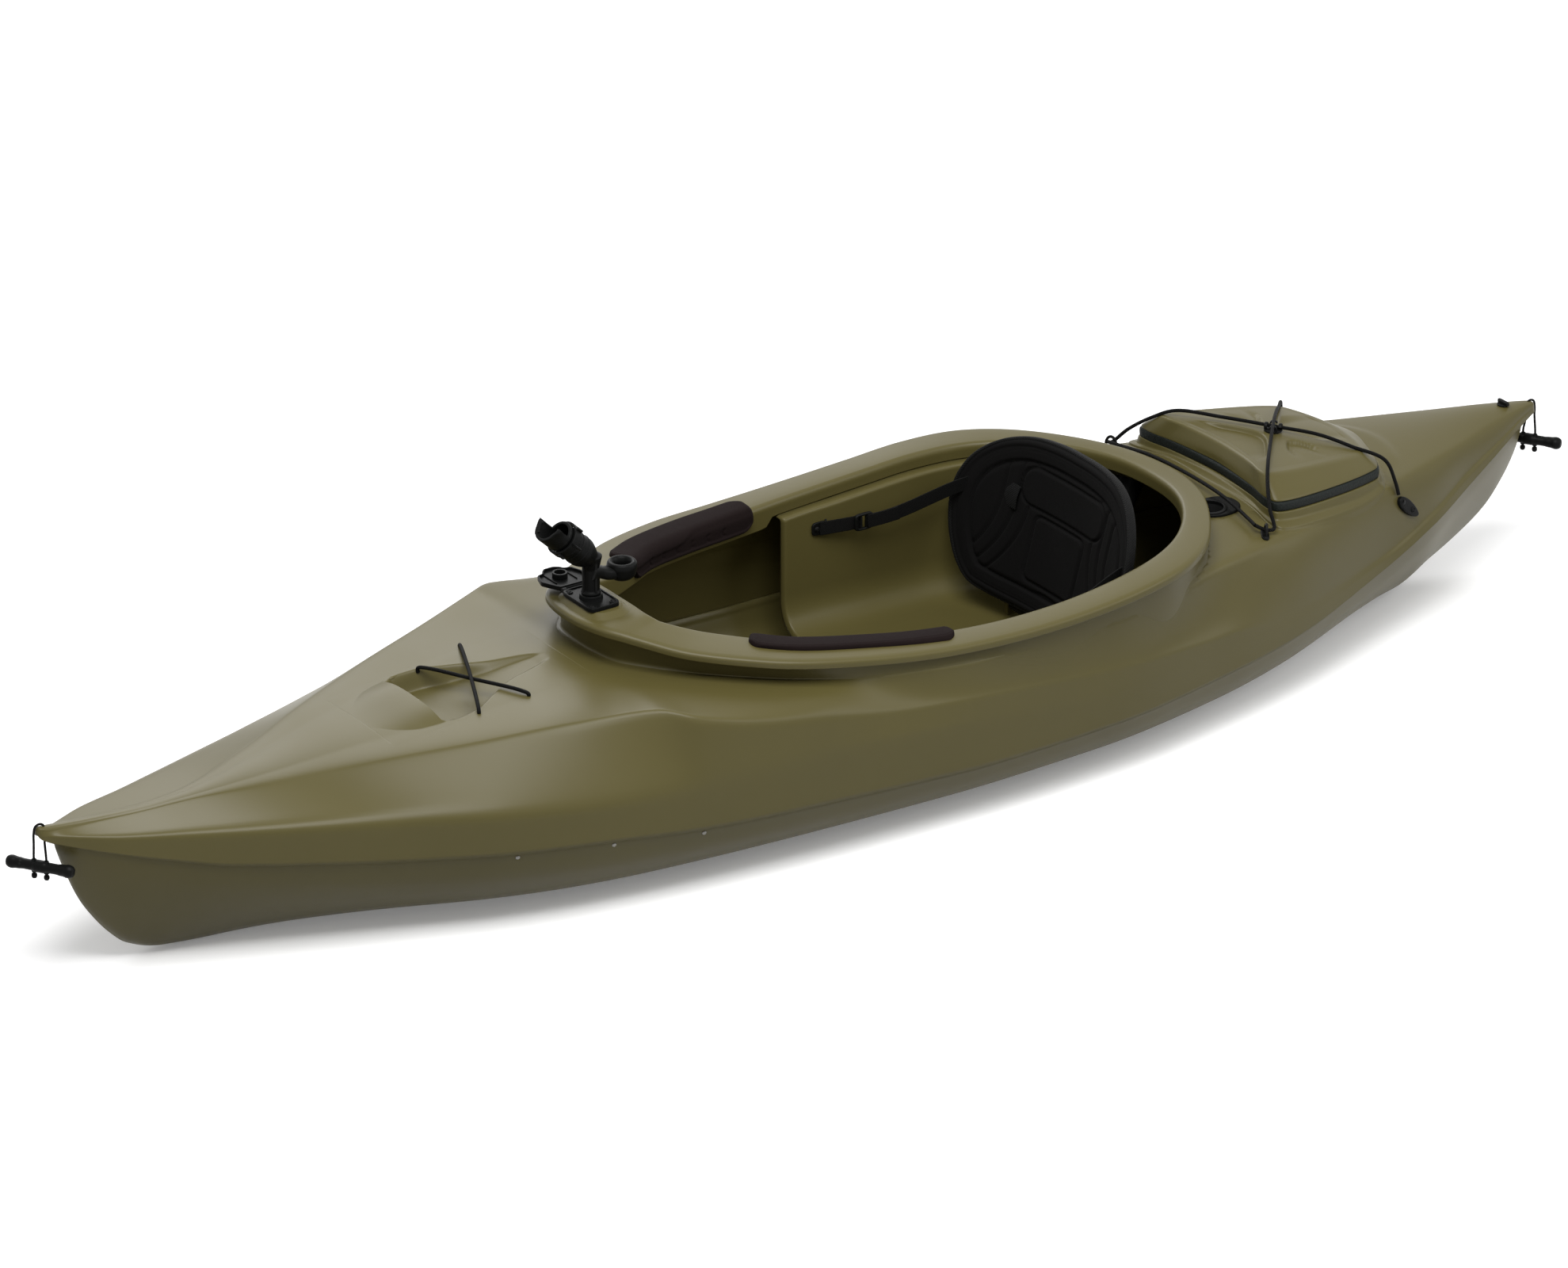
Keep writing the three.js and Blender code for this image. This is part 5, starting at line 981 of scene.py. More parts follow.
def recess_depth(x, y):
    """Depth of the foredeck recess: the table's depth, times a wall that falls over a rounded corner from the
    table's half-breadth, and ends at the front in an upright wall."""
    at = station_share(x)
    breadth = breadth_of(RECESS, 1, at)
    depth = fair(RECESS, 2, at) * size("recess_depth")
    corner = np.clip(breadth * 0.5, 0.006, 0.02)
    wall = smooth((breadth + 0.001 - np.abs(y)) / corner)
    aft = smooth((at - RECESS[0, 0]) / 0.02)
    front = smooth((RECESS[-1, 0] - at) / 0.0022 + 1)
    return depth * wall * aft * front


def hood_rise(x, y):
    """Rise of the hood: a low dome that springs up along its aft edge and dies out towards the bow."""
    at = station_share(x)
    half = breadth_of(HOOD, 1, at)
    across = np.clip(1 - (np.abs(y) / half) ** 3.5, 0, 1)
    ends = smooth((at - 0.5268) / 0.0045) * smooth((0.6 - at) / 0.075)
    return size("hood_rise") * across * ends


def build_foredeck():
    """Foredeck patch: a height field over plan, the deck's height less the recess and plus the hood."""
    low, high, breadth = recess_outline()
    over = 0.034
    x = np.linspace(low - over, high + over, 300)
    at = station_share(x)
    crowd = np.exp(-(((at - 0.5275) / 0.006) ** 2)) * 6 + 1
    share = running((crowd[1:] + crowd[:-1]) / 2)
    x = np.interp(np.linspace(0, share[-1], 360), share, x)
    y = np.linspace(breadth + over, -breadth - over, 150)
    gx, gy = np.meshgrid(x, y, indexing="ij")
    height = deck_top(gx, gy) - recess_depth(gx, gy) + hood_rise(gx, gy)
    rim = np.minimum.reduce([gx - x[0], x[-1] - gx, gy - y[-1], y[0] - gy])
    height += 0.0002 * (smooth(rim / 0.05) * 2 - 1)
    patch = shell_of(np.stack([gx, gy, height], -1))
    moulded("foredeck_recess", [patch], "deck_shell", sheet=(UP, size("wall") - 0.0005), weighted=False)


def build_hull():
    """Hull sheet: a fair curve through each half section, mirrored, from the edge inside the deck's lap down to
    the keel line, drawn in over the stems."""
    low, high = KEEL[0, 0] * half_length(), KEEL[-1, 0] * half_length()
    even = np.linspace(0, 1, 300)
    x = mix(low, high, mix(even, (np.sin((even - 0.5) * np.pi) + 1) / 2, 0.85))
    at = x / half_length()
    seam = height_of(OFFSETS, 2, at)
    close = np.minimum(at - KEEL[0, 0], KEEL[-1, 0] - at) * half_length()
    edge = (breadth_of(OFFSETS, 1, at) - LAP) * (round_edge(close, 0.014) * 0.97 + 0.03)
    shares = hull_shares(at)
    breadth = shares[..., 0] * edge[:, None]
    height = mix(height_of(KEEL, 1, at)[:, None], seam[:, None], shares[..., 1])
    lap = np.stack([edge - 0.0004, seam + 0.013], -1)[:, None]
    section = whole(np.concatenate([lap, np.stack([breadth, height], -1)[:, ::-1]], axis=1))
    moulded(
        "hull_sheet", [shell_of(at_stations(x, section), poles=("first", "last"))], "hull_shell",
        sheet=((0, 0, -1), size("wall")), weighted=False,
    )


def build_coaming():
    """Coaming: a closed section of sixteen corners, rounded, carried round the cockpit. It rises over the
    domed rim, turns under its outer edge, falls down the skirt and runs out over the deck. Its inner lip is
    deeper in front of the seat."""
    at = ring_shares(260)
    place, width, foot, outward, rim = rim_frame(at)
    wall = size("wall")
    ahead = loop_through(COCKPIT, [0, 1], at)[:, 0] - SEAT_FRONT
    drop = size("lip_drop") + 0.018 * smooth((ahead - 0.012) / 0.02)
    brow = breadth_of(OFFSETS, 7, station_share(foot[:, 0]))
    reach = np.clip((brow - np.abs(foot[:, 1])) * 0.8, 0.0015, 0.014)
    out = foot + outward * reach[:, None]
    deck_foot, deck_out = deck_top(*foot.T), deck_top(*out.T)
    back = foot - outward * wall
    inset, lip = size("skirt_inset"), size("edge_drop")
    corners = [
        (place(0, rim - drop), 0.0015),
        (place(0, rim - 0.001), 0.011),
        (place(width * 0.28, rim + 0.0015), width * 0.2),
        (place(width * 0.72, rim + 0.0015), width * 0.2),
        (place(width, rim - 0.001), 0.012),
        (place(width, rim - lip), 0.0016),
        (place(width - 0.0045, rim - lip), 0.0012),
        (place(width - 0.006, rim - 0.007), 0.004),
        (place(width - inset, rim - 0.006), 0.006),
        (np.column_stack([foot, deck_foot + 0.0012]), 0.6 * reach),
        (np.column_stack([out, deck_out - 0.0006]), 0.0001),
        (np.column_stack([out, deck_out - wall]), 0.0001),
        (np.column_stack([back, deck_foot - wall]), 0.001),
        (place(width - inset - wall, rim - 0.011), 0.004),
        (place(wall, rim - 0.006), 0.005),
        (place(wall, rim - drop), 0.0015),
    ]
    moulded("coaming", [carried(corners, 6)], "deck_shell")


def build_platform():
    """Rod holder's platform: ovals that shrink with the 0.8th power of a smoothstep as they rise from the rim."""
    front = COCKPIT[0, 6] * deck_height()
    middle = np.array([(COCKPIT[0, 0] + COCKPIT[0, 2]) / 2 * half_length(), 0])
    rise = np.linspace(0, 1, 14)
    level = np.concatenate([rise, np.full(3, 1.0)])
    spread = np.concatenate([1 - 0.36 * smooth(rise) ** 0.8, [0.6, 0.4, 0.15]])
    outline = oval(0.108, 0.17, 3.0, 128)
    rings = np.stack([
        np.column_stack([outline * k + middle, np.full(128, mix(front - 0.006, PLATFORM_TOP, smooth(t)))])
        for t, k in zip(level, spread)
    ])
    moulded("holder_platform", [shell_of(rings, around=True, poles=("first", "last"))], "deck_shell")


# Hatch


def eased(corners, radii, steps=5):
    """Rounded corners of open profiles, whose two ends stay where they are."""
    return rounded(corners, radii, steps)[:, steps - 1 : 1 - steps]


def build_hatch_land():
    """Hatch land: a closed section of twelve corners carried round the hatch. It leaves the deck in a fillet,
    climbs a low step, slopes up a ledge to a steep face, crosses the land under the gasket and ends in an
    upright lip."""
    place, _, edge, outward, step = hatch_frame(ring_shares(240))
    wall = size("wall")
    foot_z = deck_top(*(edge + outward * step[:, None]).T)
    out = edge + outward * (step + 0.011)[:, None]
    out_z = deck_top(*out.T)
    land = land_height(edge[:, 0])
    ledge = np.maximum(mix(foot_z, land, 0.45), foot_z + 0.003)
    corners = [
        (np.column_stack([out, out_z - 0.0006]), 0.0001),
        (place(step + 0.0015, foot_z + 0.0006), 0.002),
        (place(step - 0.0005, mix(foot_z, ledge, 0.45)), 0.0022),
        (place(0.0055, ledge), 0.004),
        (place(0.0015, land), 0.0025),
        (place(-0.03, land), 0.0015),
        (place(-0.03, land + 0.013), 0.0012),
        (place(-0.034, land + 0.013), 0.0012),
        (place(-0.034, land - wall), 0.002),
        (place(step - 0.006, ledge - wall), 0.002),
        (place(step - wall, foot_z - wall), 0.002),
        (np.column_stack([out, out_z - wall]), 0.0001),
    ]
    moulded("hatch_land", [carried(corners, 5)], "deck_shell")


def build_gasket():
    """Gasket: a rounded foam band carried round the hatch, pinched where its two ends butt."""
    joint = 1 - 2.6 / (2 * len(HATCH) - 2)
    near = joint + np.array([-0.0016, -0.0007, 0.0, 0.0007, 0.0016])
    at = np.sort(np.concatenate([ring_shares(260), near]))
    place, _, edge, _, _ = hatch_frame(at)
    pinch = 0.003 * (np.abs(at - joint) < 0.0003)
    low = land_height(edge[:, 0]) + SEAT_GAP
    high = low + size("gasket_height") - SEAT_GAP - 0.7 * pinch
    corners = [
        (place(-0.0012 - pinch, low), 0.002),
        (place(0.0004 - pinch, low + 0.006), 0.004),
        (place(-pinch, high), 0.0062),
        (place(-0.018, high), 0.005),
        (place(-0.018, low), 0.001),
    ]
    publish("gasket_band", [carried(corners, 6)], "Cell rubber", "boat", "gasket", ["hatch_gasket"])


def lid_pockets(x, y):
    """Depth of the four hollows round the cord crossing: each falls over a wall along the hyperbola
    p^2 = start^2 + (slope q)^2, deepest beside it, and ramps up to nothing away from the crossing."""
    depth = np.zeros_like(x)
    for along, across, start, slope, reach, limit in (
        (1, 0, 0.025, 0.85, 0.12, 0.105), (-1, 0, 0.025, 0.85, 0.1, 0.066), (0, 1, 0.044, 2.4, 0.058, 0.034),
        (0, -1, 0.044, 2.4, 0.058, 0.034),
    ):
        p = (x - CLIP_X) * along + y * across
        q = np.abs((x - CLIP_X) * across - y * along)
        past = p - np.hypot(start, slope * q)
        ramp = np.clip(1 - past / reach, 0, 1)
        ends = smooth((limit - q) / (0.45 * limit))
        depth = np.maximum(depth, POCKET_DEPTH * smooth(past / 0.0065) * ramp**1.5 * ends)
    return depth


def build_lid():
    """Hatch lid: rows of rings from the middle of its underside, round the seating edge, up the sloping wall and
    over the crowned top, whose height is a parabola less the four hollows."""
    at = ring_shares(260)
    place, slope, edge, _, _ = hatch_frame(at)
    top = loop_through(HATCH, [2, 3], at)
    middle = (HATCH_FRONT + HATCH_BACK) / 2 * half_length()
    crown = size("lid_crown")

    def top_row(share, down, hollow):
        x, y = mix(middle, top[:, 0], share), top[:, 1] * share
        z = lid_top(x) + crown * (1 - share**2) - down
        return np.column_stack([x, y, z - (lid_pockets(x, y) if hollow else 0)])

    bottom = land_height(edge[:, 0]) + size("gasket_height") + SEAT_GAP
    under = [top_row(s, 0.0112, False) for s in np.linspace(0.06, 0.88, 9)]
    brow = lid_top(top[:, 0])
    profile = np.stack(
        [
            place(-0.028, bottom + 0.006),
            place(-0.026, bottom),
            place(-0.0035, bottom),
            place(-0.004, bottom + 0.003),
            place(-0.3 * slope, mix(bottom, brow, 0.36)),
            place(-0.95 * slope, brow + 0.001),
            top_row(0.9, 0.0, False),
        ],
        axis=1,
    )
    side = eased(profile, [0, 0.0015, 0.002, 0.003, 0.01, 0.0075, 0], 7)
    over = [top_row(s, 0.0, True) for s in np.linspace(0.885, 0.012, 66)]
    rows = np.concatenate([np.stack(under), side.transpose(1, 0, 2), np.stack(over)])
    moulded("hatch_lid_skin", [shell_of(rows, around=True, poles=("first", "last"))], "hatch_lid", "lid")


# Seat, backrest and pads


def rim_inner(x):
    """Half-breadth of the cockpit's inner edge at a station."""
    return breadth_of(COCKPIT[:0:-1], 1, station_share(x))


def rim_height(x):
    """Height of the rim's edge at a station."""
    return height_of(COCKPIT[:0:-1], 6, station_share(x))


def pan_top(x):
    """Seat pan's height: a dip of a half sine between its two ends."""
    along = (SEAT_FRONT - x) / (SEAT_FRONT - SEAT_BACK)
    return size("seat_height") - 0.009 * np.sin(along * np.pi)


def seat_half(x):
    """Half-breadth of the seat's inside at a station."""
    return rim_inner(x) - 0.02


def seat_top(x):
    """Height of the seat's flange, under the rim's inner lip."""
    return rim_height(x) - size("lip_drop") - 0.0012


def build_seat():
    """Seat: a tub hung under the coaming, whose section runs from a flange down a side wall and through one
    quadratic curve into the pan. Its front edge is rolled outwards. Runners, a riser and two lugs carry it."""
    rows = 80
    ahead = SEAT_FRONT + np.array([0.0015, 0.0032, 0.0045, 0.005])
    x = np.concatenate([np.linspace(SEAT_BACK, SEAT_FRONT, rows), ahead])
    roll = np.concatenate([np.zeros(rows), [0.0006, 0.0026, 0.0056, 0.0085]])
    station = np.minimum(x, SEAT_FRONT)
    half, top, low = seat_half(station) + roll, seat_top(station) - 0.4 * roll, pan_top(station) - roll
    flange = np.maximum(rim_inner(station) + 0.008, half + 0.002)
    places = [(flange, top), (half, top), (half - 0.001, low), (half * 0.55, low - 0.0015), (0 * half, low)]
    corners = np.stack([np.stack(place, -1) for place in places], axis=1)
    section = whole(eased(corners, [0, 0.008, 0.066, 0.03, 0], 12))
    moulded("seat_shell", [shell_of(at_stations(x, section))], "seat_pan", sheet=(UP, size("wall")), weighted=False)
    shells = []
    low, high = 0.0085, size("seat_height") - 0.013
    runner, lug = oval(SEAT_FRONT - SEAT_BACK, 0.011, 9, 60), oval(0.019, 0.034, 3.2, 48)
    turn = np.array([[1, 0, 0], [0, 0, 1], [0, -1, 0]])
    for side in (1, -1):
        shells.append(plate(runner, low, high, 0.001, ((SEAT_FRONT + SEAT_BACK) / 2, 0.126 * side, 0)))
        shells.append(plate(lug, -0.0045, 0.0045, 0.001, (HINGE[0], 0.12 * side, HINGE[2] - 0.006), turn))
    riser = oval(0.004, 0.252, 9, 40)
    shells.append(plate(riser, low, size("seat_height") - 0.004, 0.0008, (SEAT_FRONT - 0.0025, 0, 0)))
    moulded("seat_supports", shells, "seat_pan", angle=40)


# Backrest: half-breadth and lean of the solid, how much wider the cushion is, and the cushion's outline.
BACK_HALF = 0.222
BACK_TILT = np.radians(15)
BACK_WIDTH = 1.12
BACK_OUTLINE = np.array([
    [0, 0.309], [0.06, 0.3075], [0.116, 0.298], [0.164, 0.274], [0.199, 0.238], [0.217, 0.197], [0.2215, 0.158],
    [0.217, 0.118], [0.206, 0.08], [0.189, 0.046], [0.165, 0.022], [0.13, 0.0145], [0.06, 0.013], [0, 0.013],
])


def back_place(a, b, depth):
    """Point of the backrest: a across, b up its face and depth forward of it. The back leans by its tilt and
    wraps forward with the 2.2nd power of the share across."""
    forward = depth + 0.052 * (np.abs(a) / BACK_HALF) ** 2.2
    x = HINGE[0] - b * np.sin(BACK_TILT) + forward * np.cos(BACK_TILT)
    z = HINGE[2] + b * np.cos(BACK_TILT) + forward * np.sin(BACK_TILT)
    return np.stack([x, a, z], -1)


def gap_to(points, line):
    """Distance in plan of each point to the nearest of a closed line's points, taken in parts to save memory."""
    found = [
        np.min(np.hypot(*(part[:, None] - line[None]).transpose(2, 0, 1)), axis=1)
        for part in np.array_split(points.reshape(-1, 2), 24)
    ]
    return np.concatenate(found).reshape(points.shape[:-1])


def box_gap(a, b, centre, half, radius):
    """Signed distance to a rectangle with rounded corners."""
    qa, qb = np.abs(a - centre[0]) - half[0] + radius, np.abs(b - centre[1]) - half[1] + radius
    return np.hypot(np.maximum(qa, 0), np.maximum(qb, 0)) + np.minimum(np.maximum(qa, qb), 0) - radius


def channel(gap, width):
    """Section of a pressed channel: exp(-(gap / width)^2)."""
    return np.exp(-((gap / width) ** 2))


def back_depth(a, b, inset):
    """Thickness of the pad: a swell that thins towards the sides, less the pressed channels. One follows the
    outline, one frames the top panel and one the middle panel, three curve down each side and two lie below."""
    swell = mix(0.03, 0.014, np.clip(np.abs(a) / BACK_HALF, 0, 1) ** 3)
    field = smooth((inset - 0.038) / 0.006)
    border = 0.0045 * channel(inset - 0.038, 0.0024)
    border += 0.002 * smooth((inset - 0.033) / 0.004) * smooth((0.047 - inset) / 0.006)
    border = border + 0.0026 * channel(inset - 0.0135, 0.0016) + 0.0012 * channel(inset - 0.0185, 0.0012)
    top_gap = box_gap(a, b, (0, 0.225), (0.104, 0.034), 0.028)
    mid_gap = box_gap(a, b, (0, 0.124), (0.062, 0.057), 0.014)
    deep = np.maximum(channel(top_gap, 0.0026), channel(mid_gap, 0.0026)) * field
    panel = smooth(-top_gap / 0.006) + smooth(-mid_gap / 0.006)
    outside = smooth(top_gap / 0.005) * smooth(mid_gap / 0.005)
    ribs = np.zeros_like(a)
    for first in (0.082, 0.109, 0.136):
        bend = first + 0.030 * np.clip((0.19 - b) / 0.1, 0, None) ** 2
        slope = np.hypot(1, 0.6 * np.clip((0.19 - b) / 0.1, 0, None))
        ribs = np.maximum(ribs, channel((np.abs(a) - bend) / slope, 0.0026))
    for rise in (0.056, 0.036):
        arc = rise - 0.02 * (np.abs(a) / 0.07) ** 2
        ribs = np.maximum(ribs, channel(b - arc, 0.0026) * smooth((0.075 - np.abs(a)) / 0.01))
    return swell - border - 0.005 * np.maximum(deep, ribs * field * outside) + 0.0008 * panel * field


def build_backrest():
    """Backrest pad: rings drawn in from a smooth outline, on the front by its thickness and on the back flat,
    with a half-round edge; a woven binding round the edge and a webbing loop at its upper corner."""
    port = BACK_OUTLINE * [BACK_WIDTH, 1]
    outline = curve_through(np.vstack([port, port[1:-1][::-1] * [-1, 1]]), ring_shares(420), closed=True)
    middle = np.array([0, 0.155])
    near_edge = 1 - 0.1 * (1 - np.sin(np.linspace(0, np.pi / 2, 14)[1:]))
    share = np.concatenate([np.linspace(0.006, 0.9, 70), near_edge])
    flat = middle + (outline - middle)[None] * share[:, None, None]
    inset = gap_to(flat, outline)
    a, b = flat[..., 0], flat[..., 1]
    curve = round_edge(inset, 0.009)
    thick = back_depth(a / BACK_WIDTH, b, inset)
    front = back_place(a, b, thick * (0.5 + 0.5 * curve))
    back = back_place(a, b, thick * 0.5 * (1 - curve))[::-1][1::4]
    pad = publish(
        "backrest_cushion", [shell_of(np.concatenate([front, back]), around=True, poles=("first", "last"))],
        "Foam cloth", "backrest", "foam", ["backrest_pad"], weighted=False,
    )
    edge = middle + (outline - middle) * 0.997
    depth = 0.5 * back_depth(edge[:, 0] / BACK_WIDTH, edge[:, 1], np.zeros(len(edge)))
    band = swept(back_place(*edge.T, depth), oval(0.0085, 0.0175, 3, 14), (0.94, 0.0, 0.34), closed=True)
    publish("backrest_binding", [band], "Binding", "backrest", "foam", ["backrest_pad"], weighted=False)
    arch = 0.0275 + 0.003 * np.sin(np.linspace(0, np.pi, 16))
    centre = back_place(np.full(16, -0.13), np.linspace(0.174, 0.216, 16), arch)
    loop = swept(centre, oval(0.034, 0.0026, 7, 28), (0.95, 0.0, 0.26))
    publish("backrest_loop", [loop], "Binding", "backrest", "cord", ["backrest_pad"])


def build_thigh_pads():
    """Thigh pads: a section folded over the rim, thickened along its normals by a rounded square's height. A
    panel is pressed into its inner face under a tanh wave, with a row of small arcs in it."""
    for name, side in SIDES:
        p = np.sin(np.linspace(-1, 1, 150) * np.pi / 2)
        at = (8.63 + 2.43 * p) / 44
        place, width, _, _, rim = rim_frame(at if side > 0 else 1 - at)
        corners = np.stack(
            [
                place(-0.0002, rim - 0.036),
                place(-0.0002, rim - 0.001),
                place(width * 0.28, rim + 0.001),
                place(width * 0.5, rim + 0.0007),
                place(0.047, rim + 0.0003),
            ],
            axis=1,
        )
        under = eased(corners, [0, 0.011, 0.02, 0.01, 0], 12)
        step = running(np.linalg.norm(np.diff(under, axis=1), axis=-1).mean(0))
        q = np.sin(np.linspace(-1, 1, 64) * np.pi / 2) * 0.5 + 0.5
        round_end = np.sqrt(np.clip(1 - (np.clip(np.abs(p) - 0.86, 0, None) / 0.14) ** 2, 0.0, 1))
        narrow = 0.25 + 0.75 * round_end[:, None]
        reach = 0.5 + (q[None] - 0.5) * narrow
        sheet = np.stack([
            [np.interp(row * step[-1], step, line[:, k]) for k in range(3)] for row, line in zip(reach, under)
        ]).transpose(0, 2, 1)
        normal = np.cross(np.gradient(sheet, axis=0), np.gradient(sheet, axis=1))
        normal /= np.maximum(np.linalg.norm(normal, axis=-1, keepdims=True), 1e-9)
        normal *= np.sign(normal[75, 40, 2])
        run = running(lengths(sheet[:, 32]))
        long_gap = np.minimum(run, run[-1] - run)[:, None]
        wide_gap = np.minimum(q, 1 - q)[None] * step[-1] * narrow
        inset = np.minimum(long_gap, wide_gap)
        curve = round_edge(inset, 0.007)
        along = run[:, None] - run[-1] / 2
        wave = 0.0295 + 0.0055 * np.tanh(along / 0.022)
        panel = smooth((wave - reach * step[-1]) / 0.0025) * smooth((inset - 0.006) / 0.003)
        height = 0.0088 - 0.0022 * panel - 0.0007 * channel(inset - 0.006, 0.0012)
        across = reach * step[-1] - 0.017
        for k in range(6):
            away = np.hypot(along - (k - 2.5) * 0.041, across)
            arc = channel(away - 0.0058, 0.0015) * smooth((0.0015 - along + (k - 2.5) * 0.041) / 0.003)
            height = height - 0.0024 * arc
        top = sheet + normal * (height * curve)[..., None]
        loop = np.concatenate([top, sheet[:, ::-1][:, 1:-1] - normal[:, ::-1][:, 1:-1] * 0.0008], axis=1)
        pad = publish(
            f"thigh_cushion_{name}", [shell_of(loop, around=True, poles=("first", "last"))], "Pad cloth", "boat",
            "pad_cloth", [f"thigh_pad_{name}"], weighted=False,
        )


def build_straps():
    """Backrest straps: webbing from an anchor on the seat's side through a ladder buckle to the backrest."""
    web = oval(0.0021, 0.025, 7, 20)
    curl = np.linspace(0, 1, 24) ** 2
    handle = np.array([
        [-0.013, 0, 0.014], [-0.014, -0.0035, 0.006], [-0.014, -0.0045, 0], [-0.014, -0.0035, -0.006],
        [-0.013, 0, -0.014],
    ])
    rivet = [(0, 0), (0.0048, 0), (0.0048, 0.0012), (0.0028, 0.0028), (0, 0.003)]
    end = back_place(np.array(BACK_HALF), np.array(0.186), 0.0065)
    for name, side in SIDES:
        wall = seat_half(ANCHOR) - 0.0006

        def line(x, side=side, start=wall - 0.0054):
            y = mix(start, 0.2234, (ANCHOR - x) / (ANCHOR - end[0]))
            return np.stack([x, y * side, mix(STRAP_Z, end[2], smooth((BUCKLE - x) / (BUCKLE - end[0])))], -1)

        front = line(np.linspace(ANCHOR, BUCKLE + 0.004, 24))
        rear = line(np.linspace(BUCKLE - 0.004, end[0], 50))
        rear[:, 2] -= 0.004 * np.sin(np.linspace(0, np.pi, 50))
        tail = line(np.linspace(BUCKLE - 0.006, BUCKLE - 0.062, 24))
        tail[:, 1] -= side * (0.003 + 0.0012 * curl)
        tail[:, 2] -= 0.002 * curl
        shells = [swept(run, web, UP) for run in (front, tail)]
        publish(f"webbing_front_{name}", shells, "Webbing", "boat", "cord", [f"strap_front_{name}"])
        shells = [swept(rear, web, UP)]
        back = publish(f"webbing_rear_{name}", shells, "Webbing", None, "cord", [f"strap_rear_{name}"])
        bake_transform(back)
        turn = basis((0, side, 0), (1, 0, 0))
        centre = line(np.array(BUCKLE))
        hole = oval(0.027, 0.0225, 6, 56)
        shells = [plate(oval(0.038, 0.031, 5, 56), -0.0035, 0.0035, 0.0018, centre, turn, hole=hole)]
        for shift in (-0.006, 0.006):
            shells.append(plate(oval(0.0045, 0.025, 5, 28), -0.003, 0.003, 0.0012, centre + [shift, 0, 0], turn))
        fitting(f"buckle_{name}", shells, f"strap_buckle_{name}", angle=50)
        place = np.array([ANCHOR, (wall - 0.0025) * side, STRAP_Z])
        shells = [
            plate(oval(0.03, 0.024, 4, 48), -0.0022, 0.0022, 0.0014, place, turn),
            swept(place + handle * [1, side, 1], oval(0.004, 0.004, count=12), (1, 0.2, 0)),
            lathe(rivet, place + [0.006, -0.002 * side, 0], basis((0, -side, 0)), 0.0008, 20, 3),
        ]
        fitting(f"anchor_{name}", shells, f"strap_anchor_{name}", angle=50)


# Rod holder


def rounded_outline(corners, radius, scale):
    """Outline with every corner rounded."""
    return rounded(np.asarray(corners, float)[None] * scale, np.full(len(corners), radius), 6)[0]


def screw(origin, up, radius):
    """Domed screw head with a dimple."""
    head = [
        (0, -0.001), (radius, -0.001), (radius, 0.0006), (radius * 0.6, 0.0019), (radius * 0.3, 0.0016), (0, 0.0009),
    ]
    return lathe(head, origin, basis(up, (0.9, 0.3, 0.1)), 0.0006, 22, 3)


def build_holder_base():
    """Base plate: a floor with a raised border, a collar, a screw in each corner and the cover's hinge lugs."""
    z = PLATFORM_TOP + SEAT_GAP
    outline = oval(0.061, 0.092, 7, 96)
    here = (HOLDER, 0, 0)
    collar = [
        (0, z), (0.0215, z), (0.0195, z + 0.0075), (0.0188, z + 0.0129), (0.0135, z + 0.0129), (0.0135, z + 0.006),
        (0, z + 0.006),
    ]
    cup = [(0, 0), (0.0072, 0), (0.0066, 0.0024), (0.0045, 0.0024), (0.0045, 0.0006), (0, 0.0006)]
    pin = [(0, -0.021), (0.002, -0.021), (0.002, 0.021), (0, 0.021)]
    shells = [
        plate(outline, z, z + 0.0052, 0.0012, here),
        plate(outline, z + 0.002, z + 0.0075, 0.001, here, hole=oval(0.0545, 0.0855, 7, 96)),
        lathe(collar, here, None, 0.0012),
    ]
    turn = basis((1, 0, 0), UP)
    for end in (1, -1):
        lug = (HOLDER + 0.021 * end, PIN_Y + 0.002, PIN_Z)
        shells.append(plate(oval(0.0085, 0.014, 3.5, 40), -0.004, 0.004, 0.001, lug, turn))
        for across in (1, -1):
            spot = (HOLDER + 0.0205 * end, 0.0355 * across)
            shells.append(lathe(cup, (*spot, z + 0.005), None, 0.0006, 28, 3))
            shells.append(screw((*spot, z + 0.0062), UP, 0.0038))
    shells.append(lathe(pin, (HOLDER, PIN_Y, PIN_Z), turn, 0.0004, 16, 3))
    fitting("holder_base", shells, "rod_holder_base", angle=40)


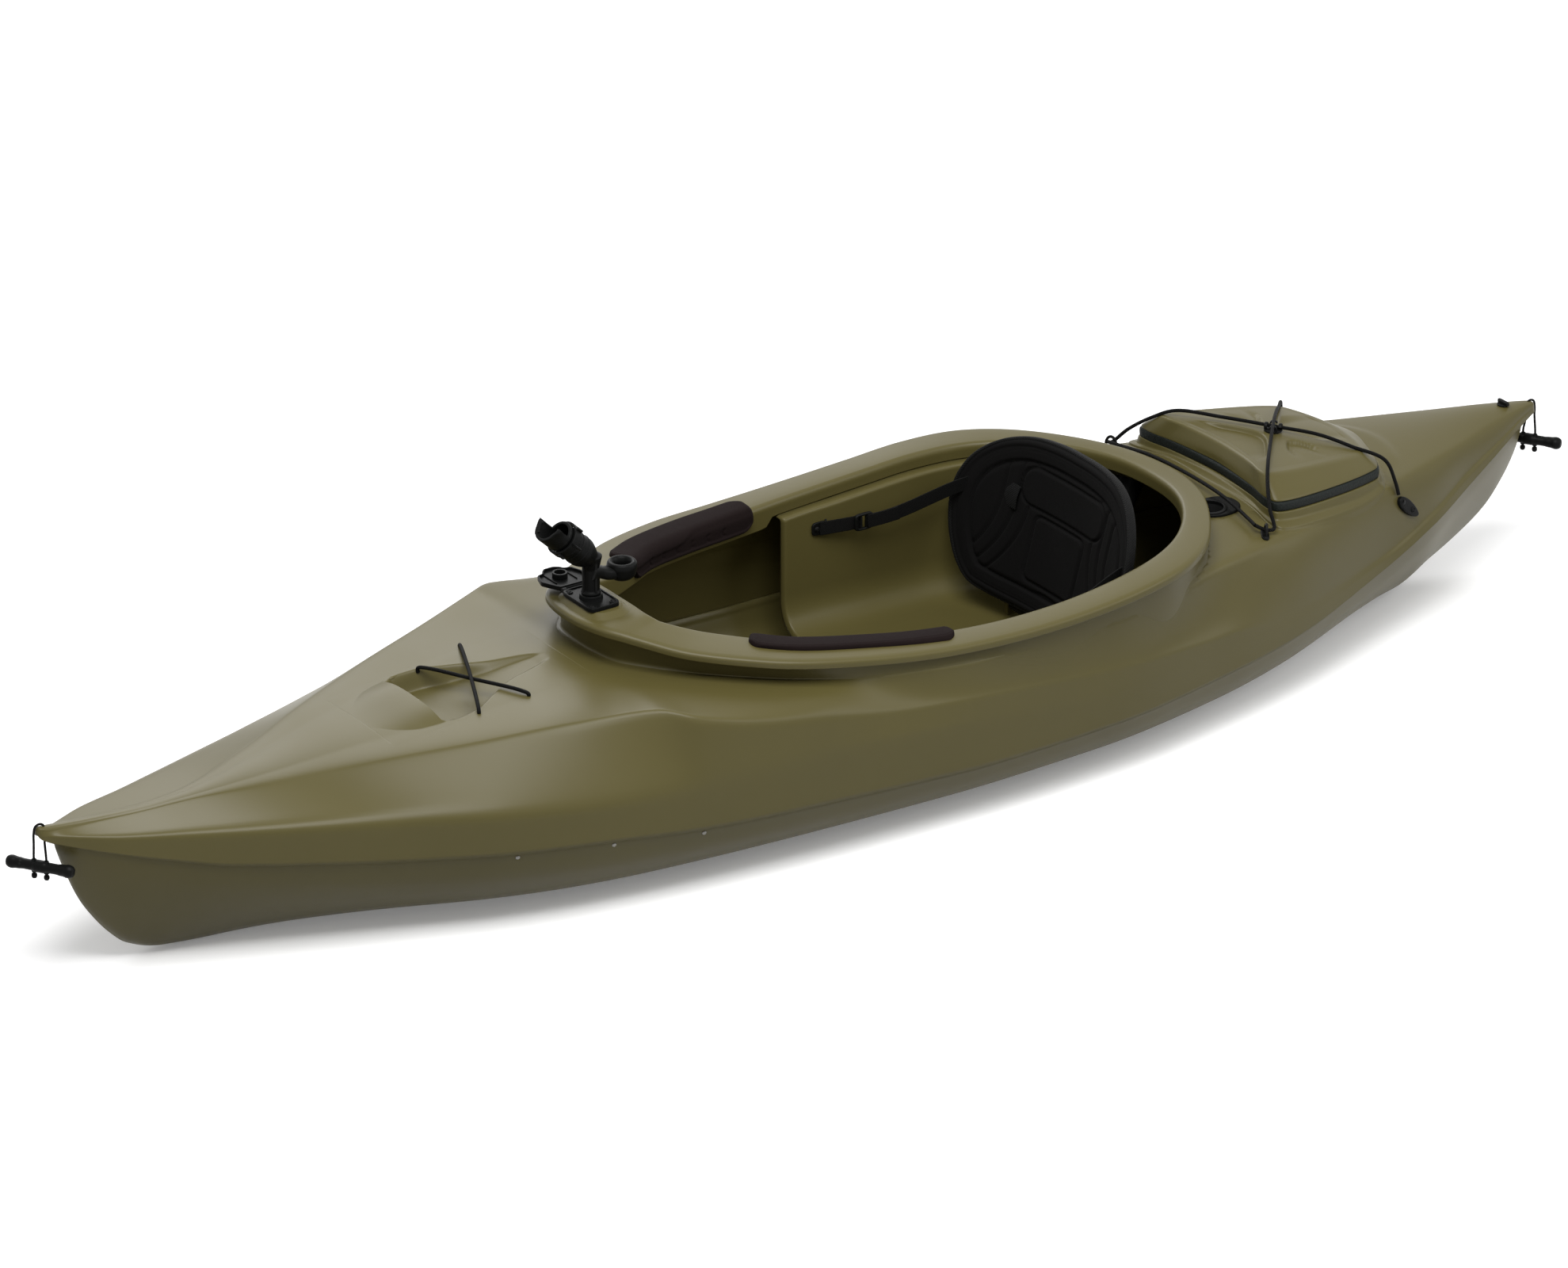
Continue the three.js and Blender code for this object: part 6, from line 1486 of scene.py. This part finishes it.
def build_cover():
    """Cover: a tray on the hinge, with a rim, two notches, a round boss and its knuckle."""
    shares = [
        (-0.3, 0), (-0.42, -0.25), (-0.5, -0.45), (-0.4, -0.78), (-0.24, -0.82), (-0.22, -0.9), (-0.1, -1), (0.12, -1),
        (0.22, -0.9), (0.24, -0.82), (0.4, -0.78), (0.5, -0.45), (0.42, -0.25), (0.3, 0),
    ]
    extent = np.array([0.084, 0.076])
    outline = rounded_outline(shares, 0.004, extent)
    middle = outline.mean(0)
    inner = middle + (outline - middle) * (1 - 0.0074 / extent)
    here = (HOLDER, PIN_Y, PIN_Z - 0.002)
    boss = (HOLDER, PIN_Y - 0.0418, PIN_Z + 0.0018)
    knuckle = [(0, -0.0165), (0.004, -0.0165), (0.004, 0.0165), (0, 0.0165)]
    shells = [
        plate(outline, 0, 0.0036, 0.001, here),
        plate(outline, 0.0015, 0.008, 0.0009, here, hole=inner),
        lathe([(0.0086, 0), (0.0132, 0), (0.0128, 0.0092), (0.0092, 0.0092)], boss, None, 0.0008, 44, 4, hole=True),
        lathe(knuckle, (HOLDER, PIN_Y, PIN_Z), basis((1, 0, 0), UP), 0.0008, 24, 3),
    ]
    for shift in (-0.02, 0.02):
        rib = (HOLDER + shift, PIN_Y - 0.04, PIN_Z - 0.002)
        shells.append(plate(oval(0.0016, 0.04, 5, 24), 0.002, 0.0058, 0.0005, rib))
    fitting("holder_lid", shells, "holder_cover", "cover", angle=40)


def around_axis(radius, angle, height):
    """Rows of a section (radius, height) carried round the local z axis over some angles."""
    parts = np.broadcast_arrays(radius * np.cos(angle)[:, None], radius * np.sin(angle)[:, None], height[None])
    return np.stack(parts, -1)


def build_holder_body():
    """Rod holder: a ribbed neck, a sloping barrel with a bore, an open cradle at its end and a cup behind."""
    foot = PLATFORM_TOP + 0.0136
    tilt = np.radians(43)
    axis = np.array([np.cos(tilt), 0, np.sin(tilt)])
    turn = basis(axis, (np.sin(tilt), 0, -np.cos(tilt)))
    start = np.array([HOLDER + 0.0042, 0, foot + 0.065])
    neck = [
        (0, -0.011), (0.0102, -0.011), (0.0102, -0.0006), (0.0168, 0.0004), (0.0168, 0.0045), (0.0142, 0.007),
        (0.0138, 0.045), (0.019, 0.068), (0, 0.078),
    ]
    barrel = [
        (0, -0.016), (0.012, -0.014), (0.0235, 0.012), (0.0258, 0.02), (0.0258, 0.052), (0.0246, 0.054),
        (0.0246, 0.074), (0.026, 0.076), (0.026, 0.0815), (0.0208, 0.0815), (0.0206, 0.05), (0, 0.048),
    ]
    shells = [
        lathe(neck, (HOLDER, 0, foot), None, 0.002, 48, 4),
        lathe(barrel, start, turn, 0.0014, 64, 4),
    ]
    for angle in (0, 90):
        shells.append(plate(oval(0.0335, 0.0052, 6, 36), 0.003, 0.062, 0.0012, (HOLDER, 0, foot), spin(angle)))
    sweep = np.radians(np.linspace(-104, 104, 54))
    strip = oval(0.0052, 0.0325, 8, 36)
    radius = 0.0234 + strip[None, :, 0]
    flare = 0.004 * smooth((np.abs(sweep) - 1.2) / 0.6)[:, None] * smooth(strip[None, :, 1] / 0.01)
    local = around_axis(radius + flare, sweep, 0.0945 + strip[:, 1])
    shells.append(shell_of(placed(local, start, turn), around=True, poles=("first", "last")))
    hook = np.radians(np.linspace(-100, -40, 16))
    lip = oval(0.009, 0.004, 4, 20)
    reach = 0.0222 + lip[None, :, 0]
    local = around_axis(reach, hook, 0.1086 + lip[:, 1])
    shells.append(shell_of(placed(local, start, turn), around=True, poles=("first", "last")))
    for z in (0.03, 0.0445):
        hoop = [(0.0235, z - 0.0018), (0.0266, z - 0.0012), (0.0266, z + 0.0012), (0.0235, z + 0.0018)]
        shells.append(lathe(hoop, start, turn, 0.0005, 64, 3, hole=True))
    top = foot + 0.042
    run = np.array([
        [HOLDER + 0.004, 0, top - 0.002], [HOLDER - 0.012, 0, top - 0.006], [HOLDER - 0.03, 0, top - 0.0135],
        [HOLDER - 0.047, 0, top - 0.016],
    ])
    share = np.linspace(0, 1, 20)
    waist = np.interp(share, [0, 0.4, 1], [1.25, 0.95, 1.0])
    shells.append(swept(curve_through(run, share), oval(0.03, 0.021, 3, 32), UP, scale=waist))
    cup = [
        (0, -0.031), (0.015, -0.031), (0.0232, -0.024), (0.0262, -0.006), (0.0235, 0.0015), (0.0165, 0.0015),
        (0.0125, -0.007), (0.0125, -0.021), (0, -0.022),
    ]
    shells.append(lathe(cup, (HOLDER - 0.061, 0, top), None, 0.0046, 56, 6))
    fitting("holder_body", shells, "rod_holder_body", "holder_swivel", angle=40)
    band = [(0.0264, 0.057), (0.0302, 0.0575), (0.0302, 0.0725), (0.0264, 0.073)]
    shells = [lathe(band, start, turn, 0.0008, 64, 4, hole=True)]
    for at, reach in ((90, 0.013), (-90, 0.006), (35, 0.004), (145, 0.004)):
        local = spin(at) @ turn
        centre = start + local[0] * (0.0285 + reach / 2)
        shells.append(plate(oval(reach + 0.005, 0.0042, 4, 28), 0.0586, 0.0714, 0.001, centre, local))
    fitting("lock_ring", shells, "holder_lock_ring", "holder_lock", angle=40)


# Fittings and cords


def build_rod_tubes():
    """Rod tubes: an oval flange with a raised lip, and a sloping tube whose rim is cut to the flange's plane."""
    for name, side in SIDES:
        x, y = ROD_TUBE[0], ROD_TUBE[1] * side
        origin = np.array([x, y, float(deck_top(x, y))])
        turn = basis(deck_normal(x, y))
        mouth = oval(0.0485, 0.044, 2, 72) + [0.0135, 0]
        shells = [
            plate(oval(0.088, 0.066, 2.25, 72), -0.003, 0.0046, 0.002, origin, turn, hole=mouth),
            plate(oval(0.062, 0.0565, 2, 72) + [0.0135, 0], 0.002, 0.0066, 0.0014, origin, turn, hole=mouth),
        ]
        tilt = np.radians(27)
        c, s = np.cos(tilt), np.sin(tilt)
        phi = np.linspace(0, 2 * np.pi, 56, endpoint=False)
        rows = []
        for radius, height in (
            (0.002, -0.19), (0.023, -0.19), (0.025, -0.187), (0.025, None), (0.0216, None), (0.0215, -0.184),
            (0.002, -0.184),
        ):
            px, py = radius * np.cos(phi) + 0.012, radius * np.sin(phi)
            t = np.full_like(phi, height) if height is not None else (0.003 - px * s) / c
            rows.append(np.stack([px * c - t * s, py, px * s + t * c], -1))
        shells.append(shell_of(np.stack(rows) + origin, around=True, poles=("first", "last")))
        fitting(f"rod_socket_{name}", shells, f"rod_tube_{name}")


def build_deck_fittings():
    """Pad eyes, cord cleats, the drain plug, the crossing clip and the screws that hold the foot braces."""
    for name, side in SIDES:
        x, y = PAD_EYE[0], PAD_EYE[1] * side
        origin = np.array([x, y, float(deck_top(x, y))])
        turn = basis(deck_normal(x, y), (0.5, 0.85 * side, 0))
        bend = np.linspace(0, np.pi, 22)
        heads = np.array([[0.0152, 0, 0.0028], [-0.0152, 0, 0.0028]])
        arch = np.stack([0.0098 * np.cos(bend), 0 * bend, 0.0005 + 0.0185 * np.sin(bend) ** 0.8], -1)
        shells = [
            plate(oval(0.038, 0.014, 3, 48), -0.002, 0.003, 0.0012, origin, turn),
            swept(placed(arch, origin, turn), oval(0.0052, 0.0052, 2, 14), tuple(turn[1])),
            *(screw(spot, turn[2], 0.0032) for spot in placed(heads, origin, turn)),
        ]
        fitting(f"eye_{name}", shells, f"pad_eye_{name}")
        normal = side_normal(*CLEAT) * [1, side, 1]
        origin = np.array([CLEAT[0], deck_side(*CLEAT) * side, CLEAT[1]])
        turn = basis(normal, (0.75, 0, 0.66))
        shares = [
            (0.5, 0), (0.44, 0.32), (0.25, 0.48), (0, 0.5), (-0.3, 0.36), (-0.47, 0.16), (-0.5, 0), (-0.47, -0.16),
            (-0.3, -0.36), (0, -0.5), (0.25, -0.48), (0.44, -0.32),
        ]
        outline = curve_through(np.array(shares) * [0.062, 0.023], ring_shares(60), closed=True)
        washer = [(0.0038, -0.001), (0.0054, -0.001), (0.005, 0.0012), (0.0038, 0.0012)]
        mouth = [(0.0034, -0.004), (0.0062, -0.004), (0.0056, 0.002), (0.0034, 0.002)]
        spots = np.array([[-0.009, 0, 0.0078], [-0.009, 0, 0.0074], [0.0235, 0, 0.0045]])
        seat, head, eyelet = placed(spots, origin, turn)
        shells = [
            plate(outline, -0.003, 0.0078, 0.0034, origin, turn, 6),
            lathe(washer, seat, turn, 0.0005, 26, 3, hole=True),
            screw(head, turn[2], 0.0036),
            lathe(mouth, eyelet, basis(turn[0] + 0.5 * turn[2], turn[1]), 0.0008, 26, 3, hole=True),
        ]
        fitting(f"cleat_{name}", shells, f"cord_cleat_{name}")
        heads = []
        for x in (0.466, 0.63, 0.794):
            z = float(height_of(OFFSETS, 2, station_share(x))) - 0.0075
            reach = hull_side(x, z)
            slope = (hull_side(x + 0.01, z) - hull_side(x - 0.01, z)) / 0.02
            lean = (hull_side(x, z + 0.004) - hull_side(x, z - 0.006)) / 0.01
            heads.append(screw((x, (reach + 0.0002) * side, z), (-slope, side, -lean), 0.004))
        publish(f"brace_screws_{name}", heads, "Stainless steel", "boat", "steel", weighted=False)
    z = float(deck_top(PLUG, 0)) + 0.0012
    stopper = [(0, -0.012), (0.007, -0.012), (0.007, -0.0002), (0.011, -0.0002), (0.011, 0.0026), (0, 0.003)]
    shells = [
        lathe(stopper, (PLUG, 0, z), None, 0.0008, 40, 4),
        plate(oval(0.0075, 0.027, 4, 44), 0.001, 0.0082, 0.0018, (PLUG, 0, z)),
    ]
    fitting("plug", shells, "drain_plug", "plug")
    x, z = CLIP_X, float(lid_top(CLIP_X)) + size("lid_crown") + 0.0016
    disc = [(0, 0), (0.0165, 0), (0.016, 0.0028), (0.0095, 0.0038), (0, 0.004)]
    shells = [lathe(disc, (x, 0, z), None, 0.001, 40, 4)]
    bow = np.radians(np.linspace(-35, 160, 16))[:, None]
    for lean in (49, 131, 229, 311):
        out, across, rise = spin(lean)
        foot = np.array([x, 0, z + 0.0062]) + out * 0.0125
        arc = foot + across * (0.0062 * np.cos(bow)) + rise * (0.0062 * np.sin(bow))
        shells.append(swept(arc, oval(0.0028, 0.006, 3, 16), tuple(out)))
    fitting("crossing_clip", shells, "bungee_clip", "lid")


def toggle_places(end):
    """Middle of a toggle and its two strands' places in plan."""
    middle = np.array([(half_length() - HOLE + 0.0094) * end, 0, DECK_TIP - 0.072])
    across = np.radians(124)
    step = 0.011 * np.array([np.cos(across), np.sin(across), 0])
    return middle, middle - end * step, middle + end * step


def build_toggles():
    """Carrying toggles: a waisted grip with swollen ends and two collars, lying across its loop of cord."""
    for name, end in (("bow", 1), ("stern", -1)):
        middle, outer, inner = toggle_places(end)
        turn = basis(spin(34)[1], UP)
        profile = [
            (0, 0.0597), (0.0068, 0.0595), (0.0102, 0.055), (0.0113, 0.049), (0.0096, 0.042), (0.0096, 0.036),
            (0.0086, 0.03), (0.0088, 0.012), (0.0104, 0.008),
        ]
        profile += [(r, -z) for r, z in reversed(profile)]
        shells = [lathe(profile[::-1], middle, turn, 0.004, 40)]
        collar = [(0.0026, -0.0112), (0.0044, -0.0112), (0.0044, 0.0112), (0.0026, 0.0112)]
        for spot in (outer, inner):
            shells.append(lathe(collar, spot, None, 0.001, 24, 3, hole=True))
        fitting(f"{name}_grip", shells, f"{name}_toggle", f"{name}_handle", angle=50)


def strand(name, route, node, diameter, blend=None):
    """A cord as a tube along a dense route. It rides on the boat, or with a blend it gets no parent and its
    transform is baked."""
    section = oval(diameter, diameter, count=10)
    length = float(lengths(route).sum())
    body = None if blend else "boat"
    piece = publish(name, [swept(route, section)], "Elastic cord", body, "cord", [node], weighted=False)
    if blend:
        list(blend[:2])
        tuple(blend[2])
        tuple(blend[3])
        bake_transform(piece)
    return piece


def build_cords():
    """Cords: two over the recess, four arms over the lid and the run between the pad eyes, and the loops."""
    hull = np.array([half_length(), half_beam(), deck_height()])
    cord = size("cord")
    for name, shares in (("a", FORE_CORD_A), ("b", FORE_CORD_B)):
        route = curve_through(np.array(shares) * hull, np.linspace(0, 1, 90))
        strand(f"fore_cord_{name}", route, f"fore_bungee_{name}", cord)
    top = float(lid_top(CLIP_X)) + size("lid_crown") + cord / 4 + 0.003 + cord / 2 + 0.0012
    eye_z = float(deck_top(*PAD_EYE)) + 0.0096
    eye = np.array([[PAD_EYE[0], PAD_EYE[1], eye_z], [PAD_EYE[0] + 0.014, PAD_EYE[1] - 0.0095, eye_z + 0.0077]])
    for name, side, rise in (("port", 1, 0.0), ("starboard", -1, cord + 0.0003)):
        flip = np.array([1, side, 1])
        points = np.array(LID_CORD) * hull * flip
        crossing = np.array([[CLIP_X, 0, top + rise]])
        whole_run = np.vstack([points[:5], crossing, points[5:], eye * [1, -side, 1]])
        share = np.linspace(0, 1, 320)
        route = curve_through(whole_run, share)
        split = int(np.argmin(np.abs(share - 5 / (len(whole_run) - 1))))
        aft, fore = route[: split + 1], route[split:]
        for part, run, ends in (("aft", aft, (aft[0], aft[70])), ("fore", fore[::-1], (fore[-12], fore[-95]))):
            strand(f"lid_cord_{part}_{name}", run, "rear_bungee", cord, ("boat", "lid", *ends))
    front = np.vstack([eye[1:] * [1, -1, 1], np.array(FRONT_CORD) * hull, eye[1:]])
    strand("front_cord", curve_through(front, np.linspace(0, 1, 120)), "rear_bungee", cord)
    for name, end in (("bow", 1), ("stern", -1)):
        middle, outer, inner = toggle_places(end)
        thick = 0.004
        knot = middle[2] - 0.0115 - 0.0035
        over = np.array([[(half_length() - HOLE + r * thick) * end, 0, DECK_TIP + h * thick] for r, h in STRAND])
        rises = np.array([
            [*p[:2], middle[2] + h] for p, order in ((outer, (0.0069, 0.017)), (inner, (0.017, 0.0069))) for h in order
        ])
        points = np.vstack([[[*outer[:2], knot]], rises[:2], over, rises[2:], [[*inner[:2], knot]]])
        route = curve_through(points, np.linspace(0, 1, 160))
        ball = [(0, -0.0052), (0.0036, -0.0046), (0.005, -0.001), (0.0044, 0.003), (0.002, 0.0046), (0, 0.0047)]
        ends = [lathe(ball, (*p[:2], knot - 0.0025), None, 0.0012, 20, 3) for p in (outer, inner)]
        node, handle = f"{name}_toggle_cord", f"{name}_handle"
        knots = publish(f"{name}_knots", ends, "Elastic cord", handle, "cord", [node], weighted=False)
        strand(
            f"{name}_loop", route, node, thick,
            ("boat", handle, (over[0][0], 0, DECK_TIP - 0.006), (middle[0], 0, DECK_TIP - 0.04)),
        )


def dress_frame():
    """The CAD pieces whose shape is right take a finish: the foot braces, the backrest's frame and its pin."""
    for name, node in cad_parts.items():
        if name.startswith(("brace_rail", "foot_pedal", "backrest_frame", "hinge_pin")):
            finish = "Stainless steel" if name == "hinge_pin" else "Black nylon"
            node.data.materials.clear()
            node.data.materials.append(bpy.data.materials[finish])


# Stage

# Camera fitted to the photo: widths of the sensor in mm and of the photo in pixels, focal length in pixels,
# turn, rise and roll in degrees, the point looked at and the distance from it.
SENSOR, PHOTO_WIDTH, FOCAL = 36, 1979, 12000
CAMERA_ANGLES = (34.43, 25.0, 0.2)
CAMERA_TARGET, CAMERA_DISTANCE = (0.075, 0, 0.24), 15.95


def plain_rays(tree):
    """1 for camera, glossy and transmission rays, which see the plain background, and 0 for the rest."""
    path = tree.nodes.new("ShaderNodeLightPath")
    both = math_node(tree, "MAXIMUM", path.outputs["Is Camera Ray"], path.outputs["Is Glossy Ray"])
    return math_node(tree, "MAXIMUM", both, path.outputs["Is Transmission Ray"])


def build_stage():
    """Pale floor, soft overhead and side light, and a long-lens camera at the viewing angle."""
    floor = bpy.data.meshes.new("studio_floor")
    extent = 60.0
    corners = [(-extent, -extent, 0), (extent, -extent, 0), (extent, extent, 0), (-extent, extent, 0)]
    floor.from_pydata(corners, [], [(0, 1, 2, 3)])
    stage = bpy.data.objects.new("studio_floor", floor)
    bpy.context.scene.collection.objects.link(stage)
    paint = bpy.data.materials.new("Studio floor")
    paint.use_nodes = True
    tree = paint.node_tree
    shader = tree.nodes["Principled BSDF"]
    shade = tree.nodes.new("ShaderNodeMix")
    shade.data_type = "RGBA"
    shade.inputs["A"].default_value = (0.34, 0.34, 0.34, 1)
    shade.inputs["B"].default_value = (0.93, 0.93, 0.93, 1)
    seen = plain_rays(tree)
    tree.links.new(seen, shade.inputs["Factor"])
    tree.links.new(shade.outputs["Result"], shader.inputs["Base Color"])
    tree.links.new(math_node(tree, "MULTIPLY", seen, 0.16), shader.inputs["Emission Strength"])
    shader.inputs["Emission Color"].default_value = (1, 1, 1, 1)
    shader.inputs["Roughness"].default_value = 0.9
    shader.inputs["Specular IOR Level"].default_value = 0.0
    floor.materials.append(paint)

    camera_data = bpy.data.cameras.new("camera")
    camera_data.sensor_width = SENSOR
    camera_data.lens = SENSOR * FOCAL / PHOTO_WIDTH
    camera_data.clip_end = 200
    camera = bpy.data.objects.new("camera", camera_data)
    bpy.context.scene.collection.objects.link(camera)
    turn, rise, roll = np.radians(CAMERA_ANGLES)
    back = np.array([np.sin(turn) * np.cos(rise), np.cos(turn) * np.cos(rise), np.sin(rise)])
    right = np.array([-np.cos(turn), np.sin(turn), 0.0])
    up = np.cross(back, right)
    right, up = np.cos(roll) * right + np.sin(roll) * up, -np.sin(roll) * right + np.cos(roll) * up
    place = np.array(CAMERA_TARGET) + back * CAMERA_DISTANCE
    pose = Matrix.Identity(4)
    for row in range(3):
        pose[row][0], pose[row][1], pose[row][2], pose[row][3] = right[row], up[row], back[row], place[row]
    camera.matrix_world = pose
    bpy.context.scene.camera = camera

    world = bpy.data.worlds.new("studio")
    world.use_nodes = True
    nodes, links = world.node_tree.nodes, world.node_tree.links
    ground = nodes["Background"]
    ground.inputs["Color"].default_value = (1, 1, 1, 1)
    ground.inputs["Strength"].default_value = 0.42
    bright = nodes.new("ShaderNodeBackground")
    bright.inputs["Color"].default_value = (1, 1, 1, 1)
    blend = nodes.new("ShaderNodeMixShader")
    links.new(plain_rays(world.node_tree), blend.inputs[0])
    links.new(ground.outputs[0], blend.inputs[1])
    links.new(bright.outputs[0], blend.inputs[2])
    links.new(blend.outputs[0], nodes["World Output"].inputs[0])
    bpy.context.scene.world = world

    for name, spot, target, extent, power in (
        ("key", (1.2, 1.8, 5.0), (0, 0, 0.2), 3.0, 270),
        ("fill", (-3.5, 3.2, 3.0), (0, 0, 0.2), 3.0, 75),
        ("rim", (-1.0, -4.0, 3.2), (0, 0, 0.3), 3.0, 90),
    ):
        lamp_data = bpy.data.lights.new(name, "AREA")
        lamp_data.energy = power
        lamp_data.size = extent
        lamp = bpy.data.objects.new(name, lamp_data)
        spot, target = np.array(spot), np.array(target)
        z = (spot - target) / np.linalg.norm(spot - target)
        x = np.cross(UP, z)
        x /= np.linalg.norm(x)
        y = np.cross(z, x)
        lamp.matrix_world = Matrix([[x[i], y[i], z[i], spot[i]] for i in range(3)] + [[0, 0, 0, 1]])
        bpy.context.scene.collection.objects.link(lamp)
    bpy.context.scene.view_settings.view_transform = "Standard"


# Operators


class KAYAK_OT_hull(bpy.types.Operator):
    """Build the hull and the deck with its recess, coaming and platform"""

    bl_idname = "kayak.hull"
    bl_label = "Hull and Deck"

    def execute(self, context):
        build_hull()
        build_deck()
        build_foredeck()
        build_coaming()
        build_platform()
        return {"FINISHED"}


class KAYAK_OT_hatch(bpy.types.Operator):
    """Build the hatch land, the gasket and the lid"""

    bl_idname = "kayak.hatch"
    bl_label = "Hatch"

    def execute(self, context):
        build_hatch_land()
        build_gasket()
        build_lid()
        return {"FINISHED"}


class KAYAK_OT_seat(bpy.types.Operator):
    """Build the seat, the backrest, the thigh pads and the straps"""

    bl_idname = "kayak.seat"
    bl_label = "Seat and Pads"

    def execute(self, context):
        build_seat()
        build_backrest()
        build_thigh_pads()
        build_straps()
        return {"FINISHED"}


class KAYAK_OT_holder(bpy.types.Operator):
    """Build the rod holder with its base, cover and lock ring"""

    bl_idname = "kayak.holder"
    bl_label = "Rod Holder"

    def execute(self, context):
        build_holder_base()
        build_cover()
        build_holder_body()
        return {"FINISHED"}


class KAYAK_OT_fittings(bpy.types.Operator):
    """Build the rod tubes, the deck fittings and the toggles, and finish the foot braces"""

    bl_idname = "kayak.fittings"
    bl_label = "Fittings"

    def execute(self, context):
        build_rod_tubes()
        build_deck_fittings()
        build_toggles()
        dress_frame()
        return {"FINISHED"}


class KAYAK_OT_cords(bpy.types.Operator):
    """Build the deck cords and the toggle loops"""

    bl_idname = "kayak.cords"
    bl_label = "Cords"

    def execute(self, context):
        build_cords()
        return {"FINISHED"}


class KAYAK_OT_finishes(bpy.types.Operator):
    """Make the shared shader groups and every finish"""

    bl_idname = "kayak.finishes"
    bl_label = "Finishes"

    def execute(self, context):
        make_groups()
        make_finishes()
        return {"FINISHED"}


class KAYAK_OT_stage(bpy.types.Operator):
    """Set out the floor, the lamps and the camera"""

    bl_idname = "kayak.stage"
    bl_label = "Stage"

    def execute(self, context):
        build_stage()
        return {"FINISHED"}


OPERATORS = (
    KAYAK_OT_stage, KAYAK_OT_finishes, KAYAK_OT_cords, KAYAK_OT_hull, KAYAK_OT_hatch, KAYAK_OT_seat, KAYAK_OT_holder,
    KAYAK_OT_fittings,
)


class KAYAK_PT_panel(bpy.types.Panel):
    """Lists the kayak's pieces in the sidebar"""

    bl_idname = "KAYAK_PT_panel"
    bl_label = "Fishing Kayak"
    bl_space_type = "VIEW_3D"
    bl_region_type = "UI"
    bl_category = "Kayak"

    def draw(self, context):
        for operator in OPERATORS:
            self.layout.operator(operator.bl_idname)
        for group in (context.scene.kayak_sizes, context.scene.kayak_colours):
            box = self.layout.box()
            for name in group.__annotations__:
                box.prop(group, name)


CLASSES = (KayakSizes, KayakColours, *OPERATORS, KAYAK_PT_panel)


def register():
    for kind in CLASSES:
        bpy.utils.register_class(kind)
    bpy.types.Scene.kayak_sizes = PointerProperty(type=KayakSizes)
    bpy.types.Scene.kayak_colours = PointerProperty(type=KayakColours)


def unregister():
    del bpy.types.Scene.kayak_colours
    del bpy.types.Scene.kayak_sizes
    for kind in reversed(CLASSES):
        bpy.utils.unregister_class(kind)


def main():
    """Builds everything in order."""
    register()
    for operator in OPERATORS:
        group, action = operator.bl_idname.split(".")
        getattr(getattr(bpy.ops, group), action)()


if __name__ == "__main__":
    main()
